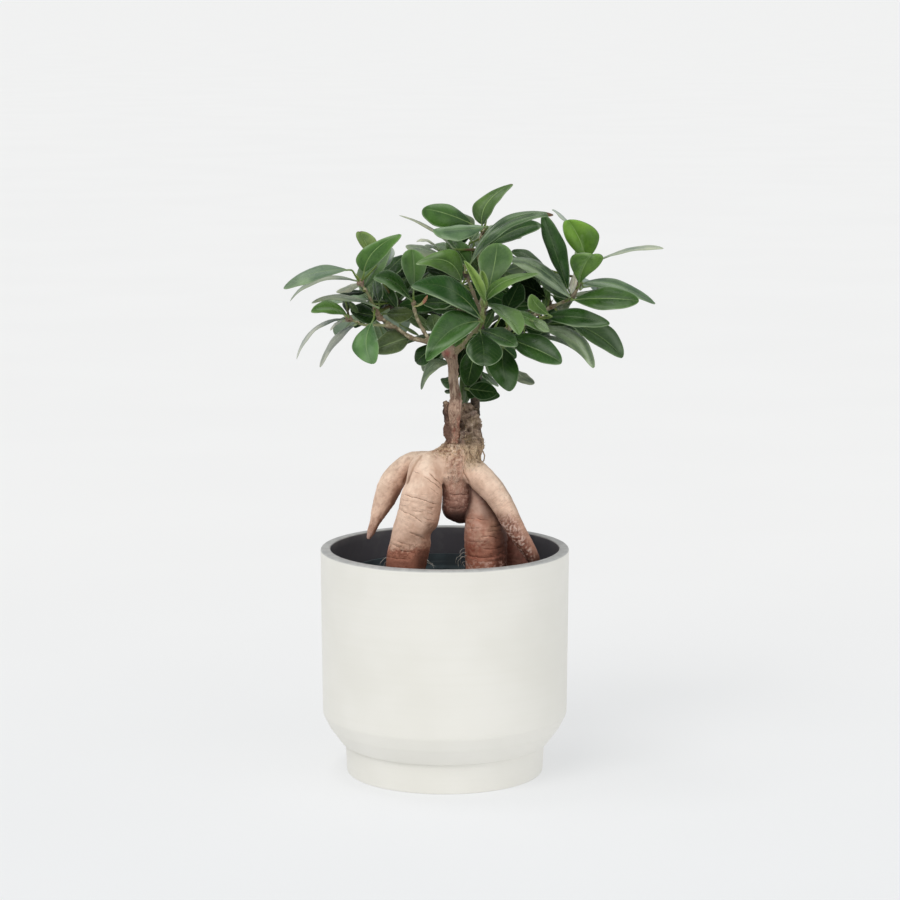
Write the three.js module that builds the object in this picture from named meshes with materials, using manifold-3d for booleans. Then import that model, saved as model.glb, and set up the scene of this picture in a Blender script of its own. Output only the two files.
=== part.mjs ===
// Potted Chinese banyan (Ficus microcarpa, swollen-root form) in a straight-sided ceramic cachepot.
// Millimetres, +Z up. Origin: centre of the cachepot's flat underside, which rests on the surface.
// +X is to the right and -Y is towards the viewer.
import * as THREE from 'three';
import Module from 'manifold-3d';
import { mergeVertices } from 'three/addons/utils/BufferGeometryUtils.js';

// ---------------------------------------------------------------- driving dimensions
const POT_HEIGHT = 137.7;        // floor to the top of the rim
const POT_RIM_RADIUS = 75;       // outer radius at the rim
const POT_MOUTH_RADIUS = 69;     // inner edge of the 6 mm flat rim
const POT_FOOT_RADIUS = 60.6;    // vertical foot
const POT_FOOT_HEIGHT = 18.4;    // top of the foot, where the chamfer starts
const POT_FLOOR = 8;             // thickness of the floor
const NURSERY_TOP = 122.3;       // rim of the plastic inner pot, 15 mm below the cachepot's rim
const NURSERY_RIM_RADIUS = 60;
const NURSERY_TOP_RADIUS = 57.6; // wall, just under the rim
const NURSERY_BOTTOM_RADIUS = 45;
const NURSERY_WALL = 1.2;
const SOIL_TOP = 107;
const FIT_GAP = 0.35;            // clearance between pieces that touch
const LATHE_SIDES = 48;
const ROOT_SIDES = 12;
const TWIG_SIDES = 7;
const LEAF_THICKNESS = 1.1;      // through the midrib; the blade thins to its margins
const PETIOLE_RADIUS = 0.7;

// ---------------------------------------------------------------- roots and trunks: [x, y, z, radius] along each
const ROOTS = {
  left_leg: [[4.4, -3, 189.6, 8.3], [-4.6, -6, 189.5, 8], [-11.2, -10, 187.1, 9.5], [-13, -13, 181.5, 11.2], [-13.6, -15, 175.2, 12.1], [-14.5, -15, 167.9, 12], [-15.4, -15, 161.2, 12.4], [-16.9, -15, 155.2, 12.5], [-19, -14, 149.5, 12.3], [-20.5, -14, 143.4, 11.8], [-22, -14, 136.7, 11.9], [-23.5, -14, 128.8, 11.6], [-25, -14, 114, 11], [-25.5, -14, 98, 9.6], [-25.5, -14, 87, 7]],
  hanging_root: [[-0.5, 0, 188.5, 6.5], [-8.9, 2, 189.4, 6.2], [-16.1, 3, 189.6, 5.8], [-21.6, 3, 188.3, 6], [-26.7, 3, 183.8, 6.7], [-30.9, 3, 178.3, 7.3], [-33.6, 2, 172.9, 7.3], [-35.7, 1, 167.6, 6.7], [-37.9, 0, 162.9, 5.5], [-40, -1, 158.1, 4.3], [-42.1, -2, 153.1, 3.1], [-44.2, -3, 148.1, 2.4], [-45.8, -3, 144.4, 1.2]],
  right_root: [[6.8, -4, 187.9, 6.5], [12.7, -7, 187.5, 6.5], [18.1, -10, 184.7, 7.7], [24.1, -13, 179.7, 7.9], [30, -15, 173.4, 7], [34.8, -17, 165.8, 6.5], [39, -18, 158.1, 5.9], [42.9, -19, 151.3, 5.3], [47.1, -19, 144.4, 4.8], [50.7, -18, 138.4, 4], [53.5, -16, 132.2, 3.3], [52.2, -14.8, 122.5, 2.8], [50.3, -13.6, 114, 2.2], [49.5, -13, 107, 1.8], [49, -13, 101, 1.2]],
  right_leg: [[8, 0, 184.9, 6.5], [15.2, -1, 178.9, 6.8], [20.6, -3, 172.5, 7.4], [22.1, -4, 166.6, 7.7], [22.7, -5, 160.7, 9.2], [23.9, -6, 154.8, 11.5], [24.6, -6, 148, 12.7], [24.8, -6, 140.1, 12.7], [24.9, -6, 132.1, 12.3], [24.9, -6, 126.6, 12.1], [25.8, -6, 114, 12], [26, -6, 98, 10.4], [26, -6, 87, 7.6]],
  back_leg: [[20.1, 6, 179, 6], [28.6, 9, 165, 6], [36.6, 11, 151.1, 6.3], [41.5, 12, 141.6, 6.9], [43.3, 12, 133.6, 7.5], [43.7, 12, 125.5, 7.8], [43.5, 12, 116, 8], [44, 12, 100, 6.6], [44, 12, 89, 4.5]],
  bulb: [[8, -5, 192.4, 8.36], [5.9, -6.5, 185.9, 8.96], [6, -6.5, 179.8, 8.48], [6.8, -5.5, 173.6, 8.18], [7.1, -5, 167.4, 7.94], [7.7, -4, 162, 7.28], [10.1, -2, 157.4, 4.78]],
  neck: [[14.3, 5, 223, 1.8], [14, 5, 219.4, 4.8], [14.2, 4, 214.7, 6.4], [14.3, 4, 208.6, 7.4], [13.7, 3, 203.9, 8], [12.2, 1, 199.9, 11], [11, -1, 194.8, 12.2], [8.6, -2, 188.8, 12.2], [8, -2, 182.7, 8.3]],
  stump: [[0.9, -9, 225.9, 1.73], [0.9, -9.5, 221.5, 2.03], [2.1, -9.5, 217.3, 2.33], [3.5, -9, 213.6, 2.75], [2.2, -9, 210.2, 2.99], [4.1, -7, 204.5, 3.1]],
};

// Two grafted stems. The first line of each is its trunk, the others are its branches.
const STEMS = {
  front: [
    [[5, -6, 203.4, 4.1], [4.7, -8, 213.4, 4], [6.1, -10, 222.8, 3.8], [6.7, -11, 230.1, 3.5], [5.8, -12, 241.1, 3.5], [5.2, -13, 252, 3.6], [3.2, -13, 258, 4.4]],
    [[3.2, -13, 257.4, 3.2], [-2.8, -13, 261.2, 2.2], [-9.9, -13, 263.9, 1.9], [-14.6, -13, 265.1, 1.8], [-19.4, -12, 266.2, 1.7], [-23.6, -11, 268.5, 1.6], [-29.5, -10, 272.5, 1.4], [-38.4, -10, 277.9, 1.2]],
    [[-38.4, -10, 277.9, 1.2], [-41.3, -12, 284.1, 1.1], [-44.2, -13, 290.1, 1], [-46.5, -14, 294.4, 1], [-49.5, -14, 299.2, 0.9]],
    [[-29.5, -10, 272.5, 1.3], [-39.6, -12, 274, 1.1], [-47.8, -14, 274.2, 1], [-52.5, -15, 276.1, 0.9], [-56.6, -15, 277.9, 0.9]],
    [[-2.2, -13, 260.9, 2], [-8.7, -13, 265.1, 1.6], [-13.5, -12, 272.2, 1.5], [-16.4, -11, 278, 1.4], [-18.2, -10, 283.9, 1.4], [-18.5, -10, 286.9, 1.3]],
    [[5.5, -14, 257.5, 2.4], [9.7, -17, 261.4, 1.6], [12.6, -22, 265.6, 1.4], [17.2, -32, 272.7, 1.3], [21.8, -40, 278.9, 1.3]],
    [[21.8, -40, 278.9, 1.3], [22.1, -41, 284.9, 1.2], [23, -42, 290.2, 1.1]],
    [[17.2, -32, 272.7, 1.2], [25.5, -27, 270.9, 1.1], [32.7, -20, 267.1, 1]],
  ],
  rear: [
    [[17.6, 6, 201.6, 3.4], [18.2, 7, 211.2, 3.1], [18.5, 8, 220.2, 2.8], [18.2, 8, 226.3, 2.8], [18.8, 10, 235.1, 2.7], [20, 12, 247, 2.5], [21.8, 13, 257.2, 2.3], [22.4, 12, 265.2, 2.1]],
    [[22.4, 12, 265.2, 1.7], [33.1, 4, 267.9, 1.4], [44.8, -8, 272.9, 1.2], [55.3, -15, 277.3, 1.1]],
    [[21.8, 13, 258.4, 1.9], [36.2, 12, 268.2, 1.6], [54.1, 6, 278, 1.4], [67.6, 1, 285.1, 1.3], [75.3, 0, 288.8, 1.3], [79, 4, 294.4, 1.1], [82.1, 8, 303, 0.9]],
    [[22.4, 12, 265.2, 1.9], [21.2, 10, 277.5, 1.7], [17.5, 0, 290.6, 1.4], [12.6, -8, 303.3, 1.2]],
    [[21.2, 10, 277.5, 1.5], [22.4, 14, 292.2, 1.3], [21.1, 12, 305.6, 1.2], [19.9, 10, 316.6, 1.1], [23.5, 15, 328.8, 1]],
    [[20, 13, 254.8, 1.6], [18.4, 30, 257, 1.3], [15.4, 48, 259.2, 1.1]],
    [[22.4, 12, 269.4, 1.6], [10.4, 28, 277.4, 1.4], [0.1, 40, 280.4, 1.2], [-7.9, 46, 282.8, 1]],
    [[0.1, 40, 280.4, 1.1], [-15.1, 36, 282, 1], [-29.6, 30, 282.6, 0.9]],
    [[21.8, 11, 275.6, 1.5], [27.5, 32, 284.3, 1.3], [33.8, 52, 293.3, 1]],
    [[36.2, 12, 268.2, 1.4], [48.7, 30, 275.3, 1.2], [63.1, 44, 279.3, 1]],
    [[21.8, 14, 291, 1.3], [15.3, 28, 301.7, 1.1], [6.2, 40, 310.3, 0.9]],
  ],
};

// Each leaf: name, petiole start, blade base, middle of the midrib, tip (x, y, z each), the two half-widths at
// the middle as vectors, an outline shape number (over 1 is widest beyond the middle), and its green.
const LEAVES = [
  ['left_upper_arched', -50.52, -15.15, 300.37, -56.8, -22, 307.6, -75.3, -29, 305.9, -92.6, -36, 298.1, 1.4, 8.1, 3.9, -0.8, -8.3, -3.6, 1, 3],
  ['left_upper_edge', -50.1, -12.8, 299.3, -53.3, -6, 299.9, -71.8, -3, 299.6, -92, 0, 287, -0.3, 7.8, 0.4, -0.3, -7.8, -1, 1, 3],
  ['left_middle_edge', -40.34, -13.27, 284.27, -40.03, -16.5, 285.22, -61.39, -13, 290.71, -78.96, -10.9, 286.92, -0.3, 8.4, 0.5, 0.3, -8.4, -0.7, 1.1, 3],
  ['left_outer_bright', -56.8, -16.2, 278.5, -57.6, -20.2, 280.8, -67.8, -31.3, 286.5, -77.8, -42.3, 285.3, -0.3, 7.2, 3.8, -0.6, -7.8, -2.4, 1, 2],
  ['left_lower_curved', -56.5, -13.56, 277.57, -57.9, -12, 277.8, -77.1, -15, 271.6, -87.7, -18, 254.1, -0.8, 7.3, -0.1, 0.9, -7.3, 0.1, 1, 3],
  ['left_drooping', -51.92, -16.27, 275.35, -53.5, -20, 274.6, -64.3, -25, 266.5, -72.7, -30, 250.9, -3, 8.1, -0.1, 2.7, -8.2, 0.1, 0.85, 3],
  ['left_hanging', -41.4, -13.4, 283.4, -42.7, -26, 277.3, -45.5, -33, 265.7, -41.7, -34, 254, -8.6, 0, -0.6, 7.2, -4.8, 0.6, 1.15, 1],
  ['left_lower_olive', -20.31, -9.72, 265.97, -21.2, -7.4, 265.7, -30.7, -12.4, 263.3, -42.3, -20.9, 259.5, -1.9, 4.5, 7.1, 2.2, -6.4, -5.2, 0.9, 5],
  ['left_shaded', -36.8, -8.3, 276.7, -39.3, 4, 277, -47.9, 12, 277.9, -56.9, 20, 278.8, -2, 6.1, 5.7, 0.8, -6.9, -5, 1, 0],
  ['left_top_small', -48.9, -13.2, 300.1, -41.3, -8, 311.07, -45.89, -11, 320.84, -50.28, -12, 329.42, -4.7, -3.3, 2.1, 6, 0, 2.4, 1.2, 6],
  ['left_top_large', -49.2, -15, 300.1, -47.4, -22, 306.4, -41, -29, 319.4, -25.7, -36, 329.9, -8.2, 5.3, 0.1, 7.2, -6.2, -1.2, 0.85, 2],
  ['left_top_inner', -48.46, -12.88, 294.3, -48.92, -11.8, 294.19, -41.7, -3.9, 307.13, -32.88, 4.2, 318.55, -5.2, 6.8, -1.2, 5.2, -6.8, 0, 1, 6],
  ['left_inner_bright', -19.4, -11, 288, -20, -11.6, 288.8, -30.7, -19.5, 300.9, -41.7, -26.1, 303.3, 1.4, 6.9, 5, -1.9, -8, -2.7, 1, 2],
  ['upright_centre_left', -18.5, -9.3, 288.5, -18.5, -7.3, 293.1, -18.1, -12.5, 307.9, -19.3, -13.1, 318.9, -7.6, -4.9, 1.7, 7.6, -5.2, 1.1, 1.25, 1],
  ['crown_left_grey', 11.5, -7.1, 304.1, 0.8, 2, 311.9, -11.2, 7, 316.6, -23.5, 12, 318.8, -0.1, 8.2, 1.7, -0.5, -7.2, -3.9, 1.1, 3],
  ['crown_left_arched', 12.47, -8.56, 301.16, 9.7, -14, 300.3, 0.8, -24, 313.1, -16.4, -34, 312.8, 5.3, 4.5, 6.1, -4.7, -6.8, -4.1, 0.95, 6],
  ['top_left_edge', 18.5, 9.3, 316.9, 3.8, 2.3, 319.7, -9.6, 3.2, 330, -27.2, 2.2, 337.5, 0.4, 7.5, 0.4, -0.6, -7.5, -0.6, 0.8, 3],
  ['top_left_dark', 21.82, 13, 327.54, 15.4, 6, 332.5, -0.1, -1, 339.3, -13.4, -8, 342.4, 2.7, 7.4, 4.8, -4.4, -3.3, -7.5, 1, 0],
  ['top_left_grey', 22.7, 12.3, 326.2, 23.6, -4, 331.5, 8.5, -14, 330.5, -6.8, -24, 331.3, 1.2, 8.9, 2.5, -1.8, -7, -5.6, 0.95, 3],
  ['top_point', 22.52, 14.05, 329.69, 22.3, 14, 331.5, 26.8, 17, 344.8, 41.2, 20, 355.4, -7.6, 4.1, 0.3, 4.2, -7.2, -1.6, 0.8, 5],
  ['top_right_long', 13, -9, 304.5, 15, -14, 310.4, 34.9, -20, 335.1, 63.7, -26, 339.1, -1.6, 8.2, 2.6, 1.6, -8.2, -2.6, 0.95, 3],
  ['top_right_dark', 20.6, 8.8, 315.6, 23.4, 2, 316.1, 40.5, 7, 327, 57.9, 12, 330.2, -0.8, 7.2, 4.4, 1.4, -7.3, -4, 1.3, 0],
  ['right_top_large', 75.32, 2.59, 291.54, 74, 4, 292.6, 65.4, -5, 317.6, 58, -12, 338.9, -5.7, 8.1, -0.1, 6.6, -7.4, 0.6, 1.15, 0],
  ['centre_round', 23.25, -38.96, 290.12, 25.5, -27, 295.7, 29.2, -31.9, 312.6, 30.6, -31.7, 324.3, -9.9, -3.1, 0.3, 10.3, -1.2, 0.1, 1.3, 1],
  ['young_right', 23.4, -43.3, 291, 24.1, -45.5, 292.4, 34.1, -49.5, 303.2, 54.3, -53.5, 308.5, -2, 4, 2, 2.3, -3.4, -2.6, 0.8, 4],
  ['centre_left_large', 21.68, -42.19, 280.45, 21.2, -47.8, 281.5, 3.2, -54.7, 299.4, -19, -58.3, 301.8, 2.3, 7.1, 6, -3.5, -6.9, -5.7, 1, 0],
  ['centre_bright', 21, -44.91, 281.02, 20.32, -47.5, 279.98, 3.2, -55.6, 275.37, -10.72, -64.3, 259.25, -4.1, 0, 9.9, 4.1, -6.8, -5.3, 0.9, 2],
  ['centre_hanging', 21.6, -41.5, 278.1, 20.6, -48, 274.8, 22.2, -65, 267.2, 22.6, -74, 257.3, -9.9, -3.2, 0.4, 11.3, 0, -1.2, 1.3, 1],
  ['centre_low_right', 20.36, -35.74, 273.83, 20.7, -36, 273.7, 31.8, -40, 270.4, 42.5, -44, 265.3, 3.1, 6.8, 4.6, -3.7, -7.9, -2.1, 1.2, 1],
  ['centre_right_light', 22.8, -40.2, 289, 23, -34, 289.4, 36.7, -42, 281.7, 43.2, -50, 272.4, 6.9, 4.5, 3.7, -4.8, -7.6, 2.3, 1.15, 2],
  ['right_low_dark', 29.2, -25.4, 269.4, 34.3, -28, 268.7, 53.6, -34, 262.3, 69.2, -40, 254.8, 3.3, 4.1, 8.1, -3.7, -7.9, -4.1, 1.1, 0],
  ['right_low_grey', 53.44, -13.27, 274.53, 55.3, -14, 273, 74.7, -19, 266.4, 87, -24, 249.8, 4.1, 7.3, 2.7, -3, -8, -2.3, 1.05, 3],
  ['right_middle_dark', 56.7, -14.7, 278, 58.8, -14.2, 279, 78, -23.3, 279.7, 97, -30.4, 276.9, -0.3, 7.5, 4.9, -0.3, -7.9, -4.3, 1, 0],
  ['right_middle_rear', 66, 2.3, 282.3, 72.6, 4, 274.6, 91.8, 3, 265.9, 106.5, 2, 252.5, 6.2, 3.9, 5.9, -6, -7.3, -1.6, 1.1, 1],
  ['right_striped_grey', 73.06, -1.77, 287.78, 75.19, -3, 289.07, 57.42, -9, 306.34, 38.54, -15, 313.47, 2, 8.6, 2.8, -2.9, -8, -3.7, 1, 3],
  ['right_outer_dark', 75.7, -1.8, 288.7, 76.6, -6.3, 288.3, 96, -14.1, 289.4, 114.8, -17.7, 288.3, 1.5, 6.2, 6.5, -1.5, -6.8, -5.8, 1.05, 0],
  ['right_outer_light', 81.5, 6.1, 297.2, 83, 6.7, 296.8, 104, 2.6, 295.7, 125.6, -2.1, 285.4, 1, 8.2, 2.9, -2.2, -8.3, -2.2, 0.9, 3],
  ['right_outer_edge', 82.7, 9.1, 303.5, 87.4, 18, 307.5, 111.6, 22, 315.6, 132.1, 26, 315.8, 1.2, 8.1, 1.7, -0.5, -8.3, -1, 1.6, 3],
  ['right_folded_yellow', 78.8, 2.1, 294.4, 80, -2, 297.4, 82.6, -14, 308.9, 85.2, -26, 317.4, -8.2, -6, 3.3, 9.3, -4, 1.6, 1.3, 6],
  ['right_top_bright', 82.4, 7.7, 304.3, 83.8, 6, 310.7, 78.3, -1, 324.7, 71.4, -8, 336.2, -8, -6.4, 0.5, 11.3, 0, 3, 1, 2],
  ['low_hanging_dark', 33.1, -19.3, 265.9, 34.6, -16, 260.7, 35.1, -22, 248.9, 38.3, -24, 235.8, -10.1, 0, 3, 9.1, -2.5, 0.3, 1, 0],
  ['low_rear_dark', 18.15, 14.24, 241.36, 18.21, 14.6, 241.17, 22.21, 19.5, 230.16, 31.72, 24.7, 225.16, 5.8, 5.9, 2.9, -6.7, -3.6, -4.4, 0.95, 0],
  ['low_rear_tall', 18.8, 14.9, 250.8, 17.8, 16.4, 249.8, 15.3, 17.1, 239.7, 11.3, 15.1, 221, 6.1, 6.7, -0.3, -5.8, -6.9, 1.5, 0.9, 0],
  ['low_curved_olive', 4.5, -8.8, 249.6, 2.6, 0, 249.7, -7.9, -4, 248.1, -14.1, -8, 234.8, -1.9, 6.7, 2.2, 1.5, -6.6, -2.5, 0.85, 5],
  ['rear_left_5', -8.1, 47.3, 283.4, -9, 54.7, 287, -12.3, 71.3, 297, -14.9, 90.8, 298.6, 8.1, 0.2, 3.6, -8.5, -1.9, 1.6, 1.12, 0],
  ['rear_centre_1', 34.4, 53.3, 293.3, 37.2, 59.1, 293.3, 48.3, 77.3, 295.4, 60.5, 92.8, 287, 7.1, -4.3, 3, -7.3, 4.9, -1, 1.09, 0],
  ['rear_right_7', 63.5, 45.3, 278.8, 65.6, 51.8, 276.2, 76.4, 71, 269.2, 85.9, 87, 255.3, 9, -3.2, 3.4, -7.9, 5.9, 2.1, 1.1, 1],
  ['rear_low_1', 14.4, 49.1, 258.7, 8.3, 55.7, 255.9, -2.8, 73.5, 248.8, -12.9, 85.5, 233.2, 7.2, 4.4, -0.9, -7.4, -3.1, 2.8, 1.12, 0],
  ['rear_low_4', 17.9, 42.7, 258.8, 23.1, 42.5, 259.6, 38.6, 37, 265.5, 53.8, 28.9, 268.3, -4.3, -5.4, 6.8, 4.5, 7.5, -4.2, 1.13, 0],
  ['rear_far_left_3', -26.36, 31.08, 280.91, -24.5, 31.5, 278.3, -3.4, 35.3, 273.8, 13, 38.5, 259.5, 2.1, -9.3, 0.7, -1.1, 9.4, 1.2, 1.13, 2],
  ['rear_far_right_3', 81.4, 7.7, 299.2, 85.8, 20.2, 293.6, 104.7, 27.8, 293.2, 122.1, 36.6, 287.1, 3.5, -8.4, -1.8, -3, 8, 3.5, 1.16, 1],
  ['rear_far_right_4', 78.6, 5.5, 294, 73.5, 23.2, 289.7, 63.2, 34.1, 300.2, 49.8, 45.8, 304.8, 5.5, 6.1, -0.4, -4.1, -6.4, 3.2, 1.01, 2],
  ['side_left_back_5', -30.7, 29.4, 282.2, -46.6, 20.4, 276.8, -56.7, 34.6, 271.1, -64.7, 46.4, 259.7, 7.1, 6.5, 2.5, -8.5, -4.9, 1.5, 1.2, 5],
  ['rear_crown_1', 11.8, 33, 306.8, 16.4, 30.2, 320.2, 5.5, 32, 330.2, -8.4, 30.8, 335.4, -0.9, 8.8, -1.8, 3.1, -6.6, 5.4, 0.95, 0],
];

const GREENS = [0x2b4a26, 0x3f6a32, 0x4f8236, 0x7f9478, 0x7da03c, 0x49552a, 0x6b8a36];

// ---------------------------------------------------------------- helpers
const wasm = await Module();
wasm.setup();

const V = (x, y, z) => new THREE.Vector3(x, y, z);

function geometry(positions, indices) {
  const g = new THREE.BufferGeometry();
  g.setAttribute('position', new THREE.Float32BufferAttribute(positions, 3));
  g.setIndex(indices);
  return g;
}

// Signed volume, to turn a surface that came out inside out.
function volume(g) {
  const p = g.attributes.position, ix = g.index, a = V(), b = V(), c = V();
  let v = 0;
  for (let i = 0; i < ix.count; i += 3) {
    a.fromBufferAttribute(p, ix.getX(i)); b.fromBufferAttribute(p, ix.getX(i + 1)); c.fromBufferAttribute(p, ix.getX(i + 2));
    v += a.dot(b.cross(c)) / 6;
  }
  return v;
}

function facingOut(g) {
  if (volume(g) >= 0) return g;
  const ix = Array.from(g.index.array);
  for (let i = 0; i < ix.length; i += 3) [ix[i + 1], ix[i + 2]] = [ix[i + 2], ix[i + 1]];
  g.setIndex(ix);
  return g;
}

// Welds a geometry and drops the flat triangles that a lathe leaves on its axis.
function welded(g) {
  g.deleteAttribute('normal'); g.deleteAttribute('uv');
  const m = mergeVertices(g, 1e-4), ix = m.index.array, keep = [];
  for (let i = 0; i < ix.length; i += 3)
    if (ix[i] !== ix[i + 1] && ix[i + 1] !== ix[i + 2] && ix[i] !== ix[i + 2]) keep.push(ix[i], ix[i + 1], ix[i + 2]);
  m.setIndex(keep);
  return facingOut(m);
}

// A turned solid: profile of [radius, z] pairs, from the axis round to the axis.
function turned(profile, sides = LATHE_SIDES) {
  const g = new THREE.LatheGeometry(profile.map(([r, z]) => new THREE.Vector2(r, z)), sides);
  g.rotateX(Math.PI / 2);
  return welded(g);
}

function solid(g) {
  return new wasm.Manifold(new wasm.Mesh({
    numProp: 3,
    vertProperties: new Float32Array(g.attributes.position.array),
    triVerts: new Uint32Array(g.index.array),
  }));
}

// The largest body of a solid, back as a geometry.
function body(m) {
  const parts = m.decompose();
  parts.sort((a, b) => b.volume() - a.volume());
  const mesh = parts[0].getMesh(), pos = [];
  for (let i = 0; i < mesh.vertProperties.length; i += mesh.numProp)
    pos.push(mesh.vertProperties[i], mesh.vertProperties[i + 1], mesh.vertProperties[i + 2]);
  return geometry(pos, Array.from(mesh.triVerts));
}

function union(list) {
  return list.reduce((a, b) => a.add(b));
}

// A round limb that tapers along a smooth curve through [x, y, z, radius] points, with domed ends.
// grow widens it all over, for the clearance socket that it sits in.
function limb(points, sides, perSpan = 1, grow = 0) {
  const curve = new THREE.CatmullRomCurve3(points.map((p) => V(p[0], p[1], p[2])), false, 'centripetal');
  const n = (points.length - 1) * perSpan;
  const rings = [];
  let normal = null, last = null;
  for (let i = 0; i <= n; i++) {
    const u = i / n, at = curve.getPoint(u), dir = curve.getTangent(u).normalize();
    const k = Math.min(Math.floor(i / perSpan), points.length - 2), f = i / perSpan - k;
    const r = points[k][3] * (1 - f) + points[k + 1][3] * f + grow;
    if (!normal) normal = V(0, 0, 1).cross(dir).lengthSq() > 1e-3 ? V(0, 0, 1).cross(dir).normalize() : V(1, 0, 0).cross(dir).normalize();
    else normal.applyQuaternion(new THREE.Quaternion().setFromUnitVectors(last, dir)).projectOnPlane(dir).normalize();
    last = dir.clone();
    rings.push({ at, dir, normal: normal.clone(), r });
  }
  const dome = (ring, way) => ({ at: ring.at.clone().addScaledVector(ring.dir, way * ring.r * 0.55), dir: ring.dir, normal: ring.normal, r: ring.r * 0.6 });
  rings.unshift(dome(rings[0], -1));
  rings.push(dome(rings[rings.length - 1], 1));
  const pos = [], ix = [];
  for (const { at, dir, normal: nn, r } of rings) {
    const side = dir.clone().cross(nn);
    for (let j = 0; j < sides; j++) {
      const a = (j / sides) * Math.PI * 2;
      const p = at.clone().addScaledVector(nn, r * Math.cos(a)).addScaledVector(side, r * Math.sin(a));
      pos.push(p.x, p.y, p.z);
    }
  }
  for (let i = 0; i + 1 < rings.length; i++)
    for (let j = 0; j < sides; j++) {
      const a = i * sides + j, b = i * sides + ((j + 1) % sides), c = a + sides, d = b + sides;
      ix.push(a, b, d, a, d, c);
    }
  const end = (rings.length - 1) * sides;
  for (let j = 1; j + 1 < sides; j++) ix.push(0, j + 1, j, end, end + j, end + j + 1);
  return solid(facingOut(geometry(pos, ix)));
}

// A leaf: a stalk that widens into a thin blade, lens-shaped across, along a curved midrib.
function leaf(row) {
  const at = (k) => V(row[k], row[k + 1], row[k + 2]);
  const start = at(1), base = at(4), mid = at(7), tip = at(10), left = at(13), right = at(16), shape = row[19];
  const outline = (s) => Math.pow(Math.sin(Math.PI * Math.pow(s, shape)), 0.8);
  const control = mid.clone().multiplyScalar(2).addScaledVector(base, -0.5).addScaledVector(tip, -0.5);
  const rib = new THREE.QuadraticBezierCurve3(base, control, tip);
  const across = left.clone().sub(right).normalize();
  const sections = [];
  const stalk = rib.getTangent(0).normalize();
  const bend = base.clone().addScaledVector(stalk, -Math.min(3, base.distanceTo(start) * 0.5));
  const stalkDir = base.clone().sub(start).normalize();
  const up0 = across.clone().cross(stalkDir).normalize(), side0 = stalkDir.clone().cross(up0).normalize();
  const ring = (c, side, up, r) => [c.clone().addScaledVector(side, r), c.clone().addScaledVector(up, r), c.clone().addScaledVector(side, -r), c.clone().addScaledVector(up, -r)];
  sections.push(ring(start, side0.clone().negate(), up0, PETIOLE_RADIUS));
  if (base.distanceTo(start) > 3) sections.push(ring(bend, across, up0, PETIOLE_RADIUS));
  sections.push(ring(base.clone().lerp(rib.getPoint(0.04), 0.5), across, across.clone().cross(stalk).normalize(), PETIOLE_RADIUS));
  for (const s of [0.12, 0.28, 0.45, 0.62, 0.78, 0.91, 0.975]) {
    const c = rib.getPoint(s), up = across.clone().cross(rib.getTangent(s)).normalize(), f = outline(s);
    const t = (LEAF_THICKNESS / 2) * (s > 0.9 ? 0.7 : 1);
    sections.push([c.clone().addScaledVector(left, f), c.clone().addScaledVector(up, t), c.clone().addScaledVector(right, f), c.clone().addScaledVector(up, -t)]);
  }
  // every section starts on the same side of the leaf
  for (const s of sections) if (s[0].clone().sub(s[2]).dot(across) < 0) { [s[0], s[2]] = [s[2], s[0]]; }
  const pos = [], ix = [];
  for (const s of sections) for (const p of s) pos.push(p.x, p.y, p.z);
  for (let i = 0; i + 1 < sections.length; i++)
    for (let j = 0; j < 4; j++) {
      const a = i * 4 + j, b = i * 4 + ((j + 1) % 4), c = a + 4, d = b + 4;
      ix.push(a, b, d, a, d, c);
    }
  const end = (sections.length - 1) * 4;
  ix.push(0, 3, 1, 1, 3, 2, end, end + 1, end + 3, end + 1, end + 2, end + 3);
  return facingOut(geometry(pos, ix));
}

// ---------------------------------------------------------------- the object
const plant = new THREE.Group();
function add(name, g, color, roughness, metalness = 0) {
  g.computeVertexNormals();
  const mesh = new THREE.Mesh(g, new THREE.MeshStandardMaterial({ color, roughness, metalness }));
  mesh.name = name;
  plant.add(mesh);
}

// Cachepot: straight cylinder on a narrower foot, with a chamfer between them and a flat rim.
add('cachepot', turned([
  [0, 0], [POT_FOOT_RADIUS - 0.9, 0], [POT_FOOT_RADIUS - 0.1, 0.9], [POT_FOOT_RADIUS, POT_FOOT_HEIGHT - 0.6],
  [POT_FOOT_RADIUS + 2.6, POT_FOOT_HEIGHT + 0.4], [70.2, 28.5], [73.1, 33.6], [74.1, 36.6],
  [POT_RIM_RADIUS, POT_HEIGHT - 1.6], [POT_RIM_RADIUS - 0.5, POT_HEIGHT - 0.5], [POT_RIM_RADIUS - 1.6, POT_HEIGHT],
  [POT_MOUTH_RADIUS + 1, POT_HEIGHT], [POT_MOUTH_RADIUS, POT_HEIGHT - 1.2],
  [POT_MOUTH_RADIUS - 0.6, 90], [POT_MOUTH_RADIUS - 1.4, 42], [58.5, 21], [56, 11.5], [53, POT_FLOOR], [0, POT_FLOOR],
]), 0xe7e7dd, 0.35);

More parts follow.
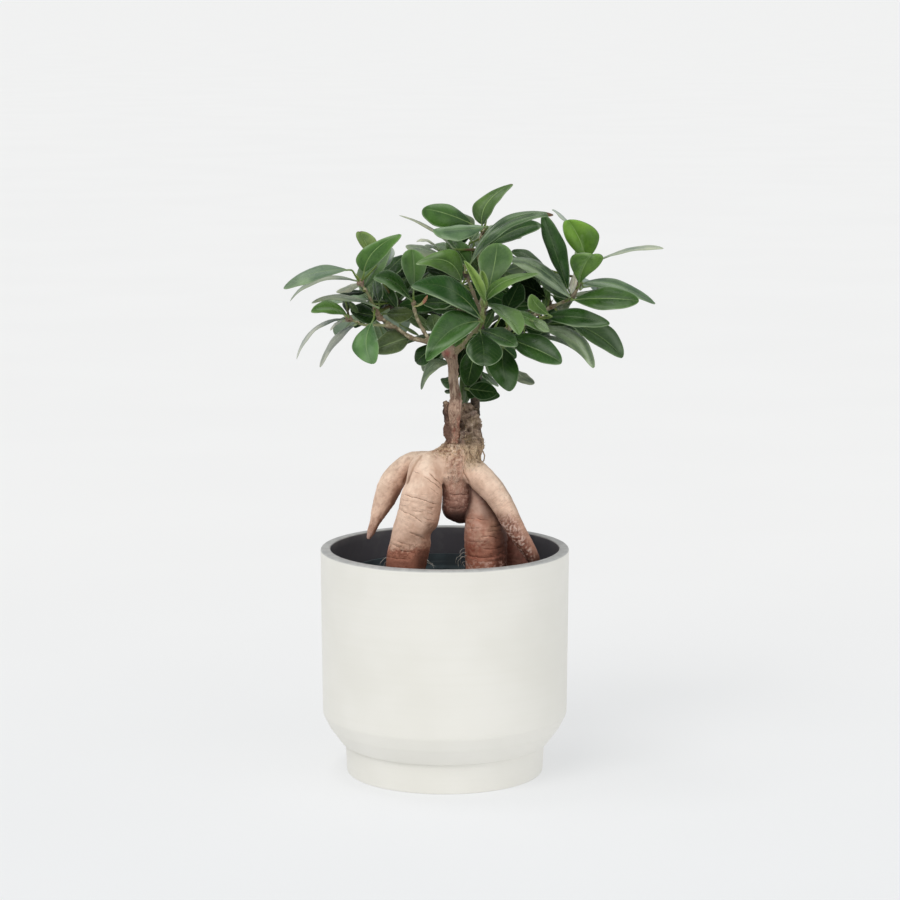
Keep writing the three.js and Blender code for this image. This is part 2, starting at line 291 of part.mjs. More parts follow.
// Thin plastic nursery pot inside it, with drainage holes in its floor.
const nurseryFloor = POT_FLOOR + FIT_GAP;
const nurseryRadius = (z) => NURSERY_BOTTOM_RADIUS + (NURSERY_TOP_RADIUS - NURSERY_BOTTOM_RADIUS) * (z - nurseryFloor) / (NURSERY_TOP - nurseryFloor);
const nursery = turned([
  [0, nurseryFloor], [NURSERY_BOTTOM_RADIUS, nurseryFloor], [nurseryRadius(NURSERY_TOP - 9), NURSERY_TOP - 9],
  [NURSERY_RIM_RADIUS - 1, NURSERY_TOP - 8], [NURSERY_RIM_RADIUS, NURSERY_TOP - 0.6], [NURSERY_RIM_RADIUS - 0.6, NURSERY_TOP],
  [NURSERY_RIM_RADIUS - 1.4, NURSERY_TOP], [NURSERY_RIM_RADIUS - 2.3, NURSERY_TOP - 7],
  [nurseryRadius(NURSERY_TOP - 9) - NURSERY_WALL, NURSERY_TOP - 8.4],
  [NURSERY_BOTTOM_RADIUS - NURSERY_WALL, nurseryFloor + NURSERY_WALL], [0, nurseryFloor + NURSERY_WALL],
], 40);
const drains = [];
for (let i = 0; i < 7; i++) {
  const hole = new THREE.CylinderGeometry(4, 4, 6, 10).rotateX(Math.PI / 2);
  const a = (i / 6) * Math.PI * 2, r = i === 6 ? 0 : 30;
  hole.translate(r * Math.cos(a), r * Math.sin(a), nurseryFloor + 0.6);
  drains.push(solid(welded(hole)));
}
add('nursery_pot', body(drains.reduce((a, b) => a.subtract(b), solid(nursery))), 0x20292b, 0.5);

// Soil, with a socket for each root that goes down into it.
const soilRadius = (z) => nurseryRadius(z) - NURSERY_WALL - FIT_GAP;
const legs = ['left_leg', 'right_root', 'right_leg', 'back_leg'];
const sockets = legs.map((k) => {
  const p = ROOTS[k].slice(-5), last = p[p.length - 1];
  return limb([...p.slice(0, -1), [last[0], last[1], last[2] - 1, last[3]]], ROOT_SIDES, 1, FIT_GAP + 0.25);
});
const soil = turned([
  [0, nurseryFloor + NURSERY_WALL + FIT_GAP], [NURSERY_BOTTOM_RADIUS - NURSERY_WALL - FIT_GAP - 0.2, nurseryFloor + NURSERY_WALL + FIT_GAP],
  [soilRadius(SOIL_TOP - 3), SOIL_TOP - 3], [soilRadius(SOIL_TOP - 3) - 3, SOIL_TOP - 2], [40, SOIL_TOP - 0.8], [18, SOIL_TOP], [0, SOIL_TOP + 0.4],
], 36);
add('soil', body(sockets.reduce((a, b) => a.subtract(b), solid(soil))), 0x2a211b, 0.95);

// Swollen rootstock: legs, hanging root, bulb and graft neck, grown as one. Both stems are set into the neck.
const stemLimbs = (name, grow = 0) => STEMS[name].map((b, i) => limb(b, TWIG_SIDES + (i === 0 ? 3 : 0), 1, grow));
const stump = (grow = 0) => limb(ROOTS.stump, 8, 1, grow);
const rootNames = ['neck', 'bulb', 'left_leg', 'hanging_root', 'right_root', 'right_leg', 'back_leg'];
let rootstock = union(rootNames.map((k) => limb(ROOTS[k], ROOT_SIDES)));
const graft = [limb(STEMS.front[0], TWIG_SIDES + 3, 1, FIT_GAP), stump(FIT_GAP), limb(STEMS.rear[0], TWIG_SIDES + 3, 1, FIT_GAP)];
for (const g of graft) rootstock = rootstock.subtract(g);
add('rootstock', body(rootstock), 0xb98f72, 0.75);

add('front_stem', body(union([...stemLimbs('front'), stump()])), 0x8d7868, 0.8);
add('rear_stem', body(union(stemLimbs('rear'))), 0x54493f, 0.85);

for (const row of LEAVES) add(row[0], leaf(row), GREENS[row[20]], 0.4);

export default plant;
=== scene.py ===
# Potted Chinese banyan (Ficus microcarpa, swollen-root form) in a straight-sided ceramic cachepot: the visual model.
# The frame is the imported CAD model. Lengths in the tables are millimetres; the meshes are written in metres.
import bpy
import math
import numpy as np
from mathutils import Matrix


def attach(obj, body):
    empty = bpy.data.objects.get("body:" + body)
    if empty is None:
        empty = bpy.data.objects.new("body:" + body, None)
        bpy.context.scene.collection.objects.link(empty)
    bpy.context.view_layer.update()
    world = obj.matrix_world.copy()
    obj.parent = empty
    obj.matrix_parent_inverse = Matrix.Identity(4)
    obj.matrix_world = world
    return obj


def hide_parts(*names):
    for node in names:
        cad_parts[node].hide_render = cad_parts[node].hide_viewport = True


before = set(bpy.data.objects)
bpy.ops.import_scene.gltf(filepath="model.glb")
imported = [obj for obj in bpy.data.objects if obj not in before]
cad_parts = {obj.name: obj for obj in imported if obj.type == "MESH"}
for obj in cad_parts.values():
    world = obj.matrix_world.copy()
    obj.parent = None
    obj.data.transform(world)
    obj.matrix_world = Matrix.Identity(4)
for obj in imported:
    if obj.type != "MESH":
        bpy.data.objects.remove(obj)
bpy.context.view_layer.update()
MM = 0.001

# ------------------------------------------------------------------------------------------------ tables
# Roots: [x, y, z, radius] along each, the same as in the CAD part.
ROOTS = {
    "left_leg": [[4.4, -3, 189.6, 8.3], [-4.6, -6, 189.5, 8], [-11.2, -10, 187.1, 9.5], [-13, -13, 181.5, 11.2], [-13.6, -15, 175.2, 12.1], [-14.5, -15, 167.9, 12], [-15.4, -15, 161.2, 12.4], [-16.9, -15, 155.2, 12.5], [-19, -14, 149.5, 12.3], [-20.5, -14, 143.4, 11.8], [-22, -14, 136.7, 11.9], [-23.5, -14, 128.8, 11.6], [-25, -14, 114, 11], [-25.5, -14, 98, 9.6], [-25.5, -14, 87, 7]],
    "hanging_root": [[-0.5, 0, 188.5, 6.5], [-8.9, 2, 189.4, 6.2], [-16.1, 3, 189.6, 5.8], [-21.6, 3, 188.3, 6], [-26.7, 3, 183.8, 6.7], [-30.9, 3, 178.3, 7.3], [-33.6, 2, 172.9, 7.3], [-35.7, 1, 167.6, 6.7], [-37.9, 0, 162.9, 5.5], [-40, -1, 158.1, 4.3], [-42.1, -2, 153.1, 3.1], [-44.2, -3, 148.1, 2.4], [-45.8, -3, 144.4, 1.2]],
    "right_root": [[6.8, -4, 187.9, 6.5], [12.7, -7, 187.5, 6.5], [18.1, -10, 184.7, 7.7], [24.1, -13, 179.7, 7.9], [30, -15, 173.4, 7], [34.8, -17, 165.8, 6.5], [39, -18, 158.1, 5.9], [42.9, -19, 151.3, 5.3], [47.1, -19, 144.4, 4.8], [50.7, -18, 138.4, 4], [53.5, -16, 132.2, 3.3], [52.2, -14.8, 122.5, 2.8], [50.3, -13.6, 114, 2.2], [49.5, -13, 107, 1.8], [49, -13, 101, 1.2]],
    "right_leg": [[8, 0, 184.9, 6.5], [15.2, -1, 178.9, 6.8], [20.6, -3, 172.5, 7.4], [22.1, -4, 166.6, 7.7], [22.7, -5, 160.7, 9.2], [23.9, -6, 154.8, 11.5], [24.6, -6, 148, 12.7], [24.8, -6, 140.1, 12.7], [24.9, -6, 132.1, 12.3], [24.9, -6, 126.6, 12.1], [25.8, -6, 114, 12], [26, -6, 98, 10.4], [26, -6, 87, 7.6]],
    "back_leg": [[20.1, 6, 179, 6], [28.6, 9, 165, 6], [36.6, 11, 151.1, 6.3], [41.5, 12, 141.6, 6.9], [43.3, 12, 133.6, 7.5], [43.7, 12, 125.5, 7.8], [43.5, 12, 116, 8], [44, 12, 100, 6.6], [44, 12, 89, 4.5]],
    "bulb": [[8, -5, 192.4, 8.36], [5.9, -6.5, 185.9, 8.96], [6, -6.5, 179.8, 8.48], [6.8, -5.5, 173.6, 8.18], [7.1, -5, 167.4, 7.94], [7.7, -4, 162, 7.28], [10.1, -2, 157.4, 4.78]],
    "neck": [[14.3, 5, 223, 1.8], [14, 5, 219.4, 4.8], [14.2, 4, 214.7, 6.4], [14.3, 4, 208.6, 7.4], [13.7, 3, 203.9, 8], [12.2, 1, 199.9, 11], [11, -1, 194.8, 12.2], [8.6, -2, 188.8, 12.2], [8, -2, 182.7, 8.3]],
    "stump": [[0.9, -9, 225.9, 1.73], [0.9, -9.5, 221.5, 2.03], [2.1, -9.5, 217.3, 2.33], [3.5, -9, 213.6, 2.75], [2.2, -9, 210.2, 2.99], [4.1, -7, 204.5, 3.1]],
}

STEMS = {
    "front": [
        [[5, -6, 203.4, 4.1], [4.7, -8, 213.4, 4], [6.1, -10, 222.8, 3.8], [6.7, -11, 230.1, 3.5], [5.8, -12, 241.1, 3.5], [5.2, -13, 252, 3.6], [3.2, -13, 258, 4.4]],
        [[3.2, -13, 257.4, 3.2], [-2.8, -13, 261.2, 2.2], [-9.9, -13, 263.9, 1.9], [-14.6, -13, 265.1, 1.8], [-19.4, -12, 266.2, 1.7], [-23.6, -11, 268.5, 1.6], [-29.5, -10, 272.5, 1.4], [-38.4, -10, 277.9, 1.2]],
        [[-38.4, -10, 277.9, 1.2], [-41.3, -12, 284.1, 1.1], [-44.2, -13, 290.1, 1], [-46.5, -14, 294.4, 1], [-49.5, -14, 299.2, 0.9]],
        [[-29.5, -10, 272.5, 1.3], [-39.6, -12, 274, 1.1], [-47.8, -14, 274.2, 1], [-52.5, -15, 276.1, 0.9], [-56.6, -15, 277.9, 0.9]],
        [[-2.2, -13, 260.9, 2], [-8.7, -13, 265.1, 1.6], [-13.5, -12, 272.2, 1.5], [-16.4, -11, 278, 1.4], [-18.2, -10, 283.9, 1.4], [-18.5, -10, 286.9, 1.3]],
        [[5.5, -14, 257.5, 2.4], [9.7, -17, 261.4, 1.6], [12.6, -22, 265.6, 1.4], [17.2, -32, 272.7, 1.3], [21.8, -40, 278.9, 1.3]],
        [[21.8, -40, 278.9, 1.3], [22.1, -41, 284.9, 1.2], [23, -42, 290.2, 1.1]],
        [[17.2, -32, 272.7, 1.2], [25.5, -27, 270.9, 1.1], [32.7, -20, 267.1, 1]],
    ],
    "rear": [
        [[17.6, 6, 201.6, 3.4], [18.2, 7, 211.2, 3.1], [18.5, 8, 220.2, 2.8], [18.2, 8, 226.3, 2.8], [18.8, 10, 235.1, 2.7], [20, 12, 247, 2.5], [21.8, 13, 257.2, 2.3], [22.4, 12, 265.2, 2.1]],
        [[22.4, 12, 265.2, 1.7], [33.1, 4, 267.9, 1.4], [44.8, -8, 272.9, 1.2], [55.3, -15, 277.3, 1.1]],
        [[21.8, 13, 258.4, 1.9], [36.2, 12, 268.2, 1.6], [54.1, 6, 278, 1.4], [67.6, 1, 285.1, 1.3], [75.3, 0, 288.8, 1.3], [79, 4, 294.4, 1.1], [82.1, 8, 303, 0.9]],
        [[22.4, 12, 265.2, 1.9], [21.2, 10, 277.5, 1.7], [17.5, 0, 290.6, 1.4], [12.6, -8, 303.3, 1.2]],
        [[21.2, 10, 277.5, 1.5], [22.4, 14, 292.2, 1.3], [21.1, 12, 305.6, 1.2], [19.9, 10, 316.6, 1.1], [23.5, 15, 328.8, 1]],
        [[20, 13, 254.8, 1.6], [18.4, 30, 257, 1.3], [15.4, 48, 259.2, 1.1]],
        [[22.4, 12, 269.4, 1.6], [10.4, 28, 277.4, 1.4], [0.1, 40, 280.4, 1.2], [-7.9, 46, 282.8, 1]],
        [[0.1, 40, 280.4, 1.1], [-15.1, 36, 282, 1], [-29.6, 30, 282.6, 0.9]],
        [[21.8, 11, 275.6, 1.5], [27.5, 32, 284.3, 1.3], [33.8, 52, 293.3, 1]],
        [[36.2, 12, 268.2, 1.4], [48.7, 30, 275.3, 1.2], [63.1, 44, 279.3, 1]],
        [[21.8, 14, 291, 1.3], [15.3, 28, 301.7, 1.1], [6.2, 40, 310.3, 0.9]],
    ],
}

# Leaves: name, stalk start, blade base, middle of the midrib, tip (x, y, z each), the two half-widths at the middle
# as vectors, outline shape, outline fullness, green, and 1 where the leaf stands for a CAD node.
LEAVES = [
    ["left_upper_arched", -50.2, -14.8, 300, -56.8, -22, 307.6, -76.5, -29, 306.2, -94.03, -36, 298.46, 1.48, 8.59, 4.13, -0.85, -8.8, -3.82, 1.18, 0.8, 3, 1],
    ["left_upper_edge", -50.1, -12.8, 299.3, -53.3, -6, 299.9, -75.39, -3, 300.09, -92.3, 0, 286.82, -0.28, 7.41, 0.38, -0.28, -7.41, -0.95, 1, 0.8, 3, 1],
    ["left_upper_pale", -49.5, -12.7, 299.1, -49.6, -10.4, 298.8, -57.2, 4, 294.4, -65.2, 10.5, 291.3, 0.4, 5.6, 1.5, 0.8, -5.6, -1.5, 1, 0.8, 3, 0],
    ["left_upper_shaded", -44.4, -11.6, 290.3, -46.4, 4, 292, -55.1, 14, 290.7, -63.3, 24, 289.3, -0.2, 7.3, 0.5, 0.2, -7.3, -0.8, 1, 0.8, 0, 0],
    ["left_middle_edge", -40.4, -12.7, 284.1, -40.03, -16.5, 285.22, -61.39, -13, 290.71, -78.96, -10.9, 286.92, -0.3, 8.4, 0.5, 0.3, -8.4, -0.7, 1.1, 0.8, 3, 1],
    ["left_outer_bright", -56.8, -16.2, 278.5, -57.6, -20.2, 280.8, -67.8, -31.3, 286.5, -77.8, -42.3, 285.3, -0.3, 7.2, 3.8, -0.6, -7.8, -2.4, 1, 0.8, 2, 1],
    ["left_outer_small", -56.7, -13.7, 278.1, -58, -2, 280.11, -59.2, 7, 283.31, -60.1, 16, 286.31, -2.6, 6.5, 0.2, 2.3, -6.7, 1.3, 1.1, 0.8, 0, 0],
    ["left_lower_curved", -56.1, -14, 277.5, -57.9, -12, 277.8, -77.1, -15, 271.6, -87.7, -18, 254.1, -0.8, 7.3, -0.1, 0.9, -7.3, 0.1, 1, 0.8, 3, 1],
    ["left_lower_rear", -56.9, -13.7, 277.7, -61, 6, 274.3, -65.6, 17, 271.3, -69.4, 28, 266.1, -0.63, 4.48, -0.07, 0.56, -4.48, 0.07, 1, 0.8, 3, 0],
    ["left_drooping", -51.8, -16, 275.4, -53.5, -20, 274.6, -64.66, -25, 266.2, -73.42, -30, 250.9, -2.4, 6.48, -0.08, 2.16, -6.56, 0.08, 0.85, 0.8, 3, 1],
    ["left_hanging", -41.4, -13.4, 283.4, -42.7, -26, 277.3, -45.98, -33, 265.34, -42.18, -34, 253.39, -8.6, 0, -0.6, 7.2, -4.8, 0.6, 1.15, 0.8, 1, 1],
    ["left_lower_olive", -20.2, -10, 266, -21.2, -7.4, 265.7, -31.3, -12.4, 263.3, -42.9, -20.9, 259.5, -1.9, 4.5, 7.1, 2.2, -6.4, -5.2, 0.9, 0.8, 5, 1],
    ["left_shaded", -36.8, -8.3, 276.7, -39.3, 4, 277, -47.9, 12, 277.9, -56.9, 20, 278.8, -2, 6.1, 5.7, 0.8, -6.9, -5, 1, 0.8, 0, 1],
    ["left_top_small", -48.9, -13.2, 300.1, -41.3, -8, 311.07, -45.89, -11, 320.84, -50.28, -12, 329.42, -4.7, -3.3, 2.1, 6, 0, 2.4, 1.2, 0.8, 6, 1],
    ["left_top_large", -49.2, -15, 300.1, -47.4, -22, 306.4, -41, -29, 319.4, -25.7, -36, 329.9, -8.2, 5.3, 0.1, 7.2, -6.2, -1.2, 0.85, 0.8, 2, 1],
    ["left_top_inner", -47.6, -14.9, 294.5, -48.92, -11.8, 294.19, -41.7, -3.9, 307.13, -32.88, 4.2, 318.55, -5.2, 6.8, -1.2, 5.2, -6.8, 0, 1, 0.8, 6, 1],
    ["left_top_back", -30.1, 29.3, 283.7, -38.9, 10, 304.34, -34.8, 14, 311.84, -32.1, 18, 317.54, -2.5, 5.5, 0.1, 3.7, -4.8, -0.2, 1, 0.8, 4, 0],
    ["left_back_dark", -30.1, 29.3, 283.7, -37.2, 18, 300.2, -30.7, 25, 306.2, -24.7, 32, 311, -2.5, 6.9, 2.7, 3.1, -6.1, -3.7, 1, 0.8, 0, 0],
    ["left_inner_bright", -19.4, -11, 288, -20, -11.6, 288.8, -30.7, -19.5, 300.9, -41.7, -26.1, 303.3, 1.4, 6.9, 5, -1.9, -8, -2.7, 1, 0.8, 2, 1],
    ["left_inner_narrow", -39.8, -9.6, 281.7, -39.2, 0, 286.4, -40.9, 8, 292.8, -41.9, 16, 298.9, -2.7, 6.5, -0.7, 4, -5.8, 1.2, 1, 0.8, 1, 0],
    ["left_inner_dark", -29.5, 28.7, 282.3, -28.8, 20, 280.7, -34.3, 24.8, 287.4, -38.1, 32.3, 294, -3.8, 7, -1.9, 4.4, -6.5, 2.5, 1, 0.8, 0, 0],
    ["upright_centre_left", -18.5, -9.3, 288.5, -18.5, -7.3, 293.1, -18.1, -12.5, 307.9, -19.3, -13.1, 318.9, -7.6, -4.9, 1.7, 7.6, -5.2, 1.1, 1.25, 0.8, 1, 1],
    ["crown_left_grey", 11.5, -7.1, 304.1, 0.8, 2, 311.9, -11.2, 7, 316.6, -23.5, 12, 318.8, -0.1, 8.2, 1.7, -0.5, -7.2, -3.9, 1.1, 0.8, 3, 1],
    ["crown_left_arched", 12.6, -8.3, 301.2, 9.7, -14, 300.3, 0.8, -24, 313.1, -16.4, -34, 312.8, 5.3, 4.5, 6.1, -4.7, -6.8, -4.1, 0.95, 0.8, 6, 1],
    ["crown_left_rear_thin", 8.7, 34.6, 307.7, -4.1, 22.7, 316.7, -11.3, 26.6, 320.9, -17.1, 33.6, 319.4, -0.1, 6.4, 0, 0.1, -6.4, -0.1, 1, 0.8, 0, 0],
    ["crown_left_rear_dot", 6.3, 37.7, 309.7, -5.3, 28.7, 315.6, -9, 35, 316.8, -12.4, 41.4, 316.3, 0, 4.9, 0.4, 0, -4.9, -0.6, 1, 0.8, 0, 0],
    ["crown_left_rear", 18.6, 10.8, 316.6, 5, 19.3, 317, -1.1, 33.6, 317, -6.9, 42.5, 315.9, 0, 6, 1.9, -0.6, -5.7, -2.5, 1, 0.8, 0, 0],
    ["crown_centre_green", 13.9, -5.1, 301.8, 15.1, 0, 307.3, 8.5, 5.6, 315.8, 2.6, 13.7, 322.9, 6, 5.7, 3.1, -6, -6.6, -0.6, 1, 0.8, 1, 0],
    ["crown_inner_dark", 15.7, 0.2, 293.1, 10.9, 6, 296, 0.8, 11, 301.2, -10.7, 16, 304, 0.6, 7.8, 2.6, -1.2, -7.7, -2.6, 1, 0.8, 0, 0],
    ["top_left_edge", 18.5, 9.3, 316.9, 3.8, 2.3, 319.7, -9.3, 3.2, 330.49, -27.2, 2.2, 337.86, 0.23, 4.35, 0.23, -0.35, -4.35, -0.35, 0.8, 0.8, 3, 1],
    ["top_left_dark", 22, 13.2, 327.4, 15.76, 6, 332.5, 0.26, -1, 339.3, -13.04, -8, 342.4, 2.7, 7.4, 4.8, -4.4, -3.3, -7.5, 1, 0.8, 0, 1],
    ["top_left_grey", 22.7, 12.3, 326.2, 23.6, -4, 331.5, 8.5, -14, 330.5, -6.8, -24, 331.3, 1.2, 8.9, 2.5, -1.8, -7, -5.6, 0.95, 0.8, 3, 1],
    ["top_point", 22.7, 14.1, 328.2, 22.3, 14, 331.5, 26.2, 17, 344.8, 40.84, 20, 355.4, -7.6, 4.1, 0.3, 4.2, -7.2, -1.6, 0.8, 0.8, 5, 1],
    ["top_right_long", 13, -9, 304.5, 15, -14, 310.4, 35.2, -20, 334.74, 63.7, -26, 340.32, -1.66, 8.53, 2.7, 1.66, -8.53, -2.7, 0.95, 0.8, 3, 1],
    ["top_right_dark", 20.6, 8.8, 315.6, 23.4, 2, 316.4, 40.5, 7, 327.97, 57.9, 12, 331.17, -0.8, 7.2, 4.4, 1.4, -7.3, -4, 1.3, 0.8, 0, 1],
    ["right_top_large", 75.5, 2.4, 291.4, 74, 4, 292.6, 65.64, -5, 317.6, 58.24, -12, 339.51, -5.47, 7.78, -0.1, 6.34, -7.1, 0.58, 1.15, 0.8, 0, 1],
    ["centre_round", 23, -40.3, 289.5, 25.5, -27, 295.7, 29.2, -31.9, 312.6, 30.6, -31.7, 324.3, -9.9, -3.1, 0.3, 10.3, -1.2, 0.1, 1.3, 0.8, 1, 1],
    ["young_left", 22.8, -43.1, 289.6, 22.9, -46.7, 291.6, 17.9, -50.8, 303.9, 11.2, -57.4, 316.4, -2.1, -4.1, 1, 3.8, -2.2, 1.4, 0.8, 0.8, 4, 0],
    ["young_middle", 23.1, -41.5, 290.4, 23.3, -41.3, 291.3, 22.7, -36.9, 300.2, 21.5, -37, 308.7, -2.4, -3.2, 0.9, 2.9, -2.5, 1.4, 1.1, 0.8, 4, 0],
    ["young_right", 23.4, -43.3, 291, 24.1, -45.5, 292.4, 34.1, -49.5, 303.2, 54.3, -53.5, 308.5, -2, 4, 2, 2.3, -3.4, -2.6, 0.8, 0.8, 4, 1],
    ["centre_left_large", 21.7, -41.9, 280.4, 21.2, -47.8, 281.5, 3.2, -54.7, 299.4, -19, -58.3, 301.8, 2.3, 7.1, 6, -3.5, -6.9, -5.7, 1, 0.8, 0, 1],
    ["centre_bright", 21.7, -42.2, 282.1, 20.32, -47.5, 279.98, 3.2, -55.6, 275.37, -10.72, -64.3, 259.25, -4.1, 0, 9.9, 4.1, -6.8, -5.3, 0.9, 0.8, 2, 1],
    ["centre_hanging", 21.6, -41.5, 278.1, 20.6, -48, 274.8, 22.2, -65, 267.2, 22.6, -74, 257.3, -9.9, -3.2, 0.4, 11.3, 0, -1.2, 1.3, 0.8, 1, 1],
    ["centre_low_right", 19.9, -35.4, 274, 20.7, -36, 273.7, 31.8, -40, 270.4, 42.5, -44, 265.3, 3.1, 6.8, 4.6, -3.7, -7.9, -2.1, 1.2, 0.8, 1, 1],
    ["centre_right_light", 22.8, -40.2, 289, 23, -34, 289.4, 36.7, -42, 281.7, 43.2, -50, 272.4, 6.9, 4.5, 3.7, -4.8, -7.6, 2.3, 1.15, 0.8, 2, 1],
    ["right_inner_grey", 28, -25.4, 271.3, 37.3, -24.4, 284.2, 50.2, -28.3, 279.3, 61.2, -31.6, 272.6, 1.1, 6.7, 2.5, -1.3, -6.4, -3.1, 1.1, 0.8, 3, 0],
    ["right_inner_small", 55, -16.5, 277.4, 51.8, -34, 278.8, 56.9, -38, 276.9, 61.2, -42, 273.8, 0.7, 4.6, 2.4, -1.3, -4.7, -2.1, 1, 0.8, 3, 0],
    ["right_inner_young", 56.3, -16, 277.9, 61.5, -21.5, 281, 54.6, -25.3, 286.7, 50.4, -29.4, 293.9, 3.4, 4.8, 1.3, -4.2, -3.7, -2, 1.1, 0.8, 4, 0],
    ["right_low_dark", 29.2, -25.4, 269.4, 34.3, -28, 268.7, 53, -34, 262.3, 68.6, -40, 254.8, 3.3, 4.1, 8.1, -3.7, -7.9, -4.1, 1.1, 0.8, 0, 1],
    ["right_low_grey", 53, -13.1, 274.9, 55.3, -14, 273, 75.66, -19, 266.76, 88.2, -24, 249.8, 4.1, 7.3, 2.7, -3, -8, -2.3, 1.05, 0.8, 3, 1],
    ["right_middle_dark", 56.7, -14.7, 278, 58.8, -14.2, 279, 78, -23.3, 279.7, 97, -30.4, 276.9, -0.3, 7.5, 4.9, -0.3, -7.9, -4.3, 1, 0.8, 0, 1],
    ["right_middle_rear", 66, 2.3, 282.3, 72.6, 4, 274.6, 91.8, 3, 265.9, 106.5, 2, 252.5, 6.2, 3.9, 5.9, -6, -7.3, -1.6, 1.1, 0.8, 1, 1],
    ["right_striped_grey", 73.06, -1.77, 287.78, 75.19, -3, 289.07, 57.42, -9, 306.34, 38.54, -15, 313.47, 2, 8.6, 2.8, -2.9, -8, -3.7, 1, 0.8, 3, 1],
    ["right_crown_dark", 79.6, 7, 300.2, 60.2, 14, 306, 49.8, 20, 312.1, 40.3, 26, 314.3, 1.1, 6.8, 2.6, -1.1, -6.8, -2.4, 1.1, 0.8, 0, 0],
    ["right_inner_dark", 75.8, 2.2, 289.1, 75.6, 5.7, 287.6, 66.4, 9.3, 293.6, 57.2, 13.5, 297.7, 1.1, 6.7, 2.6, -2, -6.5, -2.6, 1, 0.8, 0, 0],
    ["right_inner_triangle", 77.1, 3.4, 290.7, 76.9, 10, 286.6, 72.5, 18, 283.3, 67.4, 26, 279.4, -0.4, 6, 1.8, 0.4, -5.7, -2.4, 1, 0.8, 0, 0],
    ["right_outer_dark", 75.7, -1.8, 288.7, 76.6, -6.3, 288.3, 96, -14.1, 289.83, 114.8, -17.7, 288.73, 1.5, 6.2, 6.5, -1.5, -6.8, -5.8, 1.05, 0.8, 0, 1],
    ["right_outer_light", 81.5, 6.1, 297.2, 83, 6.7, 296.8, 104, 2.6, 295.7, 125.6, -2.1, 285.4, 1, 8.2, 2.9, -2.2, -8.3, -2.2, 0.9, 0.8, 3, 1],
    ["right_outer_edge", 82.7, 9.1, 303.5, 87.4, 18, 307.68, 111.6, 22, 315.6, 132.1, 26, 316.1, 0.82, 5.51, 1.16, -0.34, -5.64, -0.68, 1.6, 0.8, 3, 1],
    ["right_folded_yellow", 78.8, 2.1, 294.4, 80, -2, 297.4, 82.24, -14, 308.9, 86.75, -26, 317.4, -8.86, -6.48, 3.56, 10.04, -4.32, 1.73, 1.3, 0.8, 6, 1],
    ["right_top_bright", 82.4, 7.7, 304.3, 84.4, 6, 310.7, 79.85, -1, 324.4, 72.6, -8, 336.02, -8.24, -6.59, 0.52, 11.64, 0, 3.09, 1, 0.8, 2, 1],
    ["right_top_edge", 81.9, 8.5, 304.2, 78.2, 18, 326.1, 70.8, 22, 335.1, 64.6, 26, 339.6, 0.5, 6.4, 0.1, -0.5, -6.4, -0.1, 1, 0.8, 3, 0],
    ["low_hanging_dark", 33.1, -19.3, 265.9, 34.6, -16, 260.7, 34.62, -22, 248.9, 37.82, -24, 235.8, -10.1, 0, 3, 9.1, -2.5, 0.3, 1, 0.8, 0, 1],
    ["low_small", 22.6, 10.4, 247.8, 40.2, -2, 245.5, 46.56, -5, 241.96, 53.6, -8, 238.41, 1.9, 4.6, 1.8, -1.9, -4.2, -2.4, 1, 0.8, 4, 0],
    ["low_rear_dark", 18, 13.4, 241.8, 18.81, 14.6, 241.17, 23.11, 19.5, 230.16, 32.8, 24.7, 225.4, 5.8, 5.9, 2.9, -6.7, -3.6, -4.4, 0.95, 0.8, 0, 1],
    ["low_rear_strip", 19, 26.2, 254.7, 20.8, 29.5, 240.8, 27, 34.5, 236.2, 33, 45, 229.5, 0.7, 6.3, 0.7, -0.7, -6.2, -1, 1, 0.8, 3, 0],
    ["low_rear_tall", 18.8, 14.9, 250.8, 17.8, 16.4, 249.8, 15.3, 17.1, 239.7, 11.3, 15.1, 221, 6.1, 6.7, -0.3, -5.8, -6.9, 1.5, 0.9, 0.8, 0, 1],
    ["low_curved_olive", 4.5, -8.8, 249.6, 2.9, 0, 249.7, -7.78, -4, 248.4, -14.1, -8, 234.8, -1.71, 6.03, 1.98, 1.35, -5.94, -2.25, 0.85, 0.8, 5, 1],
    ["low_left_rear", 17.4, 20.4, 256, -2.3, 20, 258.8, -11.1, 26, 252.6, -17.6, 32, 246, -4.1, 6.5, 3.3, 2.8, -6, -4.8, 1.2, 0.8, 0, 0],
    ["low_left_rear_small", 17, 25.8, 256.3, 0.7, 26, 255, -6, 30, 251.5, -10.9, 34, 246.7, -1.3, 5.7, 1.2, 1.9, -4.9, -2.5, 1.2, 0.8, 0, 0],
    ["low_left_spike", 17.1, 12.9, 239.1, 7.4, 22.7, 237.7, 2.2, 25.4, 235.2, -2.6, 32.1, 235.5, 0.3, 5.7, 2.3, 0.3, -4.6, -4, 1, 0.8, 0, 0],
    ["low_left_sliver", 16.5, 11.7, 231.4, 8.6, 21, 230, 3.8, 25.9, 229.3, -0.2, 30.3, 228.4, -0.6, 4.3, 0.6, -0.6, -4.2, -1, 1, 0.8, 0, 0],
    ["left_inner_low", -38, -8.4, 278, -35.1, 2, 279, -26.8, 8, 278.3, -19.1, 14, 278.3, -0.1, 7, 4.1, 0.1, -6.8, -4.4, 1, 0.8, 0, 0],
    ["centre_left_round", -5, -10.8, 263.3, -4.6, -4, 267.1, -6.4, 2, 273, -7, 8, 278.3, -5.4, 6.6, -0.7, 6, -6, 1.3, 1, 0.8, 0, 0],
    ["centre_left_under", 16.8, 3.7, 286, 5, 6, 284.6, -4.1, 12, 284.5, -13.1, 18, 283.9, 0, 7.1, 2.9, 0, -7.1, -2.9, 1, 0.8, 0, 0],
    ["right_inner_back", 62, 4.5, 283.2, 60.8, 12, 287.6, 51.4, 19, 292.9, 41.9, 26, 295.2, 1.3, 5.2, 6.1, -1.9, -5, -6.1, 1, 0.8, 0, 0],
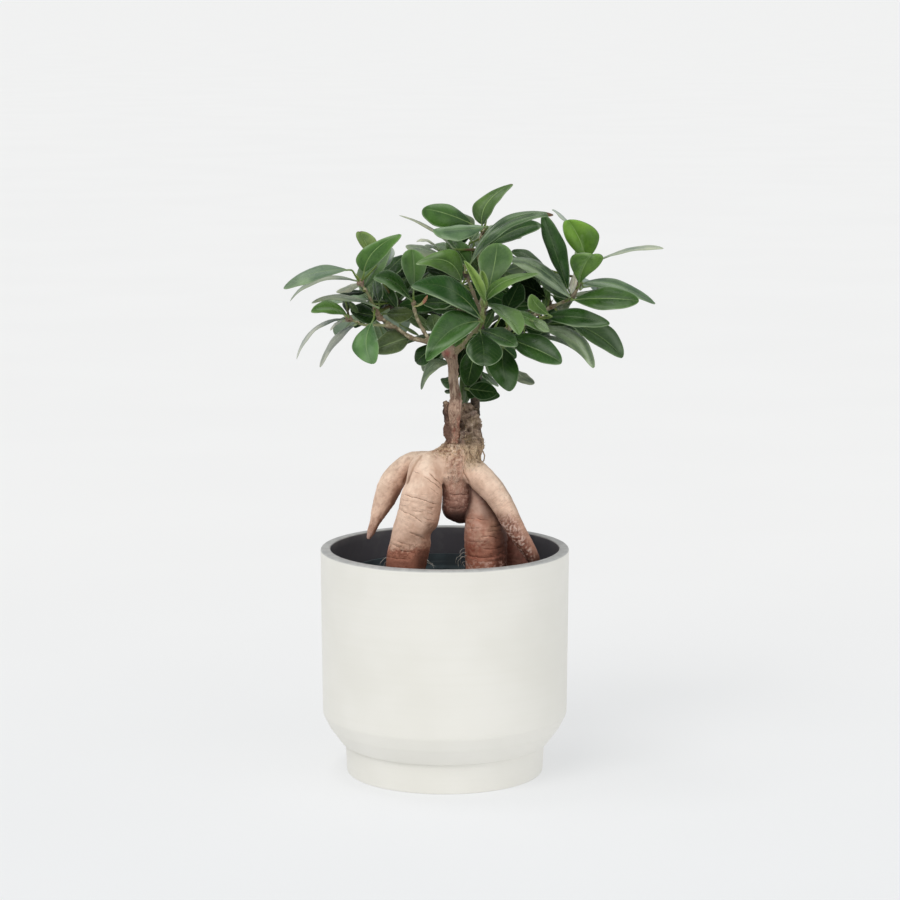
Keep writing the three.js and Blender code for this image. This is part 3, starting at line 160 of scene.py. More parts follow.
    ["centre_inner_back", 37.3, -0.1, 271.5, 36.6, 2, 280.2, 40.9, 9, 288.5, 45.3, 16, 296.2, -5.9, 6, 0, 6.5, -5, -1.3, 1, 0.8, 0, 0],
    ["rear_left_1", -3.3, 44.4, 282.1, 1.7, 51, 283.59, 16.7, 55.5, 290.29, 33.1, 58.9, 293.29, 0.8, -8.7, 4.5, -1.8, 9.4, -1.9, 1.04, 0.75, 0, 0],
    ["rear_left_2", -8.5, 47.3, 283, -12.1, 54.3, 284.1, -22.8, 68.8, 286.4, -29.1, 84.8, 280.4, 5.8, 4.1, 6.7, -8.1, -4.8, -2.4, 1.09, 0.75, 0, 0],
    ["rear_left_3", -9.2, 46.5, 283.2, -16.9, 49.2, 285.7, -29.9, 60.3, 296.9, -48.8, 66.6, 301.3, 2.5, 7.4, -3.1, 0.8, -4.7, 6.9, 1.06, 0.75, 1, 0],
    ["rear_left_4", -4.4, 45.2, 281.7, -0.1, 51.8, 279.9, 11.9, 64.9, 274.3, 23, 76.4, 264.6, 7.1, -5.5, 1.9, -6.5, 6.4, 0.4, 1.14, 0.75, 2, 0],
    ["rear_left_5", -8.1, 47.3, 283.4, -9, 54.7, 287, -12.3, 71.3, 297, -14.9, 90.8, 298.6, 8.1, 0.2, 3.6, -8.5, -1.9, 1.6, 1.12, 0.75, 0, 1],
    ["rear_left_6", -4.5, 44.9, 283, -1, 49.4, 288.2, 4.3, 59.9, 301.1, 6.4, 74.1, 311.2, 8.3, 0.9, -3.6, -5.7, -3.9, 6, 1.01, 0.75, 2, 0],
    ["rear_left_7", -7.8, 47.4, 282.4, -7.4, 52.3, 280.8, -11.7, 69.3, 276.9, -16.4, 84.3, 268.1, 9.1, 2.9, 0.7, -8.7, -0.9, 3.9, 1.14, 0.75, 1, 0],
    ["rear_centre_1", 34.4, 53.3, 293.3, 37.2, 59.1, 293.3, 48.3, 77.3, 295.4, 60.5, 92.8, 287, 7.1, -4.3, 3, -7.3, 4.9, -1, 1.09, 0.75, 0, 1],
    ["rear_centre_2", 34, 53.2, 294.1, 34.9, 57.6, 297.4, 34.8, 76.3, 299.9, 33.4, 95.1, 297.7, 9, 0.4, -0.5, -8.1, -0.4, 4, 1.07, 0.75, 2, 0],
    ["rear_centre_3", 31.4, 48.3, 292.5, 26.6, 48.8, 296, 14.9, 47.5, 308.3, 0.6, 42.8, 316.1, -3.4, 8.3, -1.9, 4.9, -6.3, 4.5, 1.02, 0.75, 1, 0],
    ["rear_centre_4", 33.5, 53, 294.3, 31.4, 60, 301.2, 27.2, 70.8, 311.9, 23.1, 84.1, 319.5, 7.8, 0.1, 3.5, -7.9, -3.2, 0.7, 0.96, 0.75, 1, 0],
    ["rear_centre_5", 33.5, 52, 294.7, 32.1, 51.9, 302.9, 22.8, 60.7, 317.6, 8.4, 70.4, 326.6, 4.5, 7.7, -1.5, -3.3, -7.9, 2.9, 1.05, 0.75, 5, 0],
    ["rear_centre_6", 33.1, 53.3, 293.4, 30.5, 57.9, 294, 14.8, 69.9, 293.5, 0.6, 82.7, 288.7, 4, 6.1, 5.8, -5.9, -7.2, -0.2, 1.05, 0.75, 1, 0],
    ["rear_centre_7", 35.2, 52.2, 293.2, 38.6, 52.7, 293.1, 58.1, 49.8, 296.6, 77.1, 48.8, 290.5, -0.9, -9.2, 1.2, 1.1, 8, 4.7, 1.16, 0.75, 0, 0],
    ["rear_centre_8", 34.5, 52.7, 292.3, 38.8, 57, 285.9, 55.1, 69.6, 274, 64.6, 82.3, 256.1, 4.4, -7, -2.1, -1.4, 7, 4.7, 1.01, 0.75, 0, 0],
    ["rear_right_1", 64.5, 44.5, 279.4, 69.8, 46.4, 279.6, 85.5, 54.4, 285.1, 102.4, 61.5, 282.8, 3.1, -7.4, 3.7, -3.7, 7.9, 0.7, 1.05, 0.75, 0, 0],
    ["rear_right_2", 57.1, 40, 278.2, 52.6, 44.2, 278.33, 32.2, 40.2, 276.63, 14.2, 36.1, 266.83, -2.3, 9.7, 0.8, 1.4, -9.7, 2, 1.07, 0.75, 1, 0],
    ["rear_right_3", 64, 44.2, 278.2, 66.6, 44.7, 275.1, 89.7, 42.7, 269.9, 108.3, 40.6, 255.2, 0.3, -8, 2.3, 1.5, 8, 1.6, 1.03, 0.75, 5, 0],
    ["rear_right_4", 62.3, 45.1, 278.7, 60.4, 50.9, 276.83, 46, 58.1, 267.03, 35, 62.4, 252.33, 3.8, 8, -0.2, -5.3, -6.6, 2.4, 1.1, 0.75, 1, 0],
    ["rear_right_5", 62.4, 45.2, 279.7, 58.6, 51, 282, 57.9, 71.2, 286.1, 56.7, 91.2, 281.7, 9.7, 0.5, 2.9, -9.4, -0.4, 3.8, 1.13, 0.75, 0, 0],
    ["rear_right_6", 58.6, 40.2, 279.6, 56, 39.7, 284.5, 41.8, 34.5, 296.3, 26.5, 26.5, 304.5, -4.8, 7.3, -2.2, 5.5, -5.4, 4.6, 1.19, 0.75, 5, 0],
    ["rear_right_7", 63.5, 45.3, 278.8, 65.6, 51.8, 276.2, 76.4, 71, 269.2, 85.9, 87, 255.3, 9, -3.2, 3.4, -7.9, 5.9, 2.1, 1.1, 0.75, 1, 1],
    ["rear_right_8", 59.8, 42.8, 278.3, 53.4, 48.7, 275.7, 37.6, 55, 272.5, 23.8, 60.3, 263.5, 2.7, 8.4, 1.6, -3.8, -7.9, 1.8, 1.02, 0.75, 0, 0],
    ["rear_low_1", 14.4, 49.1, 258.7, 8.3, 55.7, 255.9, -2.8, 73.5, 248.8, -12.9, 85.5, 233.2, 7.2, 4.4, -0.9, -7.4, -3.1, 2.8, 1.12, 0.75, 0, 1],
    ["rear_low_2", 15.1, 49.1, 258.1, 14.2, 52.6, 254.6, 10.7, 70.5, 246, 8.7, 86.4, 233.9, 7.2, 3.5, 3.8, -8.6, -1.8, -0.7, 1.02, 0.75, 0, 0],
    ["rear_low_3", 14, 48, 259.8, 7.9, 47.9, 262.4, -8.6, 43.7, 270, -26.9, 40.4, 270.5, -1.2, 9.2, 3.3, 2.1, -9.6, -0.1, 1.04, 0.75, 1, 0],
    ["rear_low_4", 17.9, 42.7, 258.8, 23.1, 42.5, 259.6, 38.6, 37, 265.5, 53.8, 28.9, 268.3, -4.3, -5.4, 6.8, 4.5, 7.5, -4.2, 1.13, 0.75, 0, 1],
    ["rear_low_5", 14.9, 49.4, 259.3, 13.5, 53.1, 259.7, 1.4, 69.4, 259, -7.7, 85.1, 250.2, 6.4, 5.2, 3.2, -7.1, -5, -1.2, 1.01, 0.75, 5, 0],
    ["rear_low_6", 14, 47.8, 258.5, 9.4, 47, 256.3, -10.3, 41.6, 259.8, -29, 34.3, 254.6, -3, 9.2, 0.2, 2.5, -8.2, 4.4, 0.96, 0.75, 1, 0],
    ["rear_top_1", 6.4, 40.9, 311.3, 7.8, 46.8, 317.4, 6.8, 57.3, 329, 6.8, 72.9, 329.9, 8.7, -0.5, 1.7, -8.9, -0.4, 0.2, 1.13, 0.75, 1, 0],
    ["rear_top_2", 10.3, 36, 308.2, 13.8, 35.3, 309.9, 31.4, 30.9, 311.3, 48.1, 26.6, 305.6, -1.9, -8.7, 2.2, 2.4, 8.7, 1.7, 1.12, 0.75, 0, 0],
    ["rear_top_3", 8.5, 38.5, 310, 13.5, 38.3, 313.1, 28.2, 31.8, 322.3, 46.6, 29.6, 322.2, -2.1, -9.8, -1.7, -0.1, 7.3, 7.1, 1.1, 0.75, 0, 0],
    ["rear_top_4", 5.1, 40.3, 309.6, 1.2, 41.2, 306.9, -18.6, 40.2, 293.8, -33.3, 42.4, 275.3, -3.9, 6.7, 4.5, 0.3, -8.9, -0.7, 1.06, 0.75, 0, 0],
    ["rear_top_5", 5.1, 40.2, 309.5, 1.3, 40.9, 306.9, -18.6, 37.8, 304.3, -35.9, 39.4, 293.6, -2.4, 7.3, 5.9, 1.4, -9.2, -2.8, 1.2, 0.75, 1, 0],
    ["rear_top_6", 9.1, 38.3, 309.3, 21.7, 44.3, 315.5, 38, 49.5, 325.3, 56.7, 56, 325.8, 2.1, -8.4, 2.6, -3.5, 7.6, 3.4, 1.15, 0.75, 2, 0],
    ["rear_top_7", 6.5, 41.1, 311.1, 7.9, 45.3, 314.1, 5.5, 65.8, 319.1, 2.4, 86.9, 320, 9.8, 1.1, 1.6, -8.9, -1.8, 4.2, 1.12, 0.75, 0, 0],
    ["rear_far_left_1", -27.5, 31.1, 282.9, -25.7, 32.2, 283.5, -8, 38.5, 288.7, 10.9, 41.3, 284.8, 1.6, -6.9, 4.6, -2, 8.1, -1.4, 1.14, 0.75, 1, 0],
    ["rear_far_left_2", -30.9, 30.1, 282.9, -35, 30.6, 283.7, -57.3, 31.4, 284, -78.7, 33.3, 278.2, -0.1, 8.6, 4.9, -0.7, -9.8, 1, 1.15, 0.75, 5, 0],
    ["rear_far_left_3", -26.7, 31, 281.4, -24.5, 31.5, 278.3, -3.4, 35.3, 273.8, 13, 38.5, 259.5, 2.1, -9.3, 0.7, -1.1, 9.4, 1.2, 1.13, 0.75, 2, 1],
    ["rear_far_left_4", -28.9, 31.7, 282.2, -31.6, 50.5, 278.34, -34, 71, 276.84, -37.3, 89.4, 267.84, 9.6, 1.4, -0.1, -9.3, -0.6, 2.6, 1.12, 0.75, 5, 0],
    ["rear_far_left_5", -30.9, 30.3, 282.9, -33.9, 30.9, 283.7, -44.9, 42.9, 275.8, -55.5, 52.4, 264.8, 6.6, 6.1, -0.5, -7, -2.5, 5.1, 1.15, 0.75, 1, 0],
    ["rear_far_left_6", -29.2, 31.5, 283.2, -31.3, 35.3, 285.5, -42.6, 50.8, 288, -53, 66, 282, 6.6, 5, 3.3, -7.2, -4.8, 2.3, 1.01, 0.75, 2, 0],
    ["rear_far_left_7", -26.8, 32.3, 281.6, -29.2, 39.8, 274.8, -29, 62.3, 270.3, -27.3, 80.2, 256.1, 9.1, 1, 3.1, -9.7, 0.5, 0.1, 0.97, 0.75, 0, 0],
    ["rear_far_right_1", 81.4, 8.3, 300.3, 83, 32, 291.2, 91.1, 52.8, 292.2, 96.4, 72.3, 282.5, 8.4, -2.8, -0.2, -7.6, 3.2, 3.3, 1.04, 0.75, 1, 0],
    ["rear_far_right_2", 81.4, 8.8, 301.7, 77.7, 26.8, 298, 82.7, 40.6, 312.9, 78.2, 58.2, 323.5, 5.2, 4.2, -5.3, -3.5, -4.9, 6.1, 1.09, 0.75, 0, 0],
    ["rear_far_right_3", 81.4, 7.7, 299.2, 85.8, 20.2, 293.6, 104.7, 27.8, 293.2, 122.1, 36.6, 287.1, 1.93, -4.62, -0.99, -1.65, 4.4, 1.93, 1.16, 0.75, 1, 1],
    ["rear_far_right_4", 78.6, 5.5, 294, 73.5, 23.2, 289.7, 63.2, 34.1, 300.2, 49.8, 45.8, 304.8, 5.5, 6.1, -0.4, -4.1, -6.4, 3.2, 1.01, 0.75, 2, 1],
    ["rear_far_right_5", 79.4, 6.3, 296, 74, 28.3, 286.2, 66.1, 43.2, 271.7, 61.5, 56.5, 254.4, 3.5, 7, 4.8, -7.5, -5, -1.4, 1.07, 0.75, 0, 0],
    ["side_left_back_1", -30.7, 29.7, 281.9, -43.8, 25.6, 274.1, -38.3, 41.5, 263.4, -37.2, 55.3, 249.1, 7.4, -5.1, -4.1, -5.9, 5.8, 5.3, 1.13, 0.75, 2, 0],
    ["side_left_back_2", -30.8, 29.4, 282.8, -45, 22.4, 284.8, -45.2, 39.4, 298.4, -43.3, 58.9, 307.8, 7.9, -2.7, 3.8, -8.8, 1.6, -2, 1.1, 0.75, 2, 0],
    ["side_left_back_3", -30.7, 29.3, 282.8, -43.7, 20.8, 285.4, -46.6, 33.2, 300.7, -42.9, 50.2, 310.6, 4.4, -4.8, 5.4, -7.6, 2.6, -2.7, 1.08, 0.75, 5, 0],
    ["side_left_back_4", -30.7, 29.4, 282.1, -43.3, 25.5, 276.53, -35.6, 41.3, 268.23, -32.8, 56, 255.83, 6.1, -5, -4.3, -4.6, 5.4, 5.6, 1.17, 0.75, 5, 0],
    ["side_left_back_5", -30.7, 29.4, 282.2, -46.6, 20.4, 276.8, -56.7, 34.6, 271.1, -64.7, 46.4, 259.7, 7.1, 6.5, 2.5, -8.5, -4.9, 1.5, 1.2, 0.75, 5, 1],
    ["rear_low_right_1", 46.2, 27.7, 272.6, 43.4, 37.1, 258.9, 35.6, 57.3, 248.6, 30.5, 73.5, 231.6, 8.3, 5.1, 2.8, -9.6, -3.3, 0.2, 1.09, 0.75, 0, 0],
    ["rear_low_right_2", 46.6, 26.4, 272.2, 51.6, 29.8, 261.8, 72.6, 33.4, 257.5, 89.2, 36.8, 243.9, 2.1, -10, 0.6, -1, 10, 1.8, 1.15, 0.75, 1, 0],
    ["rear_low_right_3", 52.6, 33, 274.8, 58.7, 33.2, 264.4, 78.1, 33, 266.4, 97.4, 33.2, 262.9, 0, -8.4, 0.5, 0.1, 8.3, 1.4, 1.15, 0.75, 0, 0],
    ["rear_low_right_4", 45.6, 27.4, 272.7, 40, 32.5, 263.5, 21.4, 34.1, 251.4, 5.9, 38, 235.9, -2.3, 7.5, 4.4, 1.2, -8.4, -3.1, 1.16, 0.75, 0, 0],
    ["rear_low_right_5", 49.2, 31.8, 274.3, 46.5, 42.6, 262.5, 53.7, 61.6, 257.6, 59.6, 77.2, 245, 8, -2.5, 1.1, -7.6, 3.4, 1.1, 1.18, 0.75, 5, 0],
    ["rear_crown_1", 11.8, 33, 306.8, 16.4, 30.2, 320.2, 5.5, 32, 330.2, -8.4, 30.8, 335.4, -0.9, 8.8, -1.8, 3.1, -6.6, 5.4, 0.95, 0.75, 0, 1],
    ["rear_crown_2", 9.6, 36.2, 308.9, 15.7, 35.8, 322.6, 9.3, 48, 332.9, -0.6, 62, 334.9, 8, 5.1, -0.3, -6.7, -5.8, 3.6, 1.13, 0.75, 5, 0],
    ["inner_shade_1", 17.16, 24, 298.64, 12.6, 19, 294.35, 25.6, 22, 288.75, 38.6, 25, 283.25, 2.46, 1.64, 6.2, -2.46, -1.64, -6.2, 1, 0.8, 0, 0],
    ["inner_shade_2", 26.69, 29, 283.06, 29.9, 26, 279.27, 26.2, 23, 272.57, 22.5, 20, 265.97, -2.37, 0.67, 1.28, 2.37, -0.67, -1.28, 1, 0.8, 0, 0],
    ["inner_shade_3", 7.46, 31.43, 278.26, 4.9, 27, 284.7, -11.4, 24, 283.3, -27.6, 21, 281.9, -0.56, 1.34, 5.44, 0.56, -1.34, -5.44, 1, 0.8, 0, 0],
    ["inner_shade_4", -29.6, 30, 282.6, -24.7, 17, 278.7, -16.2, 20, 272.8, -7.6, 23, 266.8, 1.95, 0.9, 3.06, -1.95, -0.9, -3.06, 1, 0.8, 0, 0],
    ["inner_shade_5", 21.66, 12.86, 299.86, 36.6, 17, 303.54, 44.3, 20, 305.24, 51.9, 23, 307.04, -0.93, 0.9, 3.52, 0.93, -0.9, -3.52, 1, 0.8, 0, 0],
    ["inner_shade_6", 63.74, 2.43, 283.07, 65, 23, 287.84, 70.6, 26, 284.94, 76.2, 29, 282.14, 1.26, 0.75, 2.75, -1.26, -0.75, -2.75, 1, 0.8, 0, 0],
    ["inner_shade_7", 57.96, 4.57, 280.03, 59.7, 11, 281.7, 60.9, 14, 288, 62.1, 17, 294.2, -2.65, 0.67, 0.48, 2.65, -0.67, -0.48, 1, 0.8, 0, 0],
    ["inner_shade_8", 30.03, 12.43, 264, 35.5, 9, 257.8, 39.3, 12, 254.3, 43.1, 15, 250.8, 2.31, 0.9, 2.79, -2.31, -0.9, -2.79, 1, 0.8, 0, 0],
    ["inner_shade_9", 56.03, 5.29, 279.01, 60.7, 5, 272.5, 68.6, 8, 272.6, 76.5, 11, 272.7, -0.11, 0.52, 2.12, 0.11, -0.52, -2.12, 1, 0.8, 0, 0],
    ["inner_shade_10", 76.36, 1.14, 290.4, 75.3, 0, 290.87, 76.7, 3, 297.07, 78.2, 6, 303.27, -2.1, 0.54, 0.46, 2.1, -0.54, -0.46, 1, 0.8, 3, 0],
    ["inner_shade_11", 43.87, 9.43, 272.4, 48, 13, 270, 53.2, 16, 267.8, 58.4, 19, 265.6, 1.02, 0.75, 2.86, -1.02, -0.75, -2.86, 1, 0.8, 0, 0],
    ["inner_shade_12", 50.76, 32, 275.87, 54, 27, 281.5, 46.1, 24, 281.2, 38.2, 21, 280.8, -0.26, 0.75, 3.03, 0.26, -0.75, -3.03, 1, 0.8, 0, 0],
    ["inner_shade_13", 19.09, 22.71, 256.06, 16, 21, 262.2, 11, 18, 260.3, 6.1, 15, 258.3, -1.52, 0.9, 3.31, 1.52, -0.9, -3.31, 1, 0.8, 0, 0],
    ["inner_shade_14", -29.6, 30, 282.6, -25.1, 19, 269.6, -20.4, 22, 266.5, -15.8, 25, 263.4, 0.57, 0.28, 1, -0.57, -0.28, -1, 1, 0.8, 0, 0],
    ["inner_shade_15", 7.46, 31.43, 278.26, 6.2, 31, 279.3, -0.5, 28, 278.9, -7.1, 25, 278.5, -0.28, 0.67, 2.72, 0.28, -0.67, -2.72, 1, 0.8, 0, 0],
    ["inner_shade_16", 26.69, 29, 283.06, 32, 25, 293.6, 36.5, 28, 290.2, 41, 31, 286.7, 1.54, 0.67, 2.24, -1.54, -0.67, -2.24, 1, 0.8, 0, 0],
    ["inner_shade_17", 21.96, 12.86, 323.57, 15.8, 21, 321.2, 18.2, 24, 324.4, 20.7, 27, 327.6, -1.47, 0.45, 1.05, 1.47, -0.45, -1.05, 1, 0.8, 0, 0],
    ["inner_shade_18", 26.69, 29, 283.06, 30, 31, 279.9, 28, 28, 276.8, 26, 25, 273.7, -1.66, 0.48, 0.97, 1.66, -0.48, -0.97, 1, 0.8, 0, 0],
    ["inner_shade_19", -56.6, -15, 277.9, -58.1, 9, 286.1, -55.1, 12, 282.1, -52.1, 15, 278.1, 1.47, 0.48, 1.25, -1.47, -0.48, -1.25, 1, 0.8, 0, 0],
    ["inner_shade_20", 18.54, 9.14, 231.33, 14, -10, 235.66, 22.7, -7, 233.96, 31.3, -4, 232.36, 0.75, 1.34, 5.42, -0.75, -1.34, -5.42, 1, 0.8, 0, 0],
    ["inner_shade_21", 21.89, 12.86, 258.34, 18.8, 8, 258.4, 16.1, 5, 247, 13.4, 2, 235.6, -6.99, 1.79, 1.64, 6.99, -1.79, -1.64, 1, 0.8, 0, 0],
    ["inner_shade_22", 19.31, 10.86, 240.2, 20.6, 9, 240.89, 17.6, 6, 234.39, 14.5, 3, 227.89, -4.37, 1.2, 1.98, 4.37, -1.2, -1.98, 1, 0.8, 0, 0],
    ["inner_shade_23", 10.11, -17.71, 262, 12.9, -13, 265.8, 16.8, -10, 266.9, 20.8, -7, 268, -0.92, 0.67, 2.57, 0.92, -0.67, -2.57, 1, 0.8, 0, 0],
]

# The reference view: focal length in pixels of a 900 pixel frame, place and downward tilt.
FOCAL, CAM, TILT = 2936.83, np.array([3.157, -1744.65, 469.70]), 0.15502965

# ------------------------------------------------------------------------------------------------ numbers
def seeded(k):
    return np.random.default_rng(k)


def unit(v):
    v = np.asarray(v, float)
    n = np.linalg.norm(v, axis=-1, keepdims=True)
    return v / np.maximum(n, 1e-12)


def linear(r, g, b):
    """Display colour 0..255 to linear."""
    c = np.array([r, g, b], float) / 255
    return np.where(c <= 0.04045, c / 12.92, ((c + 0.055) / 1.055) ** 2.4)


def noise3(p, seed=0):
    """Smooth lattice noise, -1 to 1, at N points."""
    p = np.asarray(p, float)
    i = np.floor(p).astype(np.int64)
    f = p - i
    u = f * f * f * (f * (f * 6 - 15) + 10)

    def corner(dx, dy, dz):
        with np.errstate(over="ignore"):
            n = (i[:, 0] + dx) * 374761393 + (i[:, 1] + dy) * 668265263 + (i[:, 2] + dz) * 1440662683 + seed * 974634777
            n = (n ^ (n >> 13)) * 1274126177
            n = n ^ (n >> 16)
        return (n & 0xFFFF) / 32767.5 - 1

    def mix(a, b, t):
        return a + (b - a) * t

    x0 = mix(mix(corner(0, 0, 0), corner(1, 0, 0), u[:, 0]), mix(corner(0, 1, 0), corner(1, 1, 0), u[:, 0]), u[:, 1])
    x1 = mix(mix(corner(0, 0, 1), corner(1, 0, 1), u[:, 0]), mix(corner(0, 1, 1), corner(1, 1, 1), u[:, 0]), u[:, 1])
    return mix(x0, x1, u[:, 2])


def fbm(p, octaves=3, seed=0):
    total, scale = 0, 1.0
    for k in range(octaves):
        total = total + noise3(np.asarray(p) * 2.03 ** k, seed + 17 * k) * scale
        scale *= 0.5
    return total / 1.75


def smooth(a, b, x):
    t = np.clip((x - a) / (b - a), 0, 1)
    return t * t * (3 - 2 * t)


def picture(p):
    """Where points (mm) fall in the 900 pixel reference view."""
    d = np.asarray(p, float) - CAM
    c, s = math.cos(TILT), math.sin(TILT)
    depth = d[:, 1] * c - d[:, 2] * s
    up = d[:, 1] * s + d[:, 2] * c
    return 450 + FOCAL * d[:, 0] / depth, 450 - FOCAL * up / depth


def line_distance(px, py, line):
    """Distance in pixels from points to a polyline."""
    best = np.full(len(px), 1e9)
    for (x0, y0), (x1, y1) in zip(line[:-1], line[1:]):
        dx, dy = x1 - x0, y1 - y0
        t = np.clip(((px - x0) * dx + (py - y0) * dy) / max(dx * dx + dy * dy, 1e-9), 0, 1)
        best = np.minimum(best, np.hypot(px - x0 - t * dx, py - y0 - t * dy))
    return best


def split_field(px, py, lines):
    """Signed distance (mm) to the nearest of some lines drawn in the reference view, its strength there and its depth (mm)."""
    across, strength, deep, best = np.full(len(px), 9.0), np.zeros(len(px)), np.zeros(len(px)), np.full(len(px), 1e9)
    for line, half, depth, dark in lines:
        p = np.array(line, float)
        run = np.concatenate([[0], np.cumsum(np.hypot(*np.diff(p, axis=0).T))])
        for k in range(len(p) - 1):
            (x0, y0), (x1, y1) = p[k], p[k + 1]
            dx, dy = x1 - x0, y1 - y0
            size = max(math.hypot(dx, dy), 1e-6)
            t = ((px - x0) * dx + (py - y0) * dy) / size
            off = ((px - x0) * dy - (py - y0) * dx) / size
            out = np.maximum(-t, t - size).clip(0)
            far = np.hypot(off, out)
            a = run[k] + np.clip(t, 0, size)
            taper = smooth(-1.0, 3.5, np.minimum(a, run[-1] - a)) * smooth(1.6, 0.2, out)
            near = far < best
            best[near] = far[near]
            across[near] = off[near] / 1.674
            strength[near] = (dark * taper * smooth(4.5, 2.5, far))[near]
            deep[near] = (depth * taper)[near]
    return across, strength, deep


# ------------------------------------------------------------------------------------------------ meshes
def new_mesh(name, verts, faces, attrs=(), uv=None, shade=True):
    """A mesh object from vertices in mm. attrs: (name, values) per vertex, N or Nx3. uv: per vertex."""
    me = bpy.data.meshes.new(name)
    me.from_pydata((np.asarray(verts, float) * MM).tolist(), [], [list(map(int, f)) for f in faces])
    me.update()
    for key, values in attrs:
        values = np.asarray(values, np.float32)
        if values.ndim == 1:
            me.attributes.new(key, "FLOAT", "POINT").data.foreach_set("value", values)
        else:
            rgba = np.c_[values, np.ones(len(values), np.float32)].astype(np.float32)
            me.color_attributes.new(key, "FLOAT_COLOR", "POINT").data.foreach_set("color", rgba.ravel())
    if uv is not None:
        layer = me.uv_layers.new(name="UVMap")
        index = np.zeros(len(me.loops), np.int32)
        me.loops.foreach_get("vertex_index", index)
        layer.data.foreach_set("uv", np.asarray(uv, np.float32)[index].ravel())
    me.polygons.foreach_set("use_smooth", [shade] * len(me.polygons))
    ob = bpy.data.objects.new(name, me)
    bpy.context.scene.collection.objects.link(ob)
    return ob


def merge(parts):
    """Joins (verts, faces, attrs dict) parts into one."""
    verts, faces, attrs, n = [], [], {}, 0
    for v, f, a in parts:
        verts.append(v)
        faces += [[k + n for k in face] for face in f]
        for key, value in a.items():
            attrs.setdefault(key, []).append(value)
        n += len(v)
    return np.concatenate(verts), faces, {k: np.concatenate(v) for k, v in attrs.items()}


def curve_points(points, step):
    """A centripetal curve through [x, y, z, ...] rows, resampled about every step mm."""
    p = np.asarray(points, float)
    if len(p) == 2:
        n = max(2, int(np.linalg.norm(p[1, :3] - p[0, :3]) / step) + 1)
        t = np.linspace(0, 1, n)[:, None]
        return p[0] * (1 - t) + p[1] * t
    first, last = 2 * p[0] - p[1], 2 * p[-1] - p[-2]
    first[3:], last[3:] = p[0][3:], p[-1][3:]
    q = np.vstack([first, p, last])
    out = []
    for k in range(1, len(q) - 2):
        p0, p1, p2, p3 = q[k - 1], q[k], q[k + 1], q[k + 2]
        t = [0.0]
        for a, b in ((p0, p1), (p1, p2), (p2, p3)):
            t.append(t[-1] + max(np.linalg.norm(b[:3] - a[:3]) ** 0.5, 1e-4))
        n = max(1, int(math.ceil(np.linalg.norm(p2[:3] - p1[:3]) / step)))
        x = np.linspace(t[1], t[2], n, endpoint=False)[:, None]
        a1 = (t[1] - x) / (t[1] - t[0]) * p0 + (x - t[0]) / (t[1] - t[0]) * p1
        a2 = (t[2] - x) / (t[2] - t[1]) * p1 + (x - t[1]) / (t[2] - t[1]) * p2
        a3 = (t[3] - x) / (t[3] - t[2]) * p2 + (x - t[2]) / (t[3] - t[2]) * p3
        b1 = (t[2] - x) / (t[2] - t[0]) * a1 + (x - t[0]) / (t[2] - t[0]) * a2
        b2 = (t[3] - x) / (t[3] - t[1]) * a2 + (x - t[1]) / (t[3] - t[1]) * a3
        out.append((t[2] - x) / (t[2] - t[1]) * b1 + (x - t[1]) / (t[2] - t[1]) * b2)
    out.append(q[-2][None, :])
    res = np.vstack(out)
    if p.shape[1] > 3:
        # radii run straight between the given points, so that they never overshoot
        where = np.concatenate([[0], np.cumsum([max(1, int(math.ceil(np.linalg.norm(p[k + 1, :3] - p[k, :3]) / step))) for k in range(len(p) - 1)])])
        res[:, 3] = np.interp(np.arange(len(res)), where, p[:, 3])
    return res


def frames(c):
    """Tangent and two normals along a line of points, turning as little as possible."""
    d = np.gradient(c, axis=0)
    t = unit(d)
    n = np.zeros_like(t)
    a = np.cross(t[0], [0, 0, 1.0])
    if np.linalg.norm(a) < 0.1:
        a = np.cross(t[0], [1.0, 0, 0])
    n[0] = unit(a)
    for k in range(1, len(t)):
        v = n[k - 1] - t[k] * np.dot(n[k - 1], t[k])
        n[k] = unit(v)
    return t, n, np.cross(t, n)


def tube(points, sides=12, step=None, ends=(True, True), wobble=0.0, seed=0):
    """A closed tapered tube with domed ends through [x, y, z, r] rows. Returns verts, faces, and each vertex's
    distance along it and angle."""
    c = curve_points(points, step) if step else np.asarray(points, float)
    t, n, b = frames(c[:, :3])
    rings, along = [], []
    length = np.concatenate([[0], np.cumsum(np.linalg.norm(np.diff(c[:, :3], axis=0), axis=1))])
    rows = [(c[k, :3], t[k], n[k], b[k], c[k, 3], length[k]) for k in range(len(c))]
    start = [(c[0, :3] - t[0] * c[0, 3] * d, t[0], n[0], b[0], c[0, 3] * r, 0.0) for d, r in ((0.95, 0.28), (0.7, 0.68), (0.35, 0.92))]
    end = [(c[-1, :3] + t[-1] * c[-1, 3] * d, t[-1], n[-1], b[-1], c[-1, 3] * r, length[-1]) for d, r in ((0.35, 0.92), (0.7, 0.68), (0.95, 0.28))]
    rows = (start if ends[0] else []) + rows + (end if ends[1] else [])
    ang = np.arange(sides) / sides * 2 * np.pi
    for at, tt, nn, bb, r, s in rows:
        rr = np.full(sides, r)
        if wobble:
            q = np.c_[np.cos(ang) * 1.3 + seed * 3.1, np.sin(ang) * 1.3, np.full(sides, s / max(r, 0.3) / 2.5)]
            rr = r * (1 + wobble * noise3(q, seed))
        rings.append(at + np.cos(ang)[:, None] * nn * rr[:, None] + np.sin(ang)[:, None] * bb * rr[:, None])
        along.append(np.full(sides, s))
    v = np.vstack(rings)
    m = len(rows)
    f = []
    for i in range(m - 1):
        for j in range(sides):
            a0, a1 = i * sides + j, i * sides + (j + 1) % sides
            f.append([a0, a1, a1 + sides, a0 + sides])
    f.append(list(range(sides))[::-1])
    f.append([(m - 1) * sides + j for j in range(sides)])
    return v, f, np.concatenate(along), np.tile(ang, m)


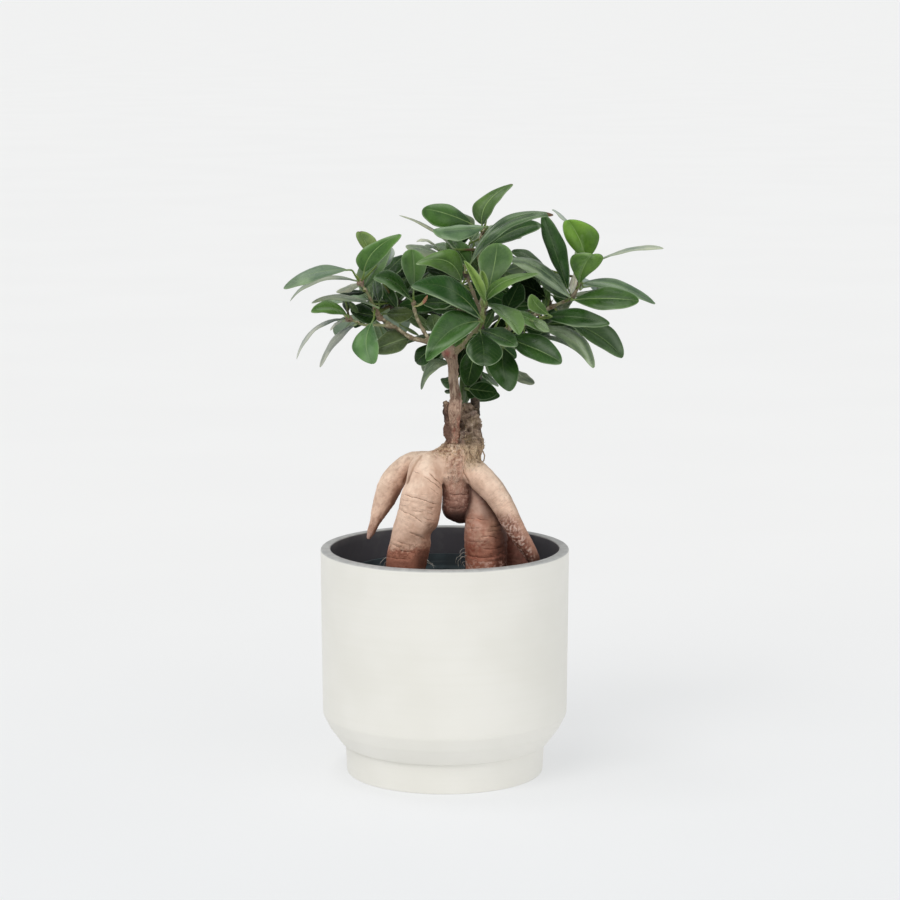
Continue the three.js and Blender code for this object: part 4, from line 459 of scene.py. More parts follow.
def lathe(profile, segments):
    """A closed turned mesh from (r, z) rows, from the axis round to the axis."""
    prof = np.asarray(profile, float)
    ang = np.arange(segments) / segments * 2 * np.pi
    verts, rows = [], []
    for r, z in prof:
        if r < 1e-6:
            rows.append([len(verts)])
            verts.append([0, 0, z])
        else:
            rows.append(list(range(len(verts), len(verts) + segments)))
            verts += [[r * math.cos(a), r * math.sin(a), z] for a in ang]
    faces = []
    for a, b in zip(rows[:-1], rows[1:]):
        for j in range(segments):
            k = (j + 1) % segments
            if len(a) == 1 and len(b) > 1:
                faces.append([a[0], b[k], b[j]])
            elif len(b) == 1 and len(a) > 1:
                faces.append([a[j], a[k], b[0]])
            elif len(a) > 1:
                faces.append([a[j], a[k], b[k], b[j]])
    return np.array(verts), faces


def filleted(corners, near=0.35):
    """(r, z, fillet) corners to a fine profile with rounded corners and steps no longer than about 4 mm."""
    pts = np.array([c[:2] for c in corners], float)
    out = [pts[0]]
    for k in range(1, len(pts) - 1):
        p, a, b, f = pts[k], pts[k - 1], pts[k + 1], corners[k][2]
        if f <= 0:
            out.append(p)
            continue
        da, db = unit(a - p), unit(b - p)
        angle = math.acos(float(np.clip(np.dot(da, db), -1, 1)))
        cut = min(f / math.tan(angle / 2) if angle < 3.1 else f * 0.3, 0.48 * np.linalg.norm(a - p), 0.48 * np.linalg.norm(b - p))
        s, e = p + da * cut, p + db * cut
        n = max(3, int(round((math.pi - angle) / 0.18)))
        for t in np.linspace(0, 1, n):
            out.append((1 - t) ** 2 * s + 2 * t * (1 - t) * p + t * t * e)
    out.append(pts[-1])
    fine = [out[0]]
    for a, b in zip(out[:-1], out[1:]):
        n = max(1, int(np.linalg.norm(b - a) / 4))
        for k in range(1, n + 1):
            fine.append(a + (b - a) * k / n)
    return np.array(fine)


def remeshed(name, parts, voxel):
    """One skin round overlapping closed parts. Returns verts (mm) and faces."""
    v, f, _ = merge([(p[0], p[1], {}) for p in parts])
    ob = new_mesh(name + "_raw", v, f)
    mod = ob.modifiers.new("skin", "REMESH")
    mod.mode, mod.voxel_size, mod.adaptivity = "VOXEL", voxel * MM, 0.0
    dg = bpy.context.evaluated_depsgraph_get()
    me = bpy.data.meshes.new_from_object(ob.evaluated_get(dg))
    co = np.zeros(len(me.vertices) * 3)
    me.vertices.foreach_get("co", co)
    quads = [list(p.vertices) for p in me.polygons]
    old = ob.data
    bpy.data.objects.remove(ob)
    bpy.data.meshes.remove(old)
    bpy.data.meshes.remove(me)
    return co.reshape(-1, 3) / MM, quads


def largest_body(v, f):
    """Drops any small loose bodies, keeping the largest."""
    n = len(v)
    lab = np.arange(n)
    e = edges_of(f)
    for _ in range(400):
        low = np.minimum(lab[e[:, 0]], lab[e[:, 1]])
        new = lab.copy()
        np.minimum.at(new, e[:, 0], low)
        np.minimum.at(new, e[:, 1], low)
        new = new[new]
        if (new == lab).all():
            break
        lab = new
    ids, count = np.unique(lab, return_counts=True)
    keep = lab == ids[np.argmax(count)]
    index = np.cumsum(keep) - 1
    faces = [[int(index[k]) for k in face] for face in f if keep[face[0]]]
    return v[keep], faces


def edges_of(f):
    q = np.array([list(x) + [x[-1]] * (4 - len(x)) for x in f])
    e = np.vstack([q[:, [0, 1]], q[:, [1, 2]], q[:, [2, 3]], q[:, [3, 0]]])
    e.sort(axis=1)
    e = e[e[:, 0] != e[:, 1]]
    return np.unique(e, axis=0)


def relax(v, e, rounds, weight=None, lam=0.5, mu=-0.52):
    """Smoothing that keeps the volume."""
    n = len(v)
    count = np.bincount(e[:, 0], minlength=n) + np.bincount(e[:, 1], minlength=n)
    w = 1.0 if weight is None else weight[:, None]
    for k in range(rounds):
        for factor in (lam, mu):
            total = np.zeros_like(v)
            for ax in range(3):
                total[:, ax] = np.bincount(e[:, 0], v[e[:, 1], ax], n) + np.bincount(e[:, 1], v[e[:, 0], ax], n)
            v = v + factor * w * (total / count[:, None] - v)
    return v


def blur(x, e, rounds):
    n = len(x)
    count = np.bincount(e[:, 0], minlength=n) + np.bincount(e[:, 1], minlength=n)
    for k in range(rounds):
        x = 0.5 * x + 0.5 * (np.bincount(e[:, 0], x[e[:, 1]], n) + np.bincount(e[:, 1], x[e[:, 0]], n)) / count
    return x


def normals_of(v, f):
    q = np.array([list(x) + [x[-1]] * (4 - len(x)) for x in f])
    fn = np.cross(v[q[:, 2]] - v[q[:, 0]], v[q[:, 3]] - v[q[:, 1]])
    n = np.zeros_like(v)
    for k in range(4):
        for ax in range(3):
            n[:, ax] += np.bincount(q[:, k], fn[:, ax], len(v))
    return unit(n)


def chain_distance(v, chain, reach=16.0):
    """Distance from points to a tapered limb's skin, how far along it and the angle round it. Far points get a large number."""
    c = curve_points(chain, 3.0)
    lo, hi = c[:, :3].min(0) - c[:, 3].max() - reach, c[:, :3].max(0) + c[:, 3].max() + reach
    near = np.where(((v > lo) & (v < hi)).all(1))[0]
    d = np.full(len(v), 1e3)
    s = np.zeros(len(v))
    g = np.zeros(len(v))
    if not len(near):
        return d, s, g
    p = v[near]
    best = np.full(len(p), 1e9)
    where, seg = np.zeros(len(p)), np.zeros(len(p), int)
    length = np.concatenate([[0], np.cumsum(np.linalg.norm(np.diff(c[:, :3], axis=0), axis=1))])
    for k in range(len(c) - 1):
        a, b = c[k, :3], c[k + 1, :3]
        ab = b - a
        t = np.clip((p - a) @ ab / max(ab @ ab, 1e-9), 0, 1)
        dist = np.linalg.norm(p - a - t[:, None] * ab, axis=1) - (c[k, 3] + t * (c[k + 1, 3] - c[k, 3]))
        better = dist < best
        best[better] = dist[better]
        where[better] = (length[k] + t * (length[k + 1] - length[k]))[better]
        seg[better] = k
    tt, nn, bb = frames(c[:, :3])
    rel = p - c[seg, :3]
    d[near], s[near] = best, where
    g[near] = np.arctan2((rel * bb[seg]).sum(1), (rel * nn[seg]).sum(1))
    return d, s, g


def smin(a, b, k):
    h = np.clip(0.5 + 0.5 * (b - a) / k, 0, 1)
    return b + (a - b) * h - k * h * (1 - h)


# ------------------------------------------------------------------------------------------------ materials
class Graph:
    """A material's node tree, written as expressions."""

    def __init__(self, name):
        self.mat = bpy.data.materials.new(name)
        self.mat.use_nodes = True
        self.tree = self.mat.node_tree
        self.tree.nodes.clear()
        self.bsdf = self.node("ShaderNodeBsdfPrincipled")
        out = self.node("ShaderNodeOutputMaterial")
        self.tree.links.new(self.bsdf.outputs[0], out.inputs[0])

    def node(self, kind, props=None, **inputs):
        n = self.tree.nodes.new(kind)
        for k, v in (props or {}).items():
            setattr(n, k, v)
        for k, v in inputs.items():
            self.put(n.inputs[int(k[1:])] if k[0] == "i" and k[1:].isdigit() else n.inputs[k.replace("_", " ")], v)
        return n

    def put(self, socket, value):
        if isinstance(value, bpy.types.NodeSocket):
            self.tree.links.new(value, socket)
        elif socket.type == "RGBA":
            socket.default_value = tuple(float(c) for c in value[:3]) + (1.0,)
        elif hasattr(socket.default_value, "__len__"):
            socket.default_value = tuple(float(c) for c in value)
        else:
            socket.default_value = float(value)

    def set(self, **inputs):
        for k, v in inputs.items():
            self.put(self.bsdf.inputs[k.replace("_", " ")], v)

    def attr(self, name):
        return self.node("ShaderNodeAttribute", {"attribute_name": name})

    def math(self, op, a, b=0.0, c=0.0, clamp=False):
        return self.node("ShaderNodeMath", {"operation": op, "use_clamp": clamp}, i0=a, i1=b, i2=c).outputs[0]

    def step(self, x, low, high, a=0.0, b=1.0):
        """Smooth step of x from low to high, giving a to b."""
        n = self.node("ShaderNodeMapRange", {"interpolation_type": "SMOOTHSTEP"}, i0=x, i1=low, i2=high, i3=a, i4=b)
        return n.outputs[0]

    def mix(self, f, a, b, how="MIX"):
        n = self.node("ShaderNodeMix", {"data_type": "RGBA", "blend_type": how}, i0=f, i6=a, i7=b)
        return n.outputs[2]

    def where(self):
        return self.node("ShaderNodeTexCoord").outputs["Object"]

    def stretched(self, v, x, y, z):
        return self.node("ShaderNodeVectorMath", {"operation": "MULTIPLY"}, i0=v, i1=(x, y, z)).outputs[0]

    def noise(self, v, scale, detail=3.0, rough=0.55, twist=0.0):
        return self.node("ShaderNodeTexNoise", None, Vector=v, Scale=scale, Detail=detail, Roughness=rough, Distortion=twist).outputs[0]

    def cells(self, v, scale, feature="F1", spread=1.0):
        return self.node("ShaderNodeTexVoronoi", {"feature": feature}, Vector=v, Scale=scale, Randomness=spread).outputs["Distance"]

    def bump(self, height, strength, distance, normal=None):
        n = self.node("ShaderNodeBump", None, Strength=strength, Distance=distance, Height=height)
        if normal is not None:
            self.put(n.inputs["Normal"], normal)
        return n.outputs[0]


def leaf_material():
    g = Graph("leaf_blade")
    uv = g.node("ShaderNodeSeparateXYZ", None, i0=g.node("ShaderNodeUVMap", {"uv_map": "UVMap"}).outputs[0])
    u, v = uv.outputs[0], uv.outputs[1]
    across = g.math("MULTIPLY", g.math("ABSOLUTE", g.math("SUBTRACT", v, 0.5)), 2.0)
    half = g.attr("hw").outputs["Fac"]
    to_rib = g.math("MULTIPLY", across, half)
    to_edge = g.math("MULTIPLY", g.math("SUBTRACT", 1.0, across), half)
    stalk, under = g.attr("stalk").outputs["Fac"], g.attr("under").outputs["Fac"]
    blade = g.math("SUBTRACT", 1.0, stalk, clamp=True)
    rib = g.math("MULTIPLY", g.math("MULTIPLY", g.step(to_rib, 0.12, 0.42, 1.0, 0.0), blade), g.step(u, 0.55, 0.97, 1.0, 0.2))
    edge = g.math("MULTIPLY", g.step(to_edge, 0.16, 0.80, 1.0, 0.0), blade)
    turn = g.math("FRACT", g.attr("vein").outputs["Fac"])
    line = g.step(g.math("ABSOLUTE", g.math("SUBTRACT", turn, 0.5)), 0.02, 0.12, 1.0, 0.0)
    turn2 = g.math("FRACT", g.math("MULTIPLY", g.attr("vein").outputs["Fac"], 3.0))
    line2 = g.step(g.math("ABSOLUTE", g.math("SUBTRACT", turn2, 0.5)), 0.05, 0.3, 1.0, 0.0)
    inner = g.math("MULTIPLY", g.step(to_edge, 0.7, 1.8), blade)
    vein = g.math("MULTIPLY", line, inner)
    net = g.math("MULTIPLY", line2, inner)
    at = g.where()
    broad = g.noise(at, 48, 2)
    mid = g.noise(at, 240, 3)
    fine = g.noise(at, 1900, 3)
    tint = g.attr("tint").outputs["Color"]
    col = g.mix(g.step(broad, 0.34, 0.66), g.mix(1.0, tint, (0.62, 0.68, 0.66), "MULTIPLY"), g.mix(1.0, tint, (1.34, 1.28, 1.14), "MULTIPLY"))
    col = g.mix(g.step(mid, 0.45, 0.75, 0.0, 0.35), col, g.mix(1.0, tint, (1.42, 1.34, 1.1), "MULTIPLY"))
    # painted shade near the stalk and in the hollow along the midrib, and a painted highlight on the raised halves
    # towards the tip
    col = g.mix(g.step(u, 0.0, 0.42, 0.55, 0.0), col, g.mix(1.0, tint, (0.50, 0.58, 0.58), "MULTIPLY"))
    col = g.mix(g.step(to_rib, 0.4, 2.4, 0.26, 0.0), col, g.mix(1.0, tint, (0.58, 0.66, 0.62), "MULTIPLY"))
    col = g.mix(g.math("MULTIPLY", g.step(to_edge, 0.8, 3.2, 0.35, 0.0), g.step(u, 0.2, 0.6)), col, g.mix(1.0, tint, (1.6, 1.48, 1.3), "MULTIPLY"))
    # painted sheen: pale streaks lengthwise, on the leaves that have them
    streak_at = g.node("ShaderNodeCombineXYZ", None, i0=g.math("MULTIPLY", u, 2.2), i1=g.math("MULTIPLY", v, 26.0), i2=g.math("MULTIPLY", g.attr("seed").outputs["Fac"], 7.0)).outputs[0]
    streak = g.math("MULTIPLY", g.step(g.noise(streak_at, 1.0, 3), 0.52, 0.7), g.attr("streak").outputs["Fac"])
    col = g.mix(g.math("MULTIPLY", streak, 0.7), col, linear(186, 198, 172))
    pale = g.mix(0.5, tint, linear(150, 176, 96))
    seen = g.step(g.noise(at, 90, 2), 0.35, 0.65, 0.25, 1.0)
    col = g.mix(g.math("MULTIPLY", g.math("MULTIPLY", net, seen), 0.07), col, pale)
    col = g.mix(g.math("MULTIPLY", g.math("MULTIPLY", vein, seen), 0.15), col, pale)
    col = g.mix(g.math("MULTIPLY", rib, g.attr("riblight").outputs["Fac"], clamp=True), col, g.mix(0.6, g.mix(1.0, tint, (1.8, 1.7, 1.6), "MULTIPLY"), linear(164, 190, 126)))
    # the underside is paler and duller
    light_under = g.attr("palelow").outputs["Fac"]
    low = g.mix(light_under, tint, linear(112, 136, 88))
    low = g.mix(g.math("MULTIPLY", vein, g.math("MULTIPLY", light_under, 0.6)), low, linear(150, 168, 116))
    low = g.mix(g.math("MULTIPLY", rib, g.math("MULTIPLY", light_under, 1.0)), low, linear(160, 176, 120))
    col = g.mix(under, col, low)
    # painted sheen and painted shade: lengthwise painted highlights and shades on the waxy blade
    sheen = g.math("ADD", g.attr("sheen").outputs["Fac"], g.math("MULTIPLY", g.math("SUBTRACT", g.noise(at, 420, 3), 0.5), 0.10))
    col = g.mix(g.math("MULTIPLY", g.math("MAXIMUM", sheen, 0.0), 0.85, clamp=True), col, g.mix(0.5, g.mix(1.0, tint, (2.0, 1.85, 1.9), "MULTIPLY"), linear(186, 198, 176)))
    col = g.mix(g.math("MULTIPLY", g.math("MAXIMUM", g.math("MULTIPLY", sheen, -1.0), 0.0), 0.90, clamp=True), col, g.mix(1.0, tint, (0.30, 0.37, 0.37), "MULTIPLY"))
    # the leaf's own pale margin, made brighter by painted highlights and dimmer in painted shade through the edge
    # attribute
    col = g.mix(g.math("MULTIPLY", edge, g.attr("edge").outputs["Fac"]), col, linear(166, 186, 146))
    # a scorched or dried tip where a leaf has one
    burnt = g.attr("burn").outputs["Fac"]
    burnt = g.step(g.math("ADD", burnt, g.math("MULTIPLY", g.math("SUBTRACT", mid, 0.5), 0.5)), 0.45, 0.6)
    col = g.mix(burnt, col, linear(92, 68, 42))
    # tiny pale specks
    speck = g.step(g.cells(at, 900), 0.03, 0.11, 0.22, 0.0)
    col = g.mix(g.math("MULTIPLY", speck, blade), col, linear(170, 186, 140))
    # stalks go from brown at the twig to green at the blade
    stem = g.mix(g.attr("wood").outputs["Fac"], linear(112, 134, 66), linear(96, 74, 52))
    stem = g.mix(g.step(mid, 0.35, 0.7, 0.0, 0.5), stem, linear(84, 96, 50))
    col = g.mix(stalk, col, stem)
    rough = g.math("ADD", g.step(mid, 0.3, 0.75, 0.24, 0.36), g.math("MULTIPLY", under, 0.2))
    rough = g.math("ADD", rough, g.math("MULTIPLY", g.math("ADD", burnt, stalk), 0.15))
    height = g.math("ADD", g.math("MULTIPLY", fine, 0.10), g.math("MULTIPLY", mid, 0.35))
    height = g.math("SUBTRACT", height, g.math("MULTIPLY", vein, 0.30))
    height = g.math("SUBTRACT", height, g.math("MULTIPLY", net, 0.10))
    height = g.math("SUBTRACT", height, g.math("MULTIPLY", rib, 0.55))
    g.set(Base_Color=col, Roughness=rough, Normal=g.bump(height, 0.45, 0.00035), IOR=1.45,
          Specular_IOR_Level=g.math("MULTIPLY", g.attr("shine").outputs["Fac"], 0.34))
    return g.mat


def bark_material(name, grain=1.0, fibre=1.0, rough=0.6, spots=1.0, gloss=0.35):
    """Bark that takes its broad colour from the mesh and adds pores, wrinkles, fibres and splits. The mesh gives its place
    along and round each limb (mm) and the signed distance (mm) to the nearest split, so that these stay crisp."""
    g = Graph(name)
    at = g.where()
    skin = g.attr("skin").outputs["Color"]
    limb = g.attr("limb").outputs["Vector"]
    groove, coarse = g.attr("groove").outputs["Fac"], g.attr("coarse").outputs["Fac"]
    split, deep = g.attr("split").outputs["Fac"], g.attr("splitw").outputs["Fac"]
    broad, mid, fine, tiny = g.noise(at, 110, 3), g.noise(at, 420, 4), g.noise(at, 1300, 4), g.noise(at, 3200, 3)
    worn = g.math("SUBTRACT", 1.0, g.attr("worn").outputs["Fac"], clamp=True)
    smoothy = g.math("MULTIPLY", g.math("SUBTRACT", 1.0, coarse, clamp=True), worn)
    wander = g.noise(at, 900, 3)
    rings = g.noise(g.stretched(limb, 0.22, 0.22, 1.9), 1.0, 4, 0.65, 0.5)
    wide_rings = g.noise(g.stretched(limb, 0.10, 0.10, 0.62), 1.0, 3, 0.6, 0.6)
    strands = g.noise(g.stretched(limb, 1.5, 1.5, 0.15), 1.0, 4, 0.65, 0.6)
    hairs = g.noise(g.stretched(at, 1900, 1900, 260), 1.0, 3, 0.6, 1.2)

    def times(rgb):
        return g.mix(1.0, skin, rgb, "MULTIPLY")

    col = g.mix(g.step(broad, 0.3, 0.7, 0.0, 1.0), times((0.88, 0.84, 0.81)), times((1.10, 1.09, 1.08)))
    col = g.mix(g.step(mid, 0.42, 0.74, 0.0, 0.40), col, times((0.72, 0.63, 0.57)))
    col = g.mix(g.step(strands, 0.50, 0.72, 0.0, 0.45 * fibre), col, times((0.52, 0.44, 0.38)))
    col = g.mix(g.step(strands, 0.30, 0.46, 0.40 * fibre, 0.0), col, times((1.35, 1.33, 1.30)))
    ring_dark = g.math("MULTIPLY", g.step(rings, 0.53, 0.70, 0.0, 0.50 * grain), smoothy)
    col = g.mix(ring_dark, col, times((0.58, 0.47, 0.40)))
    col = g.mix(g.math("MULTIPLY", g.step(rings, 0.28, 0.44, 0.32 * grain, 0.0), smoothy), col, times((1.24, 1.22, 1.20)))
    # fine wrinkles: thin dark lines where a slow noise crosses its middle
    wrinkle = g.math("MULTIPLY", g.step(g.math("ABSOLUTE", g.math("SUBTRACT", wide_rings, 0.5)), 0.006, 0.022, 1.0, 0.0), g.step(g.noise(at, 70, 2), 0.42, 0.62, 0.0, 0.55 * grain))
    wrinkle = g.math("MULTIPLY", wrinkle, smoothy)
    col = g.mix(wrinkle, col, times((0.42, 0.32, 0.26)))
    # pores: short pale and dark dashes across the limb
    pale = g.step(g.cells(g.stretched(limb, 0.42, 0.42, 1.0), 1.0), 0.06, 0.16, 0.55 * spots, 0.0)
    dark = g.step(g.cells(g.stretched(limb, 0.34, 0.34, 1.45), 1.0), 0.07, 0.17, 0.75 * spots, 0.0)
    col = g.mix(g.math("MULTIPLY", pale, smoothy), col, times((1.38, 1.36, 1.32)))
    col = g.mix(g.math("MULTIPLY", dark, worn), col, times((0.45, 0.36, 0.30)))
    # rough places: crumbled bark and hair-like fibres
    crumbs = g.step(fine, 0.40, 0.62)
    col = g.mix(g.math("MULTIPLY", crumbs, g.math("MULTIPLY", coarse, 0.62)), col, times((0.40, 0.33, 0.27)))
    col = g.mix(g.math("MULTIPLY", g.step(tiny, 0.56, 0.70), g.math("MULTIPLY", coarse, 0.55)), col, times((1.75, 1.65, 1.5)))
    col = g.mix(g.math("MULTIPLY", g.step(hairs, 0.53, 0.68), g.math("MULTIPLY", coarse, 0.55)), col, times((0.36, 0.28, 0.22)))
    col = g.mix(g.math("MULTIPLY", g.step(hairs, 0.32, 0.45, 1.0, 0.0), g.math("MULTIPLY", coarse, 0.45)), col, times((1.6, 1.55, 1.45)))
    # painted shade in the crevices, seams and fibre gaps that the groove mask marks
    col = g.mix(groove, col, times((0.20, 0.14, 0.11)))
    # splits: a thin dark line of painted shade, with a painted highlight on the raised paler lip
    away = g.math("ABSOLUTE", g.math("ADD", split, g.math("MULTIPLY", g.math("SUBTRACT", wander, 0.5), 0.55)))
    # the splits open and close along their run
    gaps = g.step(g.noise(at, 620, 3), 0.36, 0.56, 0.25, 1.0)
    line = g.math("MULTIPLY", g.math("MULTIPLY", g.step(away, 0.06, 0.34, 1.0, 0.0), deep), gaps)
    lip = g.math("MULTIPLY", g.math("MULTIPLY", g.step(away, 0.30, 0.50), g.step(away, 0.6, 1.1, 1.0, 0.0)), deep)
    col = g.mix(g.math("MULTIPLY", lip, 0.35), col, times((1.22, 1.18, 1.16)))
    col = g.mix(line, col, times((0.30, 0.19, 0.14)))
    height = g.math("ADD", g.math("MULTIPLY", fine, 0.20), g.math("MULTIPLY", mid, 0.40))
    height = g.math("ADD", height, g.math("MULTIPLY", g.math("MULTIPLY", rings, smoothy), 0.55 * grain))
    height = g.math("SUBTRACT", height, g.math("MULTIPLY", wrinkle, 0.5))
    height = g.math("SUBTRACT", height, g.math("MULTIPLY", strands, 0.55 * fibre))
    height = g.math("ADD", height, g.math("MULTIPLY", g.math("SUBTRACT", pale, dark), 0.12))
    height = g.math("SUBTRACT", height, g.math("MULTIPLY", g.math("ADD", crumbs, hairs), g.math("MULTIPLY", coarse, 0.9)))
    height = g.math("SUBTRACT", height, g.math("MULTIPLY", line, 1.1))
    g.set(Base_Color=col, Roughness=g.math("ADD", g.step(mid, 0.3, 0.7, rough - 0.06, rough + 0.08), g.math("MULTIPLY", groove, 0.2)),
          Normal=g.bump(height, 0.65, 0.0006), Specular_IOR_Level=gloss)
    return g.mat


def pot_material():
    g = Graph("pot_glaze")
    at = g.where()
    inside, rim = g.attr("inside").outputs["Fac"], g.attr("rim").outputs["Fac"]
    broad, mid, fine = g.noise(at, 18, 2), g.noise(at, 160, 3), g.noise(at, 1400, 3)
    throw = g.noise(g.stretched(at, 6, 6, 420), 1.0, 2)
    col = g.mix(g.step(broad, 0.3, 0.7), linear(232, 230, 222), linear(237, 235, 228))
    col = g.mix(g.step(throw, 0.45, 0.7, 0.0, 0.12), col, linear(229, 227, 217))
    speck = g.step(g.cells(at, 135), 0.010, 0.022, 0.75, 0.0)
    col = g.mix(g.math("MULTIPLY", speck, g.step(mid, 0.5, 0.62)), col, linear(176, 172, 156))
    grey = g.mix(g.step(mid, 0.35, 0.65), linear(170, 170, 169), linear(186, 186, 184))
    char = g.mix(g.step(broad, 0.3, 0.7), linear(84, 83, 89), linear(95, 94, 100))
    char = g.mix(g.step(mid, 0.5, 0.7, 0.0, 0.4), char, linear(102, 102, 105))
    col = g.mix(rim, col, grey)
    col = g.mix(inside, col, char)
    rough = g.math("ADD", g.step(mid, 0.3, 0.7, 0.40, 0.47), g.math("MULTIPLY", rim, 0.1))
    height = g.math("ADD", g.math("MULTIPLY", throw, 0.5), g.math("ADD", g.math("MULTIPLY", mid, 0.35), g.math("MULTIPLY", fine, 0.10)))
    g.set(Base_Color=col, Roughness=rough, Normal=g.bump(height, 0.06, 0.0005), Specular_IOR_Level=0.4)
    return g.mat


def plastic_material():
    g = Graph("inner_pot_plastic")
    at = g.where()
    mid, fine = g.noise(at, 180, 3), g.noise(at, 2200, 3)
    scuff = g.noise(g.stretched(at, 60, 60, 700), 1.0, 3)
    col = g.mix(g.step(mid, 0.35, 0.7), linear(48, 61, 67), linear(59, 74, 80))
    col = g.mix(g.step(scuff, 0.58, 0.75, 0.0, 0.5), col, linear(80, 94, 99))
    col = g.mix(g.step(g.cells(at, 420), 0.05, 0.12, 0.5, 0.0), col, linear(70, 60, 48))
    height = g.math("ADD", g.math("MULTIPLY", fine, 0.2), g.math("MULTIPLY", scuff, 0.4))
    g.set(Base_Color=col, Roughness=g.step(mid, 0.3, 0.7, 0.38, 0.52), Normal=g.bump(height, 0.2, 0.0003))
    return g.mat


def soil_material():
    g = Graph("potting_soil")
    at = g.where()
    tone = g.attr("crumb").outputs["Fac"]
    mid, fine = g.noise(at, 300, 4), g.noise(at, 1500, 4)
    col = g.mix(tone, linear(38, 28, 22), linear(96, 74, 54))
    col = g.mix(g.step(mid, 0.4, 0.7, 0.0, 0.7), col, linear(58, 42, 31))
    col = g.mix(g.step(fine, 0.55, 0.75, 0.0, 0.6), col, linear(24, 18, 15))
    height = g.math("ADD", g.math("MULTIPLY", fine, 0.6), mid)
    g.set(Base_Color=col, Roughness=g.step(mid, 0.3, 0.7, 0.85, 0.98), Normal=g.bump(height, 0.8, 0.0009), Specular_IOR_Level=0.2)
    return g.mat


def floor_material():
    """A pale sheet lit partly from below, so that shadows on it stay faint."""
    g = Graph("stage_floor")
    at = g.where()
    across = g.node("ShaderNodeSeparateXYZ", None, i0=at).outputs[1]
    near = g.step(across, -0.9, 0.9, 1.0, 0.0)
    glow = g.mix(near, (0.489, 0.490, 0.488), (0.458, 0.470, 0.483))
    grain = g.noise(at, 3, 2)
    col = g.mix(g.step(grain, 0.3, 0.7), (0.395, 0.395, 0.395), (0.405, 0.405, 0.405))
    g.set(Base_Color=col, Roughness=0.9, Specular_IOR_Level=0.0, Emission_Color=glow, Emission_Strength=1.0)
    return g.mat


def paint(ob, mat):
    ob.data.materials.clear()
    ob.data.materials.append(mat)


# ------------------------------------------------------------------------------------------------ cachepot
def build_cachepot():
    corners = [(0, 0, 0), (59.6, 0, 1.0), (60.6, 18.3, 0.7), (63.2, 19.0, 0.9), (70.2, 28.6, 4), (74.15, 36.6, 4.5),
               (75, 137.7, 1.8), (69, 137.7, 1.1), (68.4, 90, 6), (67.6, 42, 8), (58.5, 21, 6), (55.5, 8, 4.5), (0, 8, 0)]
    prof = filleted(corners)
    v, f = lathe(prof, 180)
    r = np.hypot(v[:, 0], v[:, 1])
    ang = np.arctan2(v[:, 1], v[:, 0])
    # the body is a hair out of round and its glaze edge wanders a little
    wave = 0.10 * np.sin(2 * ang + 0.7) + 0.05 * np.sin(5 * ang)
    grow = smooth(30, 60, v[:, 2]) * smooth(50, 60, r)
    v[:, 0] += np.cos(ang) * wave * grow
    v[:, 1] += np.sin(ang) * wave * grow
    drift = 0.22 * fbm(np.c_[np.cos(ang) * 4, np.sin(ang) * 4, ang * 0], 3, 5)
    z = v[:, 2]
    inner = (r < np.interp(z, [8, 18.3, 19, 28.6, 36.6, 42, 138], [58.9, 59.5, 60.8, 66, 70, 71.5, 72.4])) & (z > 7)
    inside = np.where(inner, smooth(69.35, 68.95, r + drift * 0.5), 0.0)
    inside = np.maximum(inside, np.where(inner & (z < 136.0), 1.0, 0.0))
    rim = np.where(z > 134, smooth(136.3, 137.1, z + drift), 0.0) * (1 - inside)
    ob = new_mesh("cachepot_ceramic", v, f, [("inside", inside), ("rim", rim)])
    paint(ob, pot_material())
    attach(ob, "root")
    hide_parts("cachepot")
    return ob


def build_nursery_pot():
    top, floor = 122.3, 8.35

    def wall(z):
        return 45 + 12.6 * (z - floor) / (top - floor)

    corners = [(0, floor, 0), (44.2, floor, 0.6), (wall(top - 9), top - 9, 0.3), (59.1, top - 8.2, 0.3), (60, top - 0.9, 0.4), (59.5, top, 0.3),
               (58.6, top, 0.3), (57.8, top - 7, 0.3), (wall(top - 9) - 1.2, top - 8.6, 0.3), (43.2, floor + 1.2, 0.5), (0, floor + 1.2, 0)]
    v, f = lathe(filleted(corners), 144)
    ang = np.arctan2(v[:, 1], v[:, 0])
    # shallow flutes down the wall
    r = np.hypot(v[:, 0], v[:, 1])
    body = smooth(top - 12, top - 18, v[:, 2]) * smooth(floor + 3, floor + 10, v[:, 2])
    flute = 0.12 * np.cos(24 * ang) * body
    v[:, 0] += np.cos(ang) * flute
    v[:, 1] += np.sin(ang) * flute
    ob = new_mesh("nursery_pot_plastic", v, f)
    # drain holes
    cutters = []
    for k in range(7):
        a, rr = k / 6 * 2 * math.pi, (0 if k == 6 else 30)
        cv, cf, _, _ = tube([[rr * math.cos(a), rr * math.sin(a), floor - 3, 4], [rr * math.cos(a), rr * math.sin(a), floor + 4, 4]], 20, None, (False, False))
        cutters.append((cv, cf, {}))
    cv, cf, _ = merge(cutters)
    cut = new_mesh("drain_cutters", cv, cf)
    mod = ob.modifiers.new("drain", "BOOLEAN")
    mod.operation, mod.solver, mod.object = "DIFFERENCE", "EXACT", cut
    me = bpy.data.meshes.new_from_object(ob.evaluated_get(bpy.context.evaluated_depsgraph_get()))
    ob.modifiers.clear()
    old, ob.data = ob.data, me
    bpy.data.meshes.remove(old)
    bpy.data.objects.remove(cut)
    paint(ob, plastic_material())
    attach(ob, "root")
    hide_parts("nursery_pot")
    return ob


# ------------------------------------------------------------------------------------------------ soil
LEG_NAMES = ["left_leg", "right_root", "right_leg", "back_leg"]


